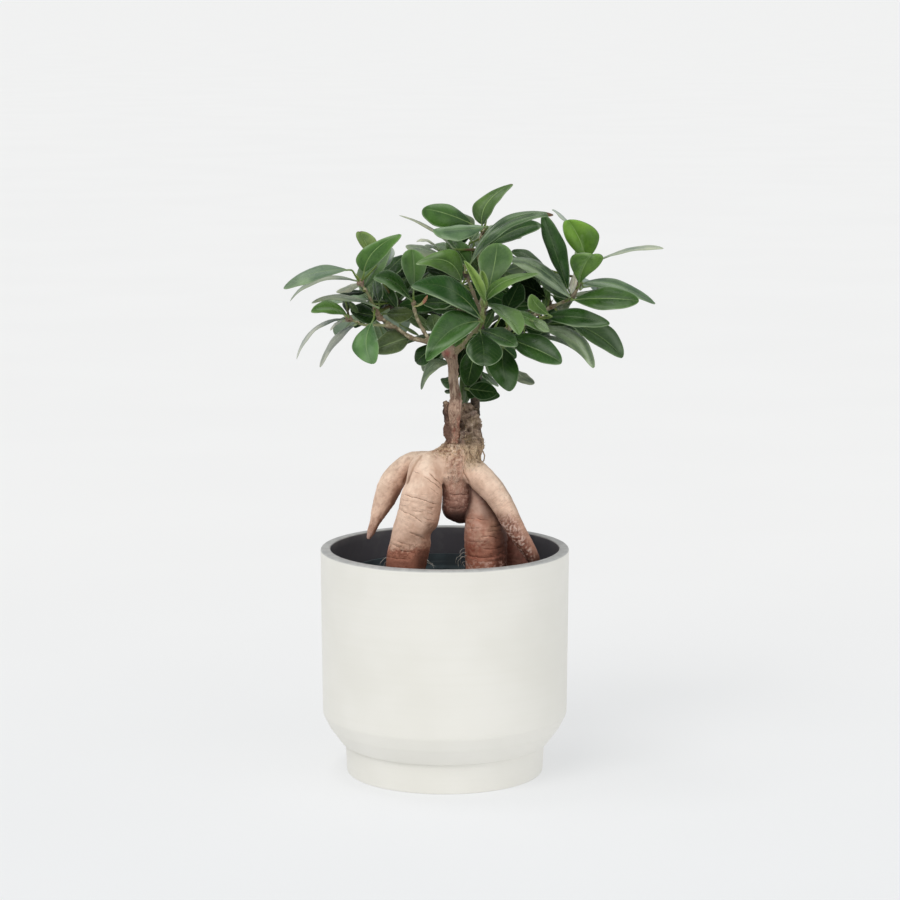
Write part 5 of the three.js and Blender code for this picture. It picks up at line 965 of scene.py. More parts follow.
def crumb(rng, at, size):
    """One lump of soil: a closed eight-sided blob, knocked out of shape."""
    g = (1 + 5 ** 0.5) / 2
    p = unit(np.array([[-1, g, 0], [1, g, 0], [-1, -g, 0], [1, -g, 0], [0, -1, g], [0, 1, g], [0, -1, -g], [0, 1, -g], [g, 0, -1], [g, 0, 1], [-g, 0, -1], [-g, 0, 1]]))
    faces = [[0, 11, 5], [0, 5, 1], [0, 1, 7], [0, 7, 10], [0, 10, 11], [1, 5, 9], [5, 11, 4], [11, 10, 2], [10, 7, 6], [7, 1, 8],
             [3, 9, 4], [3, 4, 2], [3, 2, 6], [3, 6, 8], [3, 8, 9], [4, 9, 5], [2, 4, 11], [6, 2, 10], [8, 6, 7], [9, 8, 1]]
    v, f, seen = list(p), [], {}

    def middle(a, b):
        key = (min(a, b), max(a, b))
        if key not in seen:
            seen[key] = len(v)
            v.append(unit(v[a] + v[b]))
        return seen[key]

    for a, b, c in faces:
        ab, bc, ca = middle(a, b), middle(b, c), middle(c, a)
        f += [[a, ab, ca], [b, bc, ab], [c, ca, bc], [ab, bc, ca]]
    v = np.array(v)
    v = v * (1 + 0.28 * rng.standard_normal(len(v)).clip(-1.5, 1.5) * 0.6)[:, None]
    q, _ = np.linalg.qr(rng.standard_normal((3, 3)))
    v = (v * rng.uniform(0.6, 1.15, 3)) @ q
    return v * size + at, f


def build_soil():
    rng = seeded(11)

    def radius(z):
        return 45 + 12.6 * (z - 8.35) / 113.95 - 1.55

    # a drum whose top is a fine uneven disc
    rings, seg = (44), (150)
    prof = [(0, 9.9), (radius(9.9) - 0.3, 9.9), (radius(55), 55), (radius(100), 100)]
    top_r = radius(104.5)
    prof += [(top_r * (1 - k / rings) if k < rings else 0, 105.6) for k in range(rings + 1)]
    v, f = lathe(prof, seg)
    top = v[:, 2] > 105
    r = np.hypot(v[:, 0], v[:, 1])
    p = v[top]
    rise = 1.1 * fbm(p / 14, 3, 3) + 0.9 * fbm(p / 4.2, 3, 4) + 0.5 * fbm(p / 1.7, 2, 6)
    rise = rise * smooth(top_r + 0.5, top_r - 3, r[top]) + 0.9 - 1.6 * smooth(top_r - 6, top_r, r[top])
    v[top, 2] += rise
    parts = [(v, f, {"crumb": np.clip(0.12 + 0.3 * fbm(v / 3.0, 3, 9), 0, 1)})]
    for k in range(900):
        a, rr = rng.uniform(0, 2 * np.pi), 53.5 * math.sqrt(rng.uniform(0.0, 1))
        size = float(np.exp(rng.normal(-0.15, 0.45))) * 0.75
        z = 106.2 + 1.1 * fbm(np.array([[rr * math.cos(a), rr * math.sin(a), 105.6]]) / 14, 3, 3)[0] - 1.2 * float(smooth(top_r - 6, top_r, rr))
        cv, cf = crumb(rng, np.array([rr * math.cos(a), rr * math.sin(a), z + size * 0.25]), min(size, 2.2))
        parts.append((cv, cf, {"crumb": np.full(len(cv), float(np.clip(rng.beta(1.4, 3.2), 0, 1)))}))
    v, f, at = merge(parts)
    ob = new_mesh("soil_crumbs", v, f, [("crumb", at["crumb"])], shade=False)
    paint(ob, soil_material())
    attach(ob, "root")
    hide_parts("soil")
    return ob


# ------------------------------------------------------------------------------------------------ rootstock
# Splits in the skin, as lines in the reference view, with half-width (pixels), depth (mm) and the darkness of the
# painted shade along them.
LEFT_CRACKS = [
    ([(411.5, 470), (415.5, 471.3), (420, 473.2)], 0.6, 0.30, 0.62),
    ([(424, 476), (430.5, 480.5), (435.5, 483.7), (442, 490)], 0.7, 0.45, 0.72),
    ([(429.5, 472.9), (435.5, 478), (440.6, 483.1), (445.5, 489)], 0.9, 0.75, 0.85),
    ([(402.5, 494.4), (410, 496.7), (416, 497.6), (425.4, 500.8), (431, 502.6), (438, 504.2)], 0.7, 0.45, 0.72),
    ([(399.8, 505), (406.6, 506.3)], 0.6, 0.25, 0.5),
    ([(398.8, 509), (403.2, 511), (410.2, 514.7), (419, 519.8), (423, 523.5)], 0.7, 0.40, 0.66),
    ([(416.5, 508.2), (420, 508.8), (424.1, 509.8)], 0.6, 0.22, 0.42),
    ([(427.3, 507.1), (434, 510)], 0.6, 0.28, 0.5),
    ([(427.5, 512.6), (435, 515.6)], 0.6, 0.28, 0.5),
    ([(409.5, 532.5), (418, 536), (426, 539.5)], 0.6, 0.32, 0.55),
    ([(391.5, 543.5), (396, 546), (401, 549)], 0.6, 0.32, 0.5),
    ([(398, 550.2), (404, 551.6), (410, 552.6), (416, 554)], 0.8, 0.35, 0.7),
    ([(386, 556.5), (396, 558.5), (406, 559)], 0.7, 0.25, 0.5),
    ([(427.8, 506.3), (432, 507.2), (436.2, 508.6)], 0.6, 0.22, 0.5),
    ([(412, 510.5), (419, 511.6), (426, 511.0)], 0.6, 0.22, 0.45),
    ([(401.5, 499.5), (406, 500.8), (411, 501.2)], 0.6, 0.18, 0.35),
    ([(423, 517), (429, 519.5), (435, 520.5)], 0.6, 0.22, 0.42),
    ([(428, 486.5), (434, 490), (440, 495.5)], 0.6, 0.2, 0.38),
    ([(404, 524), (410, 526.5)], 0.6, 0.18, 0.35),
    ([(396, 540.5), (401, 543), (408, 544.5)], 0.6, 0.22, 0.42),
]
RIGHT_CRACKS = [
    ([(475, 518.2), (480, 519), (485, 520), (488.5, 520.4)], 0.8, 0.6, 0.9),
    ([(467, 519.5), (470, 518.4), (475, 518.2)], 0.6, 0.35, 0.6),
    ([(468, 527.5), (474, 528.5), (481, 527.5)], 0.6, 0.3, 0.5),
    ([(490, 527), (496, 526), (503, 525)], 0.7, 0.4, 0.7),
    ([(480, 537.5), (487, 536.3), (493, 537), (500, 538.5)], 0.7, 0.4, 0.7),
    ([(487, 531.5), (494, 530.5), (503, 531)], 0.6, 0.35, 0.6),
    ([(467, 541.5), (475, 542.5), (484, 541)], 0.6, 0.3, 0.5),
    ([(484, 548.5), (494, 549.5), (505, 547)], 0.6, 0.3, 0.55),
    ([(468, 556.5), (480, 558), (496, 557)], 0.6, 0.3, 0.5),
]
BULB_CRACKS = [([(447.5, 493), (453, 495.2), (460, 495), (468, 494.2)], 0.7, 0.40, 0.7), ([(447, 499.5), (453, 501.2), (459, 500.8)], 0.6, 0.3, 0.5),
               ([(449, 507.5), (457, 509.2), (466, 507)], 0.6, 0.3, 0.5)]
FURROW = [(421.4, 455.8), (418, 460), (415, 463.9), (412, 468), (409, 472), (406.2, 477), (404, 482)]
# creases between limbs, in the same form: their dark lines are painted shade
CREASES = [([(462, 452), (462.6, 463), (464, 473), (467, 481), (470.5, 488)], 1.1, 0.75, 0.75),
           ([(453, 470), (455, 480)], 0.6, 0.25, 0.4), ([(449, 458), (450.5, 466)], 0.5, 0.2, 0.4)]

def shown_roots():
    """The roots, ended just under the soil."""
    out = {}
    for name, rows in ROOTS.items():
        if name == "stump":
            continue
        rows = [list(r) for r in rows]
        if name in LEG_NAMES:
            c = curve_points(rows, 2.0)
            c = c[: int(np.argmax(c[:, 2] < 99)) + 1] if (c[:, 2] < 99).any() else c
            rows = [list(r) for r in c[::3]] + [list(c[-1])]
        out[name] = rows
    return out


def root_skin(v, roots):
    """Distance to the rounded skin of all the roots, which limb is nearest, and the place along and round it."""
    z = v[:, 2]
    every = {k: chain_distance(v, rows) for k, rows in roots.items()}
    d = every["neck"][0]
    d = smin(d, every["bulb"][0], 0.7 + 5.0 * smooth(174, 184, z))
    d = smin(d, every["left_leg"][0], 0.9 + 6.5 * smooth(174, 186, z))
    d = smin(d, every["hanging_root"][0], 0.8 + 3.0 * smooth(183, 190, z))
    d = smin(d, every["right_root"][0], 0.9 + 2.6 * smooth(186, 192, z))
    d = smin(d, every["right_leg"][0], 0.9 + 2.0 * smooth(178, 188, z))
    d = smin(d, every["back_leg"][0], 1.2 + 3.0 * smooth(172, 184, z))
    names = list(roots)
    stack = np.array([every[k][0] for k in names])
    owner = stack.argmin(0)
    pick = np.arange(len(v))
    second = np.sort(stack, axis=0)[1] - stack[owner, pick]
    return d - 0.30, owner, names, np.array([every[k][1] for k in names])[owner, pick], np.array([every[k][2] for k in names])[owner, pick], second


def build_rootstock():
    roots = shown_roots()
    v, f = remeshed("rootstock", [tube(rows, 20, 2.0) for rows in roots.values()], 0.66)
    v, f = largest_body(v, f)
    e = edges_of(f)
    v = relax(v, e, 3)
    for k in range(4):
        d = root_skin(v, roots)[0]
        v = v - (np.clip(d, -1.0, 1.5) * 0.85)[:, None] * normals_of(v, f)
        v = relax(v, e, 1)
    d, owner, names, s, g, second = root_skin(v, roots)
    n = normals_of(v, f)
    is_ = {k: owner == i for i, k in enumerate(names)}
    z, px, py = v[:, 2], *picture(v)
    front = smooth(-0.05, 0.25, -n[:, 1])
    soft = {k: blur(m.astype(float), e, 6) for k, m in is_.items()}
    patch, fine_patch = fbm(v / 9, 3, 50), fbm(v / 3.2, 3, 51)
    # lumps and hollows
    move = 0.55 * fbm(v / 15, 3, 21) + 0.22 * fbm(v / 5.5, 3, 22) + 0.09 * fbm(v / 2.0, 2, 23)
    # growth rings round each root: fine wrinkles, deeper low down
    ring = noise3(np.c_[np.cos(g) * 1.1 + owner * 5.3, np.sin(g) * 1.1, s / 1.9 + 0.5 * fbm(v / 7, 2, 24)], 25)
    ridge = 1 - np.abs(ring) * 2.2
    deep = 0.06 + 0.24 * smooth(160, 152, z) * (soft["right_leg"] + soft["back_leg"]) + 0.10 * soft["left_leg"] * smooth(152, 138, z) + 0.08 * soft["bulb"]
    move = move - deep * np.clip(ridge, 0, 1) * smooth(203, 188, z)
    wrinkled = np.exp(-((py - 508) / 7.5) ** 2) * soft["left_leg"] + 0.7 * np.exp(-((py - 544) / 6) ** 2) * soft["left_leg"]
    move = move + 0.20 * wrinkled * noise3(np.c_[np.cos(g) * 2.2, np.sin(g) * 2.2, s / 1.35 + 0.7 * fbm(v / 4, 2, 68)], 67)
    # lengthwise muscle lines on the hanging and outer roots
    move = move + 0.14 * noise3(np.c_[np.cos(g) * 3, np.sin(g) * 3, s / 26], 26) * (soft["hanging_root"] + soft["right_root"])
    groove, split, splitw = np.zeros(len(v)), np.full(len(v), 9.0), np.zeros(len(v))
    wx, wy = px + 0.5 * noise3(v / 1.7, 31), py + 0.7 * noise3(v / 2.4, 32)
    middle = np.clip(soft["neck"] + soft["bulb"], 0, 1)
    for cracks, limbs in ((LEFT_CRACKS, ("left_leg", "neck", "bulb")), (RIGHT_CRACKS, ("right_leg",)), (BULB_CRACKS, ("bulb", "neck")),
                          (CREASES, ("neck", "bulb", "right_root", "left_leg", "hanging_root"))):
        on = smooth(0.25, 0.5, sum(soft[k] for k in limbs)) * front * (v[:, 1] < 8)
        a, w, deepness = split_field(wx, wy, cracks)
        cut = np.exp(-(a / 0.62) ** 2) * on * (w > 0)
        lip = np.exp(-((np.abs(a) - 1.5) / 0.8) ** 2) * on * (w > 0)
        move = move - deepness * cut + 0.22 * deepness * lip
        new = (w * on > splitw)
        split[new], splitw[new] = a[new], (w * on)[new]
    # the left leg is pinched where the hanging root passes behind it and notched under its rough patch; the neck is
    # hollow on the right under the graft
    move = move - 2.3 * np.exp(-((py - 479) / 12) ** 2) * smooth(0.15, -0.75, n[:, 0]) * soft["left_leg"]
    move = move - 2.1 * np.exp(-((py - 535) / 6.5) ** 2) * smooth(0.2, 0.8, n[:, 0]) * soft["left_leg"]
    move = move - 1.9 * np.exp(-((py - 457) / 6.0) ** 2) * smooth(0.2, 0.85, n[:, 0]) * soft["neck"]
    move = move + 1.7 * np.exp(-((py - 512) / 9.0) ** 2) * smooth(0.0, -0.8, n[:, 0]) * soft["bulb"]
    # like splits on the sides that the reference view doesn't show
    hidden = smooth(0.12, -0.12, -n[:, 1])
    belt = noise3(np.c_[np.cos(g) * 1.3 + owner * 3.7, np.sin(g) * 1.3, s / 6.0], 33) - 0.12
    where = hidden * smooth(184, 172, z) * smooth(-0.05, 0.3, fbm(v / 12, 2, 34) + 0.05)
    side = belt * 6.0
    cut = np.exp(-(side / 0.5) ** 2) * where
    move = move - 0.32 * cut
    new = (np.abs(side) < 1.8) & (where * 0.6 > splitw)
    split[new], splitw[new] = side[new], (where * 0.6)[new]
    # where the field jumps from one line to the next there is no split
    i, j = e[:, 0], e[:, 1]
    jump = (split[i] * split[j] < 0) & (np.abs(split[i] - split[j]) > 1.5)
    splitw[i[jump]] = 0
    splitw[j[jump]] = 0
    # the shallow furrow where the hanging root leaves the shoulder
    furrow = np.exp(-(line_distance(px + 0.3 * noise3(v / 2.0, 45), py, FURROW) / 1.25) ** 2) * front * (v[:, 1] < 10)
    move = move - 0.45 * furrow
    # the fibrous band where roots and graft meet, and the rough callus above it
    band = smooth(184, 193, z + 3.0 * fbm(v / 5, 2, 35)) * smooth(208, 200, z) * smooth(21, 12, np.hypot(v[:, 0] - 11, v[:, 1] + 1) + 2 * fbm(v / 3, 2, 43))
    front_fibre = np.exp(-(((px - 455) / 10) ** 2 + ((py - 469) / 19) ** 2)) * front * smooth(0.35, 0.7, middle)
    left_crumbs = smooth(428, 437, px + 3 * patch) * smooth(470, 462, px) * smooth(462, 452, py + 3 * patch) * front
    band = np.clip(np.maximum(np.maximum(band, 0.85 * front_fibre), 0.95 * left_crumbs), 0, 1)
    callus = smooth(199, 205, z + 1.5 * fbm(v / 5, 2, 36))
    rosy = smooth(468, 459, px + 2.0 * fbm(v / 2.5, 2, 46)) * front
    strand = noise3(np.c_[v[:, 0] * 0.95, v[:, 1] * 0.95, z * 0.30], 37) + 0.6 * noise3(np.c_[v[:, 0] * 2.1, v[:, 1] * 2.1, z * 0.8], 38)
    flake = noise3(np.c_[v[:, 0] * 0.70, v[:, 1] * 0.70, z * 0.62], 47) + 0.7 * noise3(np.c_[v[:, 0] * 1.25, v[:, 1] * 1.25, z * 1.0], 48)
    strand = strand * (1 - 0.85 * rosy) + flake * 0.85 * rosy
    move = move + band * ((0.42 + 0.16 * rosy) * strand + 0.26 * fbm(v / 1.1, 2, 39))
    knob = 1 - np.abs(fbm(v / 3.7, 3, 40)) * 2.6
    chunk = noise3(v / 2.3, 44)
    move = move + callus * (1.65 * (np.clip(knob, -0.6, 1) - 0.35) + 0.45 * np.clip(chunk * 2.2, -1, 1) + 0.30 * fbm(v / 1.2, 2, 41))
    # painted shade in the callus crevices and between the band's strands, through the groove mask
    crevice = smooth(0.16, 0.0, np.abs(fbm(v / 3.4, 3, 42)))
    groove = np.maximum(groove, callus * 0.52 * crevice)
    groove = np.maximum(groove, band * 0.40 * smooth(-0.25, -0.9, strand))
    # seams between neighbouring roots: painted shade where they press together
    seam = smooth(2.0, 0.3, second) * smooth(199, 186, z) * (1 - band)
    seam = seam * (1 - smooth(462, 452, px) * smooth(176, 184, z) * front)
    groove = np.maximum(groove, 0.50 * seam * smooth(186, 176, z))
    # flaking skin low on the outer root
    flaky = soft["right_root"] * smooth(165, 156, z + 3 * patch) * smooth(131, 137, z) * smooth(0.75, 0.1, n[:, 0])
    chips = 0.75 * noise3(np.c_[v[:, :2] / 0.85, z[:, None] / 1.25], 59) + 0.5 * noise3(v / 0.55, 61) + 0.25 * patch
    move = move + flaky * (0.22 * smooth(0.10, 0.40, chips) - 0.14 * smooth(-0.15, -0.5, chips))
    v = v + n * move[:, None]
    n = normals_of(v, f)

    # broad colour
    tan, warm, cream = linear(231, 199, 177), linear(216, 174, 149), linear(245, 223, 203)
    dark_red, pink = linear(112, 66, 52), linear(182, 136, 120)
    skin = np.tile(tan, (len(v), 1))

    def blend(c, w):
        nonlocal skin
        skin = skin + (c - skin) * np.clip(w, 0, 1)[:, None]

    # painted highlight on the upward-facing skin
    blend(cream, smooth(0.0, 0.8, n[:, 2] + 0.35 * patch) * smooth(150, 172, z) * 0.7)
    blend(warm, smooth(0.0, 0.6, fine_patch) * 0.35)
    # painted shade on the left leg's right side
    blend(warm, smooth(0.15, 0.75, n[:, 0]) * soft["left_leg"] * 0.55)
    blend(linear(202, 158, 134), smooth(160, 146, z + 3 * patch) * soft["left_leg"] * 0.5)
    # painted shade on the hanging root's right and lower side
    blend(linear(176, 130, 110), soft["hanging_root"] * smooth(0.15, 0.75, n[:, 0] - n[:, 2] * 0.5 + 0.5 * fine_patch) * smooth(187, 177, z) * 0.55)
    blend(linear(188, 142, 120), soft["hanging_root"] * smooth(160, 146, z) * 0.6)
    blend(linear(150, 104, 88), soft["hanging_root"] * smooth(0.0, 0.4, fbm(v / 1.6, 3, 49)) * 0.35)
    blend(linear(220, 184, 172), soft["hanging_root"] * smooth(150, 145, z) * 0.6)
    # the reddish feet: a ragged edge of blotches, not a line
    ragged = 2.4 * fbm(v / 3.5, 3, 52) + 2.2 * fbm(v / 1.1, 2, 62)
    line = 141.2 + 0.06 * (v[:, 0] + 22) + ragged
    blotch = smooth(0.02, 0.28, fbm(np.c_[v[:, :2] / 1.3, z[:, None] / 0.9], 3, 63))
    blend(linear(140, 92, 72), smooth(line + 7, line - 1, z) * soft["left_leg"] * blotch * 0.75)
    blend(linear(186, 122, 98), smooth(line + 1.0, line - 1.6, z) * soft["left_leg"] * 0.92)
    blend(linear(190, 132, 108), smooth(line + 0.5, line - 1, z) * soft["left_leg"] * smooth(0.0, 0.45, fbm(v / 2.0, 3, 64)) * 0.6)
    blend(linear(120, 72, 56), smooth(line + 1, line - 2, z) * smooth(line - 7, line - 3, z) * soft["left_leg"] * blotch * 0.6)
    blend(dark_red, smooth(line - 2, line - 10, z + 2 * fine_patch) * soft["left_leg"] * 0.45)
    blend(linear(186, 152, 136), soft["right_leg"] * smooth(153, 160, z) * 0.85)
    blend(linear(166, 122, 106), soft["right_leg"] * smooth(153, 160, z) * smooth(0.0, 0.4, fbm(np.c_[v[:, :2] / 4, z[:, None] / 1.3], 3, 65)) * 0.55)
    # painted shade on the right leg's right side
    blend(linear(124, 86, 74), soft["right_leg"] * smooth(153, 160, z) * smooth(0.25, 0.8, n[:, 0]) * 0.6)
    low = soft["right_leg"] * smooth(161.5, 154.5, z + 2.6 * patch + 0.8 * ragged)
    blend(linear(190, 136, 114), low * 0.95)
    blend(linear(176, 114, 92), low * smooth(154, 140, z + 5 * patch + ragged) * 0.85)
    blend(linear(150, 94, 76), low * blotch * smooth(158, 150, z) * 0.45)
    # pale pink patches, shown only on the side turned to the light as painted highlight, then painted shade on the
    # right side
    blend(linear(220, 176, 158), low * smooth(0.05, 0.40, fbm(np.c_[v[:, :2] / 4, z[:, None] / 1.2], 3, 53)) * smooth(0.55, -0.2, n[:, 0]) * smooth(136, 148, z) * 0.6)
    blend(linear(108, 66, 52), low * smooth(0.20, 0.80, n[:, 0] + 0.3 * fine_patch) * 0.72)
    blend(linear(150, 96, 82), soft["back_leg"] * smooth(172, 158, z) * 0.9)
    blend(linear(164, 106, 92), soft["back_leg"] * smooth(0.0, 0.5, fbm(np.c_[v[:, :2] / 5, z[:, None] / 2], 3, 57)) * 0.6)
    blend(pink, soft["bulb"] * smooth(190, 174, z) * 0.9)
    blend(linear(150, 108, 94), soft["bulb"] * smooth(178, 168, z + 2 * patch) * 0.65)
    blend(linear(104, 72, 62), soft["bulb"] * smooth(168, 161, z + 1.5 * patch) * 0.75)
    # painted shade on the bulb's flanks
    blend(linear(108, 70, 60), soft["bulb"] * smooth(0.30, 0.85, np.abs(n[:, 0])) * smooth(182, 174, z) * 0.75)
    blend(linear(216, 180, 164), soft["bulb"] * smooth(0.10, 0.40, fbm(np.c_[v[:, :2] / 1.4, z[:, None] / 0.9], 3, 58)) * smooth(190, 182, z) * smooth(160, 166, z) * 0.55)
    # painted shade under the bulb
    blend(linear(60, 40, 36), soft["bulb"] * smooth(163.5, 159.5, z + 1.0 * patch - 2.0 * n[:, 2]) * 0.9)
    outer = soft["right_root"]
    # painted shade where a neighbour presses close
    close = smooth(4.6, 0.4, second) * smooth(190, 179, z) * (1 - band)
    blend(linear(112, 76, 58), close * soft["hanging_root"] * front * 0.75)
    blend(linear(84, 50, 40), close * soft["right_leg"] * 0.75)
    blend(linear(120, 82, 66), smooth(2.6, 0.3, second) * smooth(182, 175, z) * soft["left_leg"] * 0.6)
    # painted shade on the right sides of the hanging root, left leg and outer root, painted highlights on the left
    # sides of the hanging root and left leg, and a painted shadow of the outer root on the right leg
    blend(linear(104, 72, 56), soft["hanging_root"] * smooth(0.15, 0.75, n[:, 0]) * smooth(178, 168, z) * front * 0.7)
    blend(linear(240, 214, 192), soft["hanging_root"] * smooth(0.1, -0.7, n[:, 0]) * smooth(158, 172, z) * 0.45)
    blend(linear(150, 104, 82), soft["left_leg"] * smooth(0.25, 0.85, n[:, 0]) * smooth(176, 160, z) * front * 0.55)
    blend(linear(242, 212, 190), soft["left_leg"] * smooth(-0.1, -0.75, n[:, 0]) * smooth(142, 150, z) * 0.45)
    blend(linear(172, 146, 126), soft["right_root"] * smooth(0.40, 0.90, n[:, 0]) * smooth(190, 178, z) * (1 - flaky) * 0.75)
    blend(linear(108, 78, 64), soft["right_leg"] * front * smooth(478, 486, px) * smooth(530, 516, py) * 0.6)
    # the right leg's flaking front: pale pink scales above, olive-brown wrinkles to the right, brick red low on the left
    facing = front * soft["right_leg"]
    scales = fbm(np.c_[v[:, :2] / 2.1, z[:, None] / 1.4], 3, 66)
    blend(linear(214, 176, 158), facing * np.exp(-(((px - 471) / 9) ** 2 + ((py - 526) / 8) ** 2)) * smooth(-0.15, 0.15, scales) * 0.85)
    blend(linear(216, 174, 152), facing * np.exp(-(((px - 482) / 8) ** 2 + ((py - 539) / 9) ** 2)) * smooth(-0.25, 0.12, scales) * 0.85)
    blend(linear(150, 116, 94), facing * np.exp(-(((px - 494) / 7) ** 2 + ((py - 529) / 8) ** 2)) * 0.8)
    blend(linear(158, 88, 70), facing * np.exp(-(((px - 472) / 8) ** 2 + ((py - 551) / 11) ** 2)) * smooth(0.2, -0.1, scales) * 0.75)
    # painted shade on its right side
    blend(linear(98, 60, 46), facing * smooth(490, 500, px + 2 * patch) * smooth(522, 536, py) * 0.75)
    blend(linear(158, 102, 86), facing * smooth(490, 498, px) * smooth(548, 556, py) * smooth(-0.1, 0.2, scales) * 0.8)
    blend(linear(226, 186, 170), facing * smooth(558, 563, py) * smooth(0.1, 0.3, scales) * 0.7)
    blend(linear(196, 152, 130), outer * smooth(166, 154, z + 2 * patch) * 0.7)
    blend(linear(160, 110, 90), outer * smooth(155, 144, z + 3 * fine_patch) * 0.75)
    blend(linear(96, 60, 48), outer * smooth(141, 133, z + 2 * fine_patch) * 0.85)
    blend(linear(150, 96, 80), flaky * 0.62)
    blend(linear(240, 212, 198), flaky * smooth(0.16, 0.40, chips) * 0.85)
    blend(linear(100, 62, 50), flaky * smooth(-0.12, -0.45, chips) * 0.75)
    # the rough patch low on the left leg
    rough_spot = np.exp(-(((px - 431) / 5.0) ** 2 + ((py - 526) / 4.0) ** 2)) * front * soft["left_leg"]
    blend(linear(128, 88, 66), rough_spot * (0.45 + fine_patch))
    # the band: straw-coloured to the right and behind, rosy and flaking in front
    blend(linear(184, 160, 128), band * 0.74 * (1 - rosy))
    blend(linear(222, 200, 170), band * smooth(0.15, 0.8, strand) * 0.75 * (1 - rosy))
    blend(linear(116, 92, 66), band * smooth(0.0, -0.7, strand) * 0.8 * (1 - rosy))
    blend(linear(218, 180, 156), band * 0.85 * rosy)
    blend(linear(222, 194, 158), band * rosy * smooth(466, 450, py + 4 * patch) * 0.7)
    blend(linear(248, 226, 206), band * smooth(0.10, 0.5, strand) * 0.85 * rosy)
    blend(linear(150, 104, 82), band * smooth(-0.12, -0.6, strand) * 0.75 * rosy)
    blend(linear(176, 120, 104), front_fibre * smooth(0.0, 0.6, fine_patch + 0.2) * 0.5)
    grey = linear(176, 156, 138)
    blend(grey, callus * 0.9)
    blend(linear(120, 100, 82), callus * smooth(0.0, 0.45, fbm(v / 4, 3, 54)) * 0.8)
    # painted highlights on the raised lumps of the callus and painted shade in its crevices
    blend(linear(214, 196, 176), callus * smooth(0.15, 0.75, knob) * smooth(-0.1, 0.3, fbm(v / 2.6, 3, 55)) * 0.9)
    blend(linear(66, 48, 40), callus * smooth(-0.1, -0.8, knob) * 0.75)
    blend(linear(124, 104, 104), callus * smooth(0.10, 0.5, fbm(v / 5.5, 2, 56)) * 0.5)
    blend(linear(134, 118, 84), callus * smooth(0.05, 0.4, fbm(v / 4.5, 2, 60)) * 0.5)
    # painted shade in the furrow, darker lower down
    blend(linear(186, 148, 122), furrow * (1 - band) * 0.7)
    blend(linear(126, 90, 70), furrow * smooth(464, 478, py) * (1 - band) * 0.75)
    # painted light that lifts the shade in the crevice between the left leg and the bulb
    blend(linear(248, 220, 198), np.exp(-(((px - 446) / 4.5) ** 2 + ((py - 477) / 6.5) ** 2)) * front * 0.75)
    blend(linear(80, 47, 36), soft["left_leg"] * smooth(411, 422, px + 2.5 * patch + 3.0 * fine_patch) * smooth(545, 552, py + 2 * fine_patch) * front * 0.6)
    coarse = np.clip(band * 0.85 + callus + rough_spot * 0.8 + 0.32 * soft["bulb"] * smooth(186, 180, z), 0, 1)
    # painted shade on the undersides
    under = smooth(-0.2, -0.9, n[:, 2])
    blend(skin * 0.72, under * 0.5)
    limb = np.c_[np.cos(g) * 8 + owner * 31.7, np.sin(g) * 8, s]
    # where the place along the limb stands still (at joints), marks would be drawn out long: they are left off there
    i, j = e[:, 0], e[:, 1]
    pace = np.abs(s[i] - s[j]) / np.maximum(np.linalg.norm(v[i] - v[j], axis=1), 1e-3)
    fastest = np.zeros(len(v))
    np.maximum.at(fastest, i, pace)
    np.maximum.at(fastest, j, pace)
    worn = np.clip(blur((fastest < 0.55).astype(float) + (fastest > 2.5), e, 2) * 2.0, 0, 1)
    skin = np.clip(skin, 0.005, 1)

    ob = new_mesh("rootstock_bark", v, f, [("skin", skin), ("limb", limb), ("groove", np.clip(groove, 0, 1)), ("coarse", coarse), ("worn", worn), ("split", split), ("splitw", splitw)])
    bark = bark_material("root_bark", grain=0.8, fibre=0.22, rough=0.62, spots=0.9)
    paint(ob, bark)
    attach(ob, "root")
    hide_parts("rootstock")
    print("rootstock_bark", len(f))
    parts = []

    def fibre(rows, tone):
        tv, tf, ts, ta = tube(rows, 5, None)
        m = len(tv)
        parts.append((tv, tf, {"skin": np.tile(tone, (m, 1)), "limb": np.c_[np.cos(ta), np.sin(ta), ts], "groove": np.zeros(m),
                               "coarse": np.full(m, 0.15), "split": np.full(m, 9.0), "splitw": np.zeros(m)}))

    # fine loose fibres that lie on the band and hang round the graft
    rng = seeded(61)
    where = np.where((band > 0.35) | ((callus > 0.3) & (z < 206)))[0]
    for k in range(430):
        i = int(rng.choice(where))
        at, nn = v[i].copy(), n[i]
        way = unit(np.array([rng.normal(0, 0.5), rng.normal(0, 0.35), -1.0]))
        rows, r = [], float(rng.uniform(0.07, 0.16))
        length = rng.uniform(1.2, 3.6)
        steps = 6
        for j in range(steps + 1):
            way = unit(way + rng.normal(0, 0.45, 3))
            way = unit(way - nn * np.dot(way, nn) * 0.9)
            rows.append([*(at + nn * (r * 0.5)), r * (1 - 0.6 * j / steps)])
            at = at + way * length / steps
            close = lookup(v, at)
            nn = n[close]
            at = v[close] * 0.75 + (at - nn * np.dot(at - v[close], nn)) * 0.25
        pick = rng.random()
        if rosy[i] > 0.5:
            fibre(rows, linear(238, 212, 196) if pick < 0.5 else (linear(204, 160, 138) if pick < 0.75 else linear(136, 94, 76)))
        else:
            fibre(rows, linear(232, 212, 176) if pick < 0.45 else (linear(186, 158, 120) if pick < 0.75 else linear(120, 94, 66)))
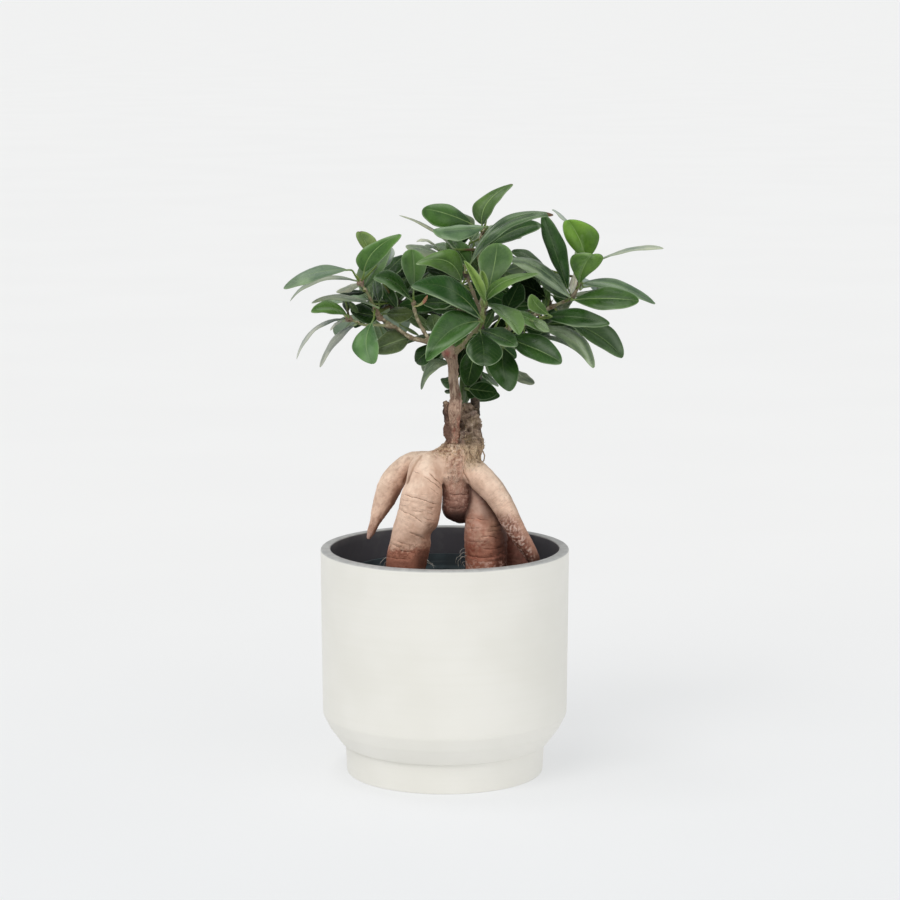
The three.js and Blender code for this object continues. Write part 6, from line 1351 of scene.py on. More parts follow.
    # stray ends that stand off: a spike, a looped rootlet and a few wisps
    fibre([[19.5, 1, 197.4, 0.9], [22.4, 0.5, 199.2, 0.75], [24.2, 0.5, 199.9, 0.12]], linear(98, 82, 58))
    fibre([[20.2, -1, 197.8, 0.42], [22.9, -1.4, 196.6, 0.40], [24.0, -1.6, 193.9, 0.38], [23.5, -1.8, 190.8, 0.36], [21.6, -2.0, 189.4, 0.34]], linear(150, 124, 88))
    for k in range(14):
        a = rng.uniform(0, 6.28)
        at = np.array([12.5 + 9.5 * math.cos(a), 1.5 + 9.0 * math.sin(a), rng.uniform(197, 203)])
        way = unit(np.array([math.cos(a), math.sin(a), rng.uniform(-0.6, 0.5)]))
        rows = []
        for j in range(6):
            rows.append([*at, 0.16 * (1 - 0.14 * j)])
            way = unit(way + rng.normal(0, 0.35, 3))
            at = at + way * 0.75
        fibre(rows, linear(176, 150, 110))
    v2, f2, at2 = merge(parts)
    ob = new_mesh("root_fibres", v2, f2, list(at2.items()))
    paint(ob, bark)
    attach(ob, "root")
    print("root_fibres", len(f2))
    return v, f, n


_grid = {}


def lookup(v, p, cell=2.0):
    """Nearest vertex, by a grid."""
    key = id(v)
    if key not in _grid:
        _grid.clear()
        table = {}
        for i, c in enumerate(map(tuple, np.floor(v / cell).astype(int))):
            table.setdefault(c, []).append(i)
        _grid[key] = table
    table = _grid[key]
    c = np.floor(np.asarray(p) / cell).astype(int)
    for reach in (1, 2, 4):
        found = []
        for dx in range(-reach, reach + 1):
            for dy in range(-reach, reach + 1):
                for dz in range(-reach, reach + 1):
                    found += table.get((c[0] + dx, c[1] + dy, c[2] + dz), [])
        if found:
            found = np.array(found)
            return int(found[((v[found] - p) ** 2).sum(1).argmin()])
    return int(((v - p) ** 2).sum(1).argmin())


# ------------------------------------------------------------------------------------------------ stems
def build_stem(which, branches, voxel, seeds):
    """A stem with its limbs and twigs as one skin, knotted where leaves and twigs leave it."""
    starts = [np.array(row[1:4]) for row in LEAVES]
    parts, chains = [], []
    for b, rows in enumerate(branches):
        c = curve_points(rows, 1.2)
        length = np.concatenate([[0], np.cumsum(np.linalg.norm(np.diff(c[:, :3], axis=0), axis=1))])
        r = c[:, 3].copy()
        # knots at the leaf stalks, and rings every few millimetres on the thin twigs
        for p in starts:
            dist = np.linalg.norm(c[:, :3] - p, axis=1)
            if dist.min() < 3.2:
                r = r + 0.50 * np.exp(-((length - length[dist.argmin()]) / 1.2) ** 2)
        thin = smooth(2.2, 1.5, r)
        r = r * (1 - 0.26 * smooth(2.4, 1.6, c[:, 3]) * smooth(4, 9, length)) * (1 + 0.20 * thin * np.sin(length / 2.1 + b) ** 8)
        c[:, 3] = r
        chains.append(c)
        parts.append(tube(c, 14, None, wobble=0.07, seed=seeds + b))
    v, f = remeshed(which, parts, voxel)
    v, f = largest_body(v, f)
    e = edges_of(f)
    v = relax(v, e, 3)
    n = normals_of(v, f)
    best, s, g, rad, own = np.full(len(v), 1e9), np.zeros(len(v)), np.zeros(len(v)), np.ones(len(v)), np.zeros(len(v), int)
    for k, c in enumerate(chains):
        lo, hi = c[:, :3].min(0) - 6, c[:, :3].max(0) + 6
        near = np.where(((v > lo) & (v < hi)).all(1))[0]
        if not len(near):
            continue
        tt, nn, bb = frames(c[:, :3])
        dist = np.empty(len(near))
        idx = np.empty(len(near), int)
        for a in range(0, len(near), 4000):
            block = near[a:a + 4000]
            m = np.linalg.norm(v[block][:, None, :] - c[None, :, :3], axis=2) - c[None, :, 3]
            idx[a:a + 4000], dist[a:a + 4000] = m.argmin(1), m.min(1)
        better = dist < best[near]
        w, i = near[better], idx[better]
        best[w] = dist[better]
        s[w], rad[w], own[w] = i * 1.2, c[i, 3], k
        rel = v[w] - c[i, :3]
        g[w] = np.arctan2((rel * bb[i]).sum(1), (rel * nn[i]).sum(1))
    return v, f, e, n, s, g, rad, own


def build_front_stem():
    branches = [[list(r) for r in b] for b in STEMS["front"]]
    v, f, e, n, s, g, rad, own = build_stem("front_stem", branches + [ROOTS["stump"]], 0.36, 70)
    stump = own == len(branches)
    z, (px, py) = v[:, 2], picture(v)
    trunk = blur(((own == 0) & (z < 257)).astype(float), e, 4)
    stub = blur(stump.astype(float), e, 4)
    limb = smooth(1.25, 2.2, rad)
    low = smooth(231, 222, z)
    # long fibres, cracks and lumps on the trunk; rings on the twigs
    fibre = noise3(np.c_[np.cos(g) * 2.6, np.sin(g) * 2.6, s / 9 + z * 0.02], 71) + 0.6 * noise3(np.c_[np.cos(g) * 5.5, np.sin(g) * 5.5, s / 5], 72)
    move = limb * (0.26 * fibre + 0.18 * fbm(v / 3.5, 3, 73)) + (1 - limb) * 0.07 * fbm(v / 1.3, 2, 74)
    move = move + low * np.maximum(trunk, stub) * (0.42 * fbm(v / 2.2, 3, 75) + 0.25 * noise3(v / 1.1, 82))
    move = move + stub * (0.70 * fbm(v / 2.6, 3, 76) + 0.1)
    ring = np.exp(-((py - 398.5) / 1.2) ** 2) * trunk
    move = move + 0.40 * np.exp(-((py - 401) / 1.6) ** 2) * trunk - 0.30 * ring
    # the stump's broken top
    crown = stub * smooth(222.5, 226, z)
    move = move + crown * 0.9 * noise3(v / 1.0, 83)
    # scar knots on the trunk and fork
    knots = [(444.5, 352, 4.4, 0.9), (449, 356, 2.6, 0.5), (452, 380, 2.6, 0.4), (460, 366, 2.0, 0.5), (458.5, 374, 1.8, 0.5), (449, 412, 3.0, 0.4), (446, 425, 2.4, 0.4)]
    groove = 0.8 * smooth(0.14, 0.0, np.abs(fibre)) * limb * smooth(-0.1, 0.25, fbm(v / 5, 2, 77) + 0.15)
    for kx, ky, kr, kh in knots:
        w = np.exp(-(((px - kx) / kr) ** 2 + ((py - ky) / kr) ** 2)) * (-n[:, 1] > -0.1)
        move = move + kh * w * np.clip(1 + noise3(v / 1.2, 78), 0, 2)
    move = move * (0.55 + 0.45 * smooth(0.9, 1.6, rad))
    # groove: painted shade in the gaps between fibres and in the cracks of the low trunk and stump
    groove = np.maximum(groove, 0.42 * low * np.maximum(trunk, stub) * smooth(0.14, 0.0, np.abs(noise3(v / 2.4, 84))))
    # slimmer on its right under the fork
    move = move - 0.95 * trunk * smooth(0.1, 0.8, n[:, 0]) * smooth(402, 382, py) * smooth(352, 360, py)
    v = v + n * move[:, None]
    n = normals_of(v, f)
    tan, pink, red, brown = linear(158, 139, 122), linear(200, 170, 152), linear(166, 122, 104), linear(124, 108, 84)
    skin = np.tile(tan, (len(v), 1))

    def blend(c, w):
        nonlocal skin
        skin = skin + (c - skin) * np.clip(w, 0, 1)[:, None]

    blend(linear(142, 124, 100), smooth(2.6, 1.8, rad) * 0.8)
    thin = smooth(1.9, 1.4, rad)
    blend(linear(140, 130, 106), thin * 0.9)
    # painted highlight on the thin twigs' upper left side
    blend(linear(196, 188, 160), thin * smooth(0.0, 0.3, fbm(v / 1.8, 3, 85)) * smooth(-0.6, 0.4, n[:, 2] - 0.6 * n[:, 0]) * 0.85)
    blend(linear(88, 72, 54), thin * smooth(0.04, 0.35, fbm(v / 1.2, 3, 89)) * 0.55)
    # painted shade under the thin twigs
    blend(linear(92, 78, 60), thin * smooth(0.0, -0.8, n[:, 2]) * 0.5)
    blend(linear(138, 148, 104), smooth(1.15, 0.90, rad) * 0.75)
    blend(linear(116, 134, 76), ((own == 6) | (own == 7)).astype(float) * 0.8)
    blend(pink, np.exp(-((py - 405) / 7) ** 2) * trunk * 0.85)
    streak = fbm(np.c_[v[:, :2] / 1.5, z[:, None] / 8], 3, 79)
    blend(linear(178, 160, 138), trunk * smooth(0.05, 0.4, streak) * (1 - low) * 0.7)
    blend(linear(104, 80, 66), trunk * smooth(-0.05, -0.4, streak) * (1 - low) * 0.8)
    blend(linear(128, 78, 68), trunk * (1 - low) * smooth(0.1, 0.7, n[:, 0]) * smooth(0.0, 0.4, fbm(v / 4, 2, 86) + 0.15) * 0.7)
    rough_patch = smooth(-0.15, 0.35, fbm(np.c_[v[:, :2] / 2.0, z[:, None] / 5], 3, 80) + 0.05)
    blend(linear(188, 156, 136), low * trunk * 0.55)
    blend(linear(186, 134, 116), low * trunk * rough_patch * smooth(222, 217, z) * 0.85)
    blend(linear(222, 192, 170), low * trunk * smooth(0.15, 0.42, fbm(np.c_[v[:, :2] / 0.8, z[:, None] / 1.8], 3, 87)) * 0.8)
    blend(linear(176, 132, 112), low * trunk * smooth(0.4, 0.95, n[:, 0]) * smooth(222, 216, z) * 0.6)
    blend(linear(118, 116, 86), ((own == 5) | (own == 7)).astype(float) * smooth(3.0, 1.8, rad) * 0.65)
    blend(linear(120, 76, 62), low * trunk * smooth(0.05, 0.35, fbm(np.c_[v[:, :2] / 1.1, z[:, None] / 2.2], 3, 69)) * 0.6)
    blend(linear(148, 78, 72), np.exp(-(((px - 447.5) / 3.2) ** 2 + ((py - 353.5) / 3.5) ** 2)) * 0.8)
    blend(linear(176, 146, 120), np.exp(-(((px - 441) / 2.2) ** 2 + ((py - 351) / 4.5) ** 2)) * 0.6)
    blend(linear(116, 86, 74), stub * 0.9)
    blend(linear(164, 134, 118), stub * smooth(0.05, 0.4, fbm(v / 2.0, 3, 81)) * 0.7)
    blend(linear(58, 44, 40), stub * smooth(0.3, -0.5, n[:, 0]) * smooth(214, 219, z) * 0.8)
    blend(linear(190, 168, 144), crown * smooth(0.0, 0.5, fbm(v / 1.2, 2, 88) + 0.2) * 0.8)
    blend(linear(116, 92, 76), trunk * smooth(240, 254, z) * 0.35)
    coarse = np.clip(0.28 * limb * (1 - low) + 0.75 * stub + 0.7 * low * trunk * smooth(223, 218, z), 0, 1)
    limb_at = np.c_[np.cos(g) * np.maximum(rad, 0.8) + own * 17.3, np.sin(g) * np.maximum(rad, 0.8), s]
    none = np.zeros(len(v))
    ob = new_mesh("front_stem_bark", v, f, [("skin", np.clip(skin, 0.005, 1)), ("limb", limb_at), ("groove", np.clip(groove, 0, 1) * 0.8), ("coarse", coarse), ("split", none + 9), ("splitw", none)])
    print("front_stem_bark", len(f))
    paint(ob, bark_material("front_stem_bark", grain=0.3, fibre=1.0, rough=0.68, spots=0.5, gloss=0.25))
    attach(ob, "root")
    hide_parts("front_stem")


def build_rear_stem():
    branches = [[list(r) for r in b] for b in STEMS["rear"]]
    v, f, e, n, s, g, rad, own = build_stem("rear_stem", branches, 0.45, 90)
    z, (px, py) = v[:, 2], picture(v)
    trunk = blur((own == 0).astype(float), e, 4)
    limb = smooth(1.3, 2.1, rad)
    fibre = noise3(np.c_[np.cos(g) * 2.4, np.sin(g) * 2.4, s / 8], 91) + 0.6 * noise3(np.c_[np.cos(g) * 5, np.sin(g) * 5, s / 4], 92)
    move = limb * (0.20 * fibre + 0.24 * fbm(v / 2.6, 3, 93)) + (1 - limb) * 0.07 * fbm(v / 1.3, 2, 94)
    move = move + smooth(228, 212, z) * trunk * (0.75 * fbm(v / 2.4, 3, 95) + 0.35 * noise3(v / 1.2, 98))
    # groove: painted shade in the gaps between fibres
    groove = 0.7 * smooth(0.14, 0.0, np.abs(fibre)) * limb
    v = v + n * move[:, None]
    dark, mid = linear(70, 62, 54), linear(100, 88, 74)
    skin = np.tile(dark, (len(v), 1))

    def blend(c, w):
        nonlocal skin
        skin = skin + (c - skin) * np.clip(w, 0, 1)[:, None]

    blend(mid, smooth(0.0, 0.45, fbm(v / 3, 3, 96)) * 0.7)
    blend(linear(150, 130, 112), smooth(0.2, 0.5, fbm(v / 1.6, 3, 97)) * 0.6 * trunk * smooth(236, 222, z))
    blend(linear(132, 122, 100), smooth(1.9, 1.4, rad) * 0.85)
    # painted highlight on the thin twigs' upper left side
    blend(linear(192, 186, 160), smooth(1.8, 1.3, rad) * smooth(0.0, 0.3, fbm(v / 1.8, 3, 99)) * smooth(-0.6, 0.4, n[:, 2] - 0.6 * n[:, 0]) * 0.8)
    blend(linear(136, 146, 102), smooth(1.12, 0.90, rad) * 0.75)
    coarse = np.clip(0.4 * limb + 0.4 * trunk * smooth(228, 216, z), 0, 1)
    limb_at = np.c_[np.cos(g) * np.maximum(rad, 0.8) + own * 17.3, np.sin(g) * np.maximum(rad, 0.8), s]
    none = np.zeros(len(v))
    ob = new_mesh("rear_stem_bark", v, f, [("skin", np.clip(skin, 0.005, 1)), ("limb", limb_at), ("groove", np.clip(groove, 0, 1) * 0.8), ("coarse", coarse), ("split", none + 9), ("splitw", none)])
    print("rear_stem_bark", len(f))
    paint(ob, bark_material("rear_stem_bark", grain=0.3, fibre=0.9, rough=0.72, spots=0.8, gloss=0.25))
    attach(ob, "root")
    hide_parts("rear_stem")


# ------------------------------------------------------------------------------------------------ leaves
# the greens seen on the plant; night, inner and forest stand for painted shade on blades deep in the crown, and grey,
# sage, pale, ash and silver for painted sheen on blades seen edge on
GREENS = {"night": (10, 26, 13), "inner": (26, 50, 22), "moss": (43, 61, 33), "dark": (35, 67, 25), "deep": (46, 80, 36), "slate": (56, 80, 52),
          "mid": (56, 92, 37), "greymid": (66, 95, 57), "leafy": (72, 102, 50), "soft": (88, 120, 70), "fresh": (80, 114, 50), "bright": (90, 125, 48),
          "olive": (64, 82, 48), "drab": (88, 104, 68), "grey": (96, 118, 87), "pale": (130, 146, 124), "silver": (172, 180, 168),
          "young": (86, 118, 50), "lime": (100, 130, 62), "limelit": (116, 144, 80),
          "teal": (60, 92, 53), "sun": (116, 156, 60), "sage": (114, 132, 106), "moss2": (84, 100, 62), "ash": (150, 158, 147), "forest": (28, 57, 20)}
BY_SLOT = ["dark", "mid", "leafy", "grey", "young", "olive", "leafy"]
SHADES = {
    "inner": "centre_inner_back left_upper_shaded crown_inner_dark rear_far_left_3 rear_far_right_5 rear_far_left_5 rear_far_left_1 rear_top_5 rear_centre_8 rear_right_5 inner_shade_9 inner_shade_11 inner_shade_20 inner_shade_22",
    "night": "right_inner_back rear_low_4 rear_low_right_4 rear_low_2",
    "drab": "inner_shade_14 side_left_back_3",
    "deep": "inner_shade_15 right_low_dark left_inner_narrow",
    "dark": "inner_shade_3 left_back_dark inner_shade_16 centre_left_under left_inner_dark inner_shade_1 inner_shade_12 low_rear_dark centre_left_large right_middle_dark low_hanging_dark rear_low_right_3 inner_shade_6 inner_shade_8 left_shaded low_left_rear top_right_dark side_left_back_1 inner_shade_21 inner_shade_23",
    "leafy": "inner_shade_18 inner_shade_2 top_point rear_crown_1",
    "moss2": "inner_shade_4 low_rear_tall left_inner_low centre_left_round left_lower_olive rear_right_8",
    "moss": "rear_low_3 rear_left_7 left_outer_small rear_right_2 low_left_sliver rear_left_2 rear_left_3 rear_low_6",
    "mid": "inner_shade_13 centre_bright right_outer_dark crown_centre_green left_inner_bright rear_centre_3 top_left_dark",
    "grey": "inner_shade_17 top_left_grey right_outer_light right_inner_small crown_left_rear",
    "greymid": "inner_shade_19 left_top_inner rear_right_6 right_middle_rear right_inner_dark right_crown_dark top_right_long",
    "forest": "centre_hanging",
    "teal": "right_top_large centre_low_right",
    "soft": "inner_shade_7 rear_top_4 left_hanging centre_right_light centre_round upright_centre_left right_inner_grey",
    "slate": "low_rear_strip rear_low_right_1 low_left_spike",
    "fresh": "crown_left_arched left_top_large left_outer_bright young_right",
    "sun": "right_top_bright",
    "lime": "right_folded_yellow young_middle",
    "limelit": "young_left left_top_small",
    "pale": "rear_low_1 left_middle_edge side_left_back_5 rear_right_1 crown_left_rear_dot rear_far_right_2 rear_far_right_3 crown_left_grey rear_far_left_7 rear_far_left_2 rear_top_3",
    "ash": "left_top_back rear_low_right_2 low_small left_upper_edge left_drooping",
    "sage": "right_inner_triangle inner_shade_5 right_striped_grey right_low_grey low_curved_olive left_upper_arched",
    "silver": "inner_shade_10 right_outer_edge top_left_edge left_lower_curved left_upper_pale crown_left_rear_thin left_lower_rear right_top_edge rear_far_right_1",
    "young": "right_inner_young",
}
SHADE_OF = {leaf: green for green, leaves in SHADES.items() for leaf in leaves.split()}
# Lights and shades on single blades: lines in the reference view, reach (pixels) and strength, light above zero.
SHEEN = {
    "left_upper_arched": [([(300, 276), (320, 271), (340, 271)], 5, 0.26), ([(286, 286), (295, 283)], 4, -0.5), ([(312, 280), (330, 276), (342, 272.5)], 1.6, -0.4)],
    "left_upper_edge": [([(340, 279), (353, 281)], 2.4, -0.55), ([(342, 277), (354, 278)], 1.2, 0.3), ([(292, 298), (297, 289)], 1.5, -0.2)],
    "left_upper_shaded": [([(341, 294), (368, 293)], 4, -0.6)],
    "left_middle_edge": [([(322, 299), (338, 298.5)], 1.3, 0.35), ([(311, 302), (316, 300)], 2.2, -0.6), ([(345, 299), (360, 301), (370, 304)], 1.3, -0.6), ([(330, 296), (345, 296), (362, 297.5)], 1.2, 0.4)],
    "left_outer_bright": [([(318, 309.5), (332, 309), (343, 312)], 1.2, 0.35), ([(318, 312.5), (335, 313)], 1.5, -0.4)],
    "left_outer_small": [([(343, 302), (348, 301)], 2.5, 0.45), ([(346, 307), (348, 311)], 2.8, -0.8)],
    "left_lower_curved": [([(330, 321), (346, 319)], 3, -0.45)],
    "left_drooping": [([(340, 327), (351, 326)], 4.5, -0.95), ([(337, 333), (330, 343), (326, 352)], 2.2, 0.35), ([(347, 332), (338, 341), (329, 351)], 1.8, -0.6)],
    "left_hanging": [([(354, 334), (352.5, 346), (357, 357)], 2.6, -0.6), ([(370, 350), (367, 360)], 5, 0.30), ([(366, 330), (364.5, 343)], 1.2, 0.25), ([(373, 327), (376, 338)], 5, -0.35)],
    "left_lower_olive": [([(384, 348), (396, 342), (408, 334)], 1.3, 0.35), ([(392, 336), (402, 333)], 4, -0.3)],
    "left_top_large": [([(364, 249), (372, 243), (381, 239.5)], 1.4, 0.5), ([(385, 237.5), (396, 235)], 2.2, 0.5), ([(361, 253), (361, 264), (363, 270)], 2.4, -0.5), ([(372, 262), (382, 250)], 3, -0.15)],
    "left_top_small": [([(358, 236), (362, 247)], 1.8, -0.4), ([(366, 240), (372, 240)], 3, 0.15)],
    "left_top_inner": [([(377, 264), (383, 254)], 4, 0.25), ([(386, 262), (390, 252)], 3, 0.15)],
    "young_left": [([(359, 280), (366, 271), (374, 261)], 1.3, 0.5)],
    "left_inner_bright": [([(374, 277.5), (384, 281.5), (394, 289), (407, 299)], 1.4, 0.5), ([(376, 286), (378, 296)], 4, -0.3), ([(392, 273), (404, 277)], 4, -0.2)],
    "upright_centre_left": [([(401.5, 262), (404, 275), (409.5, 289)], 1.3, 0.45), ([(413, 254), (414, 270), (413, 285)], 2.0, 0.2), ([(406, 258), (407, 270)], 2.5, -0.35), ([(420, 262), (420, 274)], 3, -0.2)],
    "centre_left_large": [([(413, 286.5), (424, 289.5), (438, 297), (452, 304), (463, 306), (472, 309)], 1.6, 0.5), ([(450, 284), (453, 297)], 4, 0.20), ([(467, 283), (472, 298)], 5, -0.4), ([(430, 281), (440, 283)], 4, -0.1)],
    "centre_bright": [([(426, 350), (433, 348.5), (447, 344), (462, 334), (477, 322)], 1.5, 0.5), ([(450, 307), (462, 308), (474, 314)], 5.5, -0.85), ([(432, 345), (445, 333), (452, 326)], 5, 0.16), ([(456, 330), (470, 320)], 2.5, 0.2), ([(424.5, 357), (426, 346)], 1.6, 0.4)],
    "crown_left_arched": [([(418, 263), (430, 258), (441, 253)], 2.0, 0.5), ([(458, 256), (466, 266)], 4, -0.25), ([(444, 267), (454, 274)], 3, 0.12)],
    "top_left_dark": [([(431, 205.5), (444, 205), (456, 208.5)], 2.2, 0.35), ([(424, 209), (426, 215)], 2.5, -0.5), ([(461, 214), (469, 223)], 3.5, -0.6), ([(440, 218), (450, 222)], 3, 0.1), ([(436, 213), (446, 215)], 2.0, -0.2)],
    "top_left_grey": [([(438, 229), (450, 226), (466, 225), (482, 226.5)], 1.6, 0.6), ([(445, 232), (458, 231), (472, 229.5)], 2, -0.55), ([(442, 236), (452, 239.5), (457, 240)], 1.4, 0.5)],
    "top_point": [([(475, 205), (474, 215)], 2.5, -0.5), ([(496, 197), (503, 192)], 2, 0.3), ([(489, 214), (497, 203)], 2, -0.2)],
    "top_right_long": [([(473, 258), (477, 246), (487, 235), (503, 228)], 1.8, 0.35), ([(508, 224), (525, 218), (542, 214)], 1.2, 0.35), ([(505, 219), (520, 213), (535, 211.5), (548, 213)], 1.3, 0.35),
                       ([(496, 227), (515, 220), (532, 215)], 1.6, -0.7), ([(476, 256), (484, 242), (496, 234)], 1.5, -0.5), ([(484, 247), (495, 238)], 1.8, -0.5), ([(500, 231), (520, 223), (535, 219)], 1.3, -0.4), ([(546, 215), (552, 219)], 2.2, -0.5)],
    "top_right_dark": [([(500, 240), (515, 231), (533, 226)], 2.4, 0.18), ([(490, 247), (505, 243), (520, 238)], 1.8, -0.4), ([(537, 220), (540, 228)], 1.4, 0.5), ([(495, 236), (510, 228), (525, 223)], 1.4, -0.3)],
    "right_top_large": [([(545, 224), (551, 236), (557, 252)], 3.0, 0.25), ([(561, 262), (565, 276)], 1.4, 0.4), ([(560, 234), (566, 256)], 3, -0.55), ([(541.5, 228), (545, 244), (550, 256)], 2.2, -0.5)],
    "right_top_bright": [([(565, 233), (567, 246)], 2.2, -0.4), ([(597, 233), (598, 246)], 2.0, -0.45), ([(571, 240), (577, 250)], 3, -0.3), ([(574, 226), (588, 234)], 4, 0.12), ([(581.5, 236), (583, 250)], 1.3, 0.4)],
    "right_folded_yellow": [([(571, 251.5), (583, 253), (594, 257)], 1.6, 0.45), ([(572, 256), (576, 269)], 3, -0.45), ([(600, 259), (604, 263)], 2.5, -0.55), ([(588, 264), (596, 262)], 3, 0.1)],
    "right_outer_light": [([(598, 279), (615, 281.5), (635, 292), (652, 303)], 2.0, -0.6), ([(588, 283), (602, 283), (622, 287.5), (638, 298)], 1.8, 0.45), ([(585, 285), (600, 286.5), (612, 289)], 1.2, -0.4)],
    "right_outer_dark": [([(595, 306), (612, 307), (628, 304)], 2.5, 0.25), ([(586, 294), (602, 291)], 3, -0.2), ([(585, 300), (600, 302)], 1.8, -0.25)],
    "right_middle_dark": [([(556, 325.5), (575, 325.5), (592, 324.5), (606, 323)], 1.5, 0.45), ([(590, 315), (600, 320)], 4, 0.28), ([(551, 318), (561, 316)], 5, -0.55), ([(566, 317), (582, 317)], 1.3, 0.15)],
    "right_middle_rear": [([(603, 326), (613, 336), (621, 350)], 2.8, 0.35), ([(588, 332), (602, 346)], 3, -0.35)],
    "right_low_grey": [([(553, 327), (567, 332), (579, 342), (587, 355), (590, 366)], 2.2, 0.85), ([(556, 336), (573, 345), (585, 358)], 2.2, -0.75), ([(570, 327), (584, 340), (592, 360)], 2.2, -0.75)],
    "right_low_dark": [([(540, 341), (553, 352)], 4, 0.22), ([(520, 352), (538, 361)], 3.5, -0.4), ([(520, 338), (532, 341)], 4, -0.2), ([(556, 365), (562, 360)], 2.5, 0.2)],
    "right_striped_grey": [([(511, 264), (525, 266), (540, 275), (560, 290), (570, 298)], 1.6, 0.55), ([(512, 258.5), (525, 259.5), (540, 266)], 1.3, 0.4), ([(511, 261.5), (525, 262.5), (539, 270), (552, 280)], 1.3, -0.7),
                           ([(515, 270), (530, 271.5), (545, 282), (560, 294)], 1.8, -0.6), ([(545, 267), (555, 277), (563, 290)], 1.5, -0.5), ([(550, 268), (560, 278), (567, 292)], 1.3, 0.35)],
    "centre_round": [([(479, 262), (481, 272)], 1.6, 0.3), ([(488, 274), (505, 268)], 6, 0.24), ([(484, 251), (502, 249)], 6, -0.3)],
    "centre_right_light": [([(500, 308), (508, 318), (514, 332)], 1.6, 0.45), ([(505, 311), (515, 322)], 3, 0.1), ([(520, 316), (526, 324)], 3, -0.12)],
    "right_inner_small": [([(540, 322), (547, 328)], 3, 0.35), ([(524, 318), (535, 322)], 3, -0.4)],
    "centre_low_right": [([(478, 331), (487, 339), (500, 345), (511, 349)], 1.6, 0.5), ([(495, 330), (505, 337)], 5, 0.1), ([(512, 349), (518, 342)], 1.4, 0.4), ([(484, 329), (492, 329)], 4, -0.3)],
    "centre_hanging": [([(468.5, 345), (470.5, 358), (474, 364)], 1.5, 0.5), ([(474, 364), (484, 364), (494, 365)], 1.3, 0.35), ([(484, 341), (497, 346)], 7, -0.55), ([(478, 357), (488, 360)], 4, 0.15)],
    "low_hanging_dark": [([(500, 373), (511, 378), (508, 388)], 5, 0.35), ([(499, 354), (511, 361)], 7, -0.55), ([(497, 368), (503, 380)], 1.5, -0.3)],
    "low_curved_olive": [([(427, 372), (434, 365), (444, 362.5)], 2.2, 0.12), ([(424, 377), (430, 370.5), (443, 367.5)], 1.3, -0.6), ([(421, 388), (422.5, 381)], 2, -0.6)],
    "low_rear_dark": [([(469.5, 386), (474, 378), (480, 373)], 1.3, 0.45), ([(470, 398.5), (478, 397), (487, 398.8)], 1.3, 0.3), ([(478, 388), (490, 392)], 6, -0.5)],
    "young_right": [([(486, 291), (496, 286)], 2.5, -0.35), ([(505, 277), (522, 274.5)], 2.0, 0.25)],
    "young_middle": [([(479, 272), (484, 285)], 1.5, 0.3)],
    "low_small": [([(524, 378), (533, 382)], 2.5, -0.6), ([(519, 374), (524, 378)], 2, 0.2)],
    "left_lower_rear": [([(332, 328), (338, 323)], 2, -0.2)],
}
RIBS = {"right_top_bright": 1.0, "right_folded_yellow": 1.0, "top_left_dark": 0.9, "top_point": 1.0, "left_top_large": 1.0, "crown_left_arched": 0.95, "right_outer_dark": 0.85, "right_low_dark": 0.85,
        "centre_round": 0.8, "right_top_large": 0.6, "left_inner_bright": 0.3, "centre_hanging": 0.12, "centre_left_large": 0.15, "centre_bright": 0.25, "right_middle_dark": 0.3, "low_hanging_dark": 0.2,
        "low_curved_olive": 0.3, "left_lower_olive": 0.8}
# deep in the crown the blades are in shade and don't shine
SHINE = {"night": 0.0, "inner": 0.08, "forest": 0.3, "moss": 0.25, "slate": 0.35, "dark": 0.45}
FACED = ("right_top_large", "right_folded_yellow", "rear_low_4", "rear_low_2", "rear_far_right_5", "rear_far_left_5")
# strength of the painted sheen streaks: these blades, and every blade of the grey slot a little
STREAKED = {"top_right_long": 1.0, "right_striped_grey": 0.7, "left_upper_pale": 0.5, "crown_left_grey": 0.4}
BURNT = {"top_right_long": 0.95, "top_point": 0.6, "left_top_small": 0.6, "top_right_dark": 0.0}
ACROSS = np.array([0, 0.07, 0.17, 0.31, 0.47, 0.63, 0.79, 0.92, 1.0])


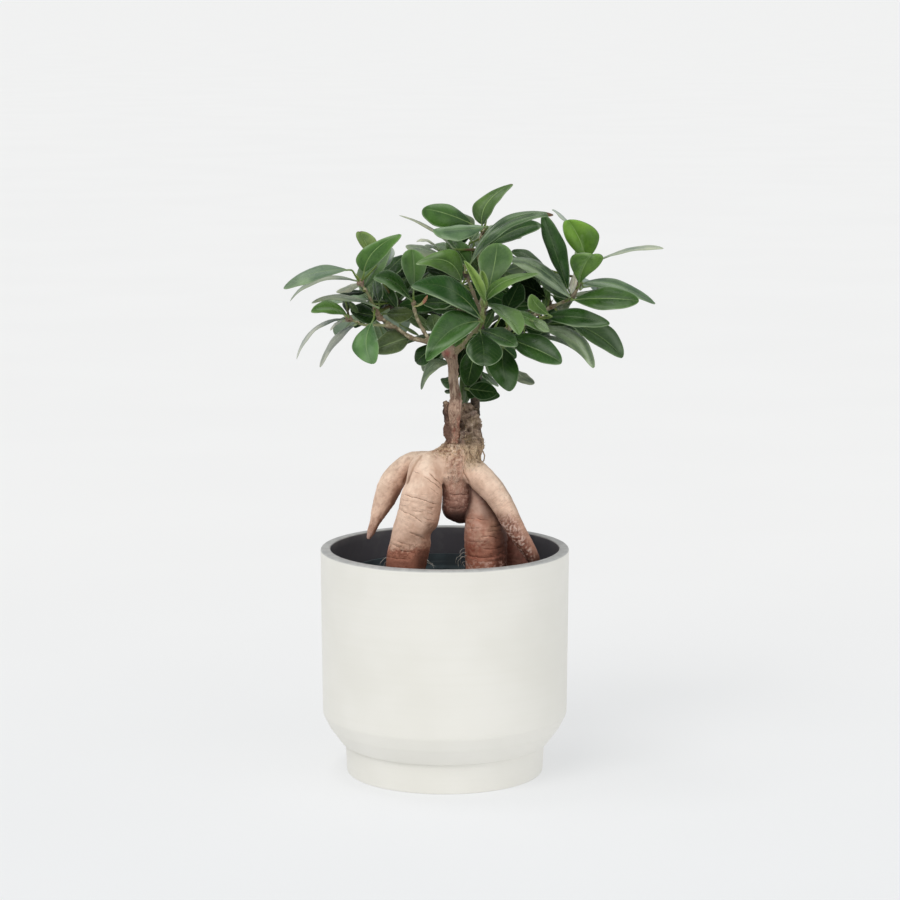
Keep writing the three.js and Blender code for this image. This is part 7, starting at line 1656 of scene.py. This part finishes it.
def build_leaf(k, row, mat):
    name, start, base, mid, tip, left, right = row[0], *[np.array(row[i:i + 3], float) for i in (1, 4, 7, 10, 13, 16)]
    shape, full, tone, stands = row[19], row[20], row[21], row[22]
    rng = seeded(1000 + k)
    control = 2 * mid - 0.5 * (base + tip)

    def spine(s):
        s = np.asarray(s, float)[..., None]
        return (1 - s) ** 2 * base + 2 * s * (1 - s) * control + s * s * tip

    def outline(s):
        s = np.clip(s, 0, 1)
        return np.sin(np.pi * s ** shape) ** (full * (1 - 0.30 * smooth(0.45, 1.0, s)))

    across = unit(left - right)
    length = np.linalg.norm(spine(np.linspace(0, 1, 40))[1:] - spine(np.linspace(0, 1, 40))[:-1], axis=1).sum()
    width = 0.5 * (np.linalg.norm(left) + np.linalg.norm(right))
    rows = 30
    t = np.linspace(0, 1, rows)
    s = 0.006 + 0.990 * (0.5 - 0.5 * np.cos(np.pi * t)) ** 0.92
    s[-1] = 0.996
    at = spine(s)
    tangent = unit(np.gradient(at, axis=0))
    up = unit(np.cross(np.broadcast_to(across, tangent.shape), tangent))
    outward = np.array([mid[0] - 14, mid[1], 0]) / 90
    sunward = (CAM - mid) / 1800 if name in FACED else np.array([0, -0.30, 1.0]) + 0.5 * outward
    if np.dot(up[len(up) // 2], sunward) < 0:
        up = -up
    vs = np.concatenate([-ACROSS[:0:-1], ACROSS])
    f = outline(s)
    phase, waves = rng.uniform(0, 6.28, 2), rng.uniform(1.6, 2.8, 2)
    top, low, attrs = [], [], {"hw": [], "vein": [], "tone": []}
    wide = f * width
    slender = min(1.0, width / 7.0)
    for j, x in enumerate(vs):
        side = left if x < 0 else right
        a = abs(x)
        p = at + (f * a)[:, None] * side
        lift = 0.085 * wide * 4 * a * (1 - a)
        lift = lift - 0.05 * wide * a ** 4
        lift = lift + slender * 0.34 * a * a * np.sin(waves[int(x < 0)] * 2 * np.pi * s + phase[int(x < 0)]) * np.sin(np.pi * s)
        lift = lift + slender * 0.16 * noise3(np.c_[s * 5 + k, np.full(rows, x * 2.0), np.full(rows, 0.5)], 7)
        # the blade swells slightly between its side veins
        lift = lift + slender * 0.05 * np.sin(2 * np.pi * (s * length - a * wide * 0.95) / 3.4) * (a > 0.1) * (a < 0.9)
        groove = -0.13 * np.exp(-(a * wide / 0.55) ** 2) * (1 - 0.6 * s)
        thick = (0.17 + 0.10 * (1 - a)) * (0.45 + 0.55 * smooth(0, 0.08, s) * smooth(1.0, 0.93, s))
        if a == 1:
            thick = thick * 0.45
        top.append(p + up * (lift + groove + thick)[:, None])
        low.append(p + up * (lift - thick)[:, None])
        attrs["hw"].append(np.maximum(wide, 0.05))
        attrs["vein"].append((s * length - a * wide * 0.95) / 3.4)
    cols = len(vs)
    top, low = np.array(top).transpose(1, 0, 2), np.array(low).transpose(1, 0, 2)
    v = np.concatenate([top.reshape(-1, 3), low.reshape(-1, 3)])
    m = rows * cols
    faces = []
    for i in range(rows - 1):
        for j in range(cols - 1):
            a, b, c, d = i * cols + j, i * cols + j + 1, (i + 1) * cols + j + 1, (i + 1) * cols + j
            faces.append([a, b, c, d])
            faces.append([m + a, m + d, m + c, m + b])
        for j, flip in ((0, False), (cols - 1, True)):
            a, d = i * cols + j, (i + 1) * cols + j
            faces.append([a, m + a, m + d, d][::-1] if flip else [a, m + a, m + d, d][::1])
    for i, flip in ((0, True), (rows - 1, False)):
        for j in range(cols - 1):
            a, b = i * cols + j, i * cols + j + 1
            faces.append([a, m + a, m + b, b] if flip else [a, b, m + b, m + a])
    # all outward: turn the lot if the top faces came out looking down
    tri = v[faces[0][:3]]
    probe = faces[(rows // 2) * (cols - 1) * 2]
    q = v[probe]
    if np.dot(np.cross(q[2] - q[0], q[3] - q[1]), up[rows // 2]) < 0:
        faces = [face[::-1] for face in faces]
    hw = np.tile(np.array(attrs["hw"]).T.ravel(), 2)
    vein = np.tile(np.array(attrs["vein"]).T.ravel(), 2)
    uv = np.tile(np.c_[np.repeat(s, cols), np.tile(0.5 + 0.5 * vs, rows)], (2, 1))
    under = np.concatenate([np.zeros(m), np.ones(m)])
    # the tint varies a little from leaf to leaf and along the blade
    shade = SHADE_OF.get(name, BY_SLOT[tone])
    green = linear(*GREENS[shade])
    tint = green * (1 + 0.06 * rng.standard_normal()) * (1 + np.array([0.07, 0.02, 0.06]) * rng.standard_normal(3))
    along = np.tile(np.repeat(s, cols), 2)
    tint = tint * (1 + 0.14 * (along - 0.5))[:, None]
    tint = np.clip(tint, 0.004, 0.9)
    sheen = np.zeros(len(v))
    if name in SHEEN:
        px, py = picture(v)
        for mark, reach, power in SHEEN[name]:
            sheen = sheen + power * np.exp(-(line_distance(px, py, mark) / reach) ** 2)
    # strength of the pale margin: dimmed on the night and inner blades as painted shade, stronger along painted
    # highlights and weaker along painted shade
    rim = {"night": 0.10, "inner": 0.25, "silver": 0.3, "ash": 0.3}.get(shade, 0.66 if tone not in (4, 6) else 0.5)
    rim = 0.22 if name.startswith("inner_shade") else rim
    rim = np.clip(rim * (0.62 if name in SHEEN else 1.0) + 0.75 * np.maximum(sheen, 0) - 0.5 * np.maximum(-sheen, 0), 0, 1)
    burn = BURNT.get(name, 0.30 if rng.random() < 0.10 else 0.0) * smooth(0.90, 0.985, along)
    zero = np.zeros(len(v))
    # on the night and inner blades the pale midrib, and on the night, inner, moss and dark ones the pale underside, are
    # dimmed as painted shade
    parts = [(v, faces, {"tint": tint, "hw": hw, "vein": vein, "under": under, "stalk": zero, "wood": zero, "burn": burn,
                         "edge": rim, "sheen": sheen, "shine": np.full(len(v), SHINE.get(shade, 0.9)), "riblight": np.full(len(v), RIBS.get(name, {"night": 0.1, "inner": 0.25}.get(shade, 0.55))),
                         "palelow": np.full(len(v), {"night": 0.0, "inner": 0.06, "moss": 0.2, "dark": 0.3, "pale": 0.12, "silver": 0.08, "ash": 0.08, "sage": 0.15}.get(shade, 0.45)),
                         "streak": np.full(len(v), STREAKED.get(name, 0.25 if tone == 3 else 0.0)),
                         "seed": np.full(len(v), float(k)), "uv": uv})]
    # stalk, running on under the blade as the keel of the midrib
    gap = np.linalg.norm(base - start)
    way = unit(base - start) if gap > 1e-6 else -tangent[0]
    first = start - way * 1.5
    long_stalk = gap > 16
    pts = [[*first, 0.85 if long_stalk else 0.72], [*(start + way * min(0.6, gap * 0.3)), 0.80 if long_stalk else 0.66]]
    if gap > 3.5:
        bend = base - tangent[0] * min(2.2, gap * 0.35)
        sag = start + (bend - start) * 0.5 + np.array([0, 0, -0.02 * gap])
        pts.append([*sag, 0.70 if long_stalk else 0.56])
        pts.append([*bend, 0.56])
    for x in (0.02, 0.12, 0.3, 0.5, 0.7, 0.88):
        i = int(np.argmin(abs(s - x)))
        r = (0.56 - 0.46 * x) * (0.75 + 0.25 * slender)
        pts.append([*(at[i] - up[i] * (0.10 + 0.16 * min(1, x * 12))), r])
    tv, tf, ts, _ = tube(pts, 8, 1.6)
    done = smooth(gap - 1.0, gap + 1.5, ts)
    wood = 1 - smooth(gap * 0.45, gap * 0.7, ts) if long_stalk else 0.55 * (1 - smooth(0.0, 3.5, ts))
    n = len(tv)
    parts.append((tv, tf, {"tint": np.tile(np.clip(green, 0.004, 1), (n, 1)), "palelow": np.full(n, 0.1 if shade in ("night", "inner") else 0.4), "hw": np.full(n, 1.0), "vein": np.zeros(n),
                           "under": done, "stalk": 1 - 0.8 * done, "wood": wood, "sheen": np.zeros(n), "shine": np.full(n, 0.5), "riblight": np.full(n, 0.4), "burn": np.zeros(n), "edge": np.zeros(n), "streak": np.zeros(n),
                           "seed": np.full(n, float(k)), "uv": np.c_[np.clip((ts - gap) / length, 0, 1), np.full(n, 0.5)]}))
    v, faces, at_ = merge(parts)
    uv = at_.pop("uv")
    ob = new_mesh("leaf_" + name, v, faces, list(at_.items()), uv)
    paint(ob, mat)
    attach(ob, "root")
    if stands:
        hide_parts(name)
    return ob


# ------------------------------------------------------------------------------------------------ buds and rootlets
def build_buds():
    """The slender leaf buds at the twig ends."""
    g = Graph("leaf_bud")
    at = g.where()
    fine, mid = g.noise(at, 1600, 3), g.noise(at, 420, 2)
    col = g.mix(g.step(mid, 0.3, 0.7, 0.0, 0.5), g.attr("skin").outputs["Color"], linear(120, 132, 66))
    g.set(Base_Color=col, Roughness=g.step(mid, 0.3, 0.7, 0.38, 0.5), Normal=g.bump(g.math("ADD", fine, mid), 0.3, 0.0003))
    number = 0
    first_bud = [[-18.5, -10, 284.8, 0.5], [-16.7, -12, 285.2, 0.5], [-15.1, -14, 286, 0.6], [-13.5, -16, 287.1, 0.8], [-12.2, -17, 288.5, 1], [-11.2, -18, 290.1, 0.95], [-10.5, -19, 291.5, 0.6], [-10.2, -19.5, 292.4, 0.15]]
    red, pale, green = linear(150, 84, 60), linear(176, 176, 118), linear(128, 146, 72)
    made = []
    for stem in ("front", "rear"):
        for b, rows in enumerate(STEMS[stem]):
            rows = np.array(rows, float)
            if b == 0 or rows[-1, 3] > 1.25:
                continue
            way = unit(rows[-1, :3] - rows[-2, :3]) + np.array([0, 0, 0.35])
            made.append((rows[-1, :3], unit(way), 6.5, 0.85, red if (stem, b) in (("front", 4), ("front", 6)) else (pale if b % 2 else green)))
    v, f, s, a = tube(first_bud, 12, 0.5)
    up = s / s.max()
    skin = pale + (linear(172, 104, 88) - pale) * smooth(0.60, 0.72, up + 0.08 * np.sin(a))[:, None]
    skin = skin + (linear(134, 60, 46) - skin) * (smooth(0.55, 0.7, up) * np.exp(-((np.mod(a - 1.2, 2 * np.pi) - np.pi) / 0.8) ** 2))[:, None]
    ob = new_mesh("leaf_bud_red", v, f, [("skin", np.clip(skin, 0.01, 1))])
    paint(ob, g.mat)
    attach(ob, "root")
    rng = seeded(5)
    for p, way, length, r, tone in made:
        number += 1
        side = unit(np.cross(way, [0.3, 1, 0.2]))
        bend = side * rng.uniform(-0.8, 0.8)
        pts = [[*(p - way * 0.6), r * 0.8], [*(p + way * 0.8), r], [*(p + way * length * 0.35 + bend * 0.3), r * 0.85],
               [*(p + way * length * 0.7 + bend * 0.7), r * 0.45], [*(p + way * length + bend), 0.10]]
        v, f, s, a = tube(pts, 10, 0.5)
        # two overlapping scales: a spiral seam
        seam = np.exp(-((np.mod(a - s * 0.35, 2 * np.pi) - np.pi) / 0.35) ** 2)
        skin = tone * (1 - 0.35 * seam)[:, None] * (0.85 + 0.3 * (s / s.max()))[:, None]
        ob = new_mesh("leaf_bud_%02d" % number, v, f, [("skin", np.clip(skin, 0.01, 1))])
        paint(ob, g.mat)
        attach(ob, "root")


ROOTLETS = {
    "right_leg_rootlets": [
        [(13.4, -9, 139.1), (11.3, -9, 138.2), (9.8, -9, 136.4), (9.2, -9, 133.9)],
        [(13.4, -9, 136.4), (11, -9, 135.7), (8.3, -9, 133.9), (6.8, -9, 130.8), (7.1, -9, 129)],
        [(12.8, -9, 132.7), (10.4, -9, 133.6), (9.2, -9, 131.5), (9.8, -9, 128.4)],
        [(13.4, -9, 134.5), (11.6, -9, 133.3), (8, -9, 130.8), (7.7, -9, 127.2)],
        [(13.4, -9, 130.8), (11.6, -9, 130.2), (11.3, -9, 127.2)],
    ],
    "left_leg_rootlets": [
        [(-32.2, -17, 135.5), (-34.6, -17, 134.2), (-37, -17, 133), (-39.4, -17, 130.3)],
        [(-32.2, -17, 133.6), (-34.6, -17, 132.1), (-36.4, -17, 131.2), (-37.3, -17, 128.7)],
    ],
    "centre_rootlets": [
        [(-10.6, -19, 133.4), (-8.5, -19, 131.9), (-7, -19, 131), (-6.7, -19, 128.5)],
        [(-10.6, -19, 132.2), (-8.2, -19, 130.4), (-5.5, -19, 129.8)],
    ],
}


def build_rootlets():
    """Fine pale rootlets at the feet of the roots."""
    g = Graph("rootlet")
    at = g.where()
    mid = g.noise(at, 500, 3)
    col = g.mix(g.step(mid, 0.3, 0.7), linear(214, 211, 203), linear(140, 134, 122))
    g.set(Base_Color=col, Roughness=g.step(mid, 0.3, 0.7, 0.6, 0.75), Normal=g.bump(mid, 0.3, 0.0003))
    rng = seeded(77)
    for name, strings in ROOTLETS.items():
        parts = []
        for k, line in enumerate(strings):
            c = curve_points([[*p, 0.21 - 0.03 * (k % 3)] for p in line], 0.7)
            t = np.linspace(0, 1, len(c))
            c[:, 3] *= 1 - 0.65 * t
            c[:, :3] += (0.75 * smooth(0.0, 0.3, t))[:, None] * np.c_[noise3(c[:, :3] / 2.2, 3 * k), noise3(c[:, :3] / 2.2, 3 * k + 40), noise3(c[:, :3] / 2.2, 3 * k + 80)]
            v, f, _, _ = tube(c, 7, None)
            parts.append((v, f, {}))
        v, f, _ = merge(parts)
        ob = new_mesh(name, v, f)
        paint(ob, g.mat)
        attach(ob, "root")
    spots = [("outer_rootlets", (50, -20, 110), 5, 8), ("back_rootlets", (38, 20, 110), 6, 8)]
    for name, at0, count, high in spots:
        parts = []
        for k in range(count):
            p = np.array(at0) + rng.normal(0, 1.6, 3) * np.array([1, 1, 0.3])
            p[2] = 106.2
            way = unit(np.array([rng.normal(0, 0.5), rng.normal(0, 0.5), 1.2]))
            rows = []
            length = high * rng.uniform(0.5, 1.1)
            for j in range(9):
                rows.append([*p, 0.28 * (1 - 0.7 * j / 8)])
                way = unit(way + rng.normal(0, 0.30, 3) + np.array([0, 0, -0.10 * j / 4]))
                p = p + way * length / 8
            v, f, _, _ = tube(rows, 6, None)
            parts.append((v, f, {}))
        v, f, _ = merge(parts)
        ob = new_mesh(name, v, f)
        paint(ob, g.mat)
        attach(ob, "root")


# ------------------------------------------------------------------------------------------------ stage, light, camera
def build_stage():
    # a pale floor that runs to the horizon
    count, v, f = 96, [(0, 0, -0.05)], []
    rings = [300, 1200, 5000, 20000, 90000, 600000]
    for r in rings:
        v += [(r * math.cos(a), r * math.sin(a), -0.05) for a in np.arange(count) * 2 * math.pi / count]
    for k in range(count):
        f.append([0, 1 + k, 1 + (k + 1) % count])
    for i in range(len(rings) - 1):
        for k in range(count):
            a, b = 1 + i * count, 1 + (i + 1) * count
            f.append([a + k, b + k, b + (k + 1) % count, a + (k + 1) % count])
    ob = new_mesh("floor", v, f)
    paint(ob, floor_material())


def lamp(name, place, aim, size, power, colour):
    data = bpy.data.lights.new(name, "AREA")
    data.shape, data.size, data.energy, data.color = "DISK", size, power, colour
    ob = bpy.data.objects.new(name, data)
    bpy.context.scene.collection.objects.link(ob)
    from mathutils import Vector
    ob.location = place
    ob.rotation_euler = (Vector(aim) - Vector(place)).to_track_quat("-Z", "Y").to_euler()


def sun(name, source, power, spread, colour):
    """A far soft source: light comes from the direction given."""
    data = bpy.data.lights.new(name, "SUN")
    data.energy, data.angle, data.color = power, math.radians(spread), colour
    ob = bpy.data.objects.new(name, data)
    bpy.context.scene.collection.objects.link(ob)
    from mathutils import Vector
    ob.rotation_euler = Vector(source).to_track_quat("Z", "Y").to_euler()


def build_light():
    world = bpy.data.worlds.new("studio")
    bpy.context.scene.world = world
    world.use_nodes = True
    bg = world.node_tree.nodes["Background"]
    bg.inputs[0].default_value = (0.965, 0.985, 1.0, 1)
    bg.inputs[1].default_value = 0.62
    sun("key", (-0.36, -0.61, 0.71), 1.02, 36, (1.0, 0.985, 0.96))
    sun("fill", (0.72, -0.60, 0.34), 0.42, 60, (1.0, 0.99, 0.97))
    sun("top", (-0.35, 0.20, 2.0), 0.32, 16, (1.0, 0.995, 0.98))
    bpy.context.scene.view_settings.view_transform = "Standard"
    bpy.context.scene.view_settings.look = "None"


def build_camera():
    data = bpy.data.cameras.new("camera")
    data.sensor_width, data.sensor_fit = 36, "HORIZONTAL"
    data.lens = FOCAL / 900 * 36
    data.clip_start, data.clip_end = 0.05, 900
    ob = bpy.data.objects.new("camera", data)
    bpy.context.scene.collection.objects.link(ob)
    ob.location = tuple(CAM * MM)
    ob.rotation_euler = (math.pi / 2 - TILT, 0, 0)
    bpy.context.scene.camera = ob


build_camera()
build_light()
build_stage()
build_cachepot()
build_nursery_pot()
build_soil()
build_rootstock()
build_front_stem()
build_rear_stem()
LEAF = leaf_material()
for number, row in enumerate(LEAVES):
    build_leaf(number, row, LEAF)
build_buds()
build_rootlets()
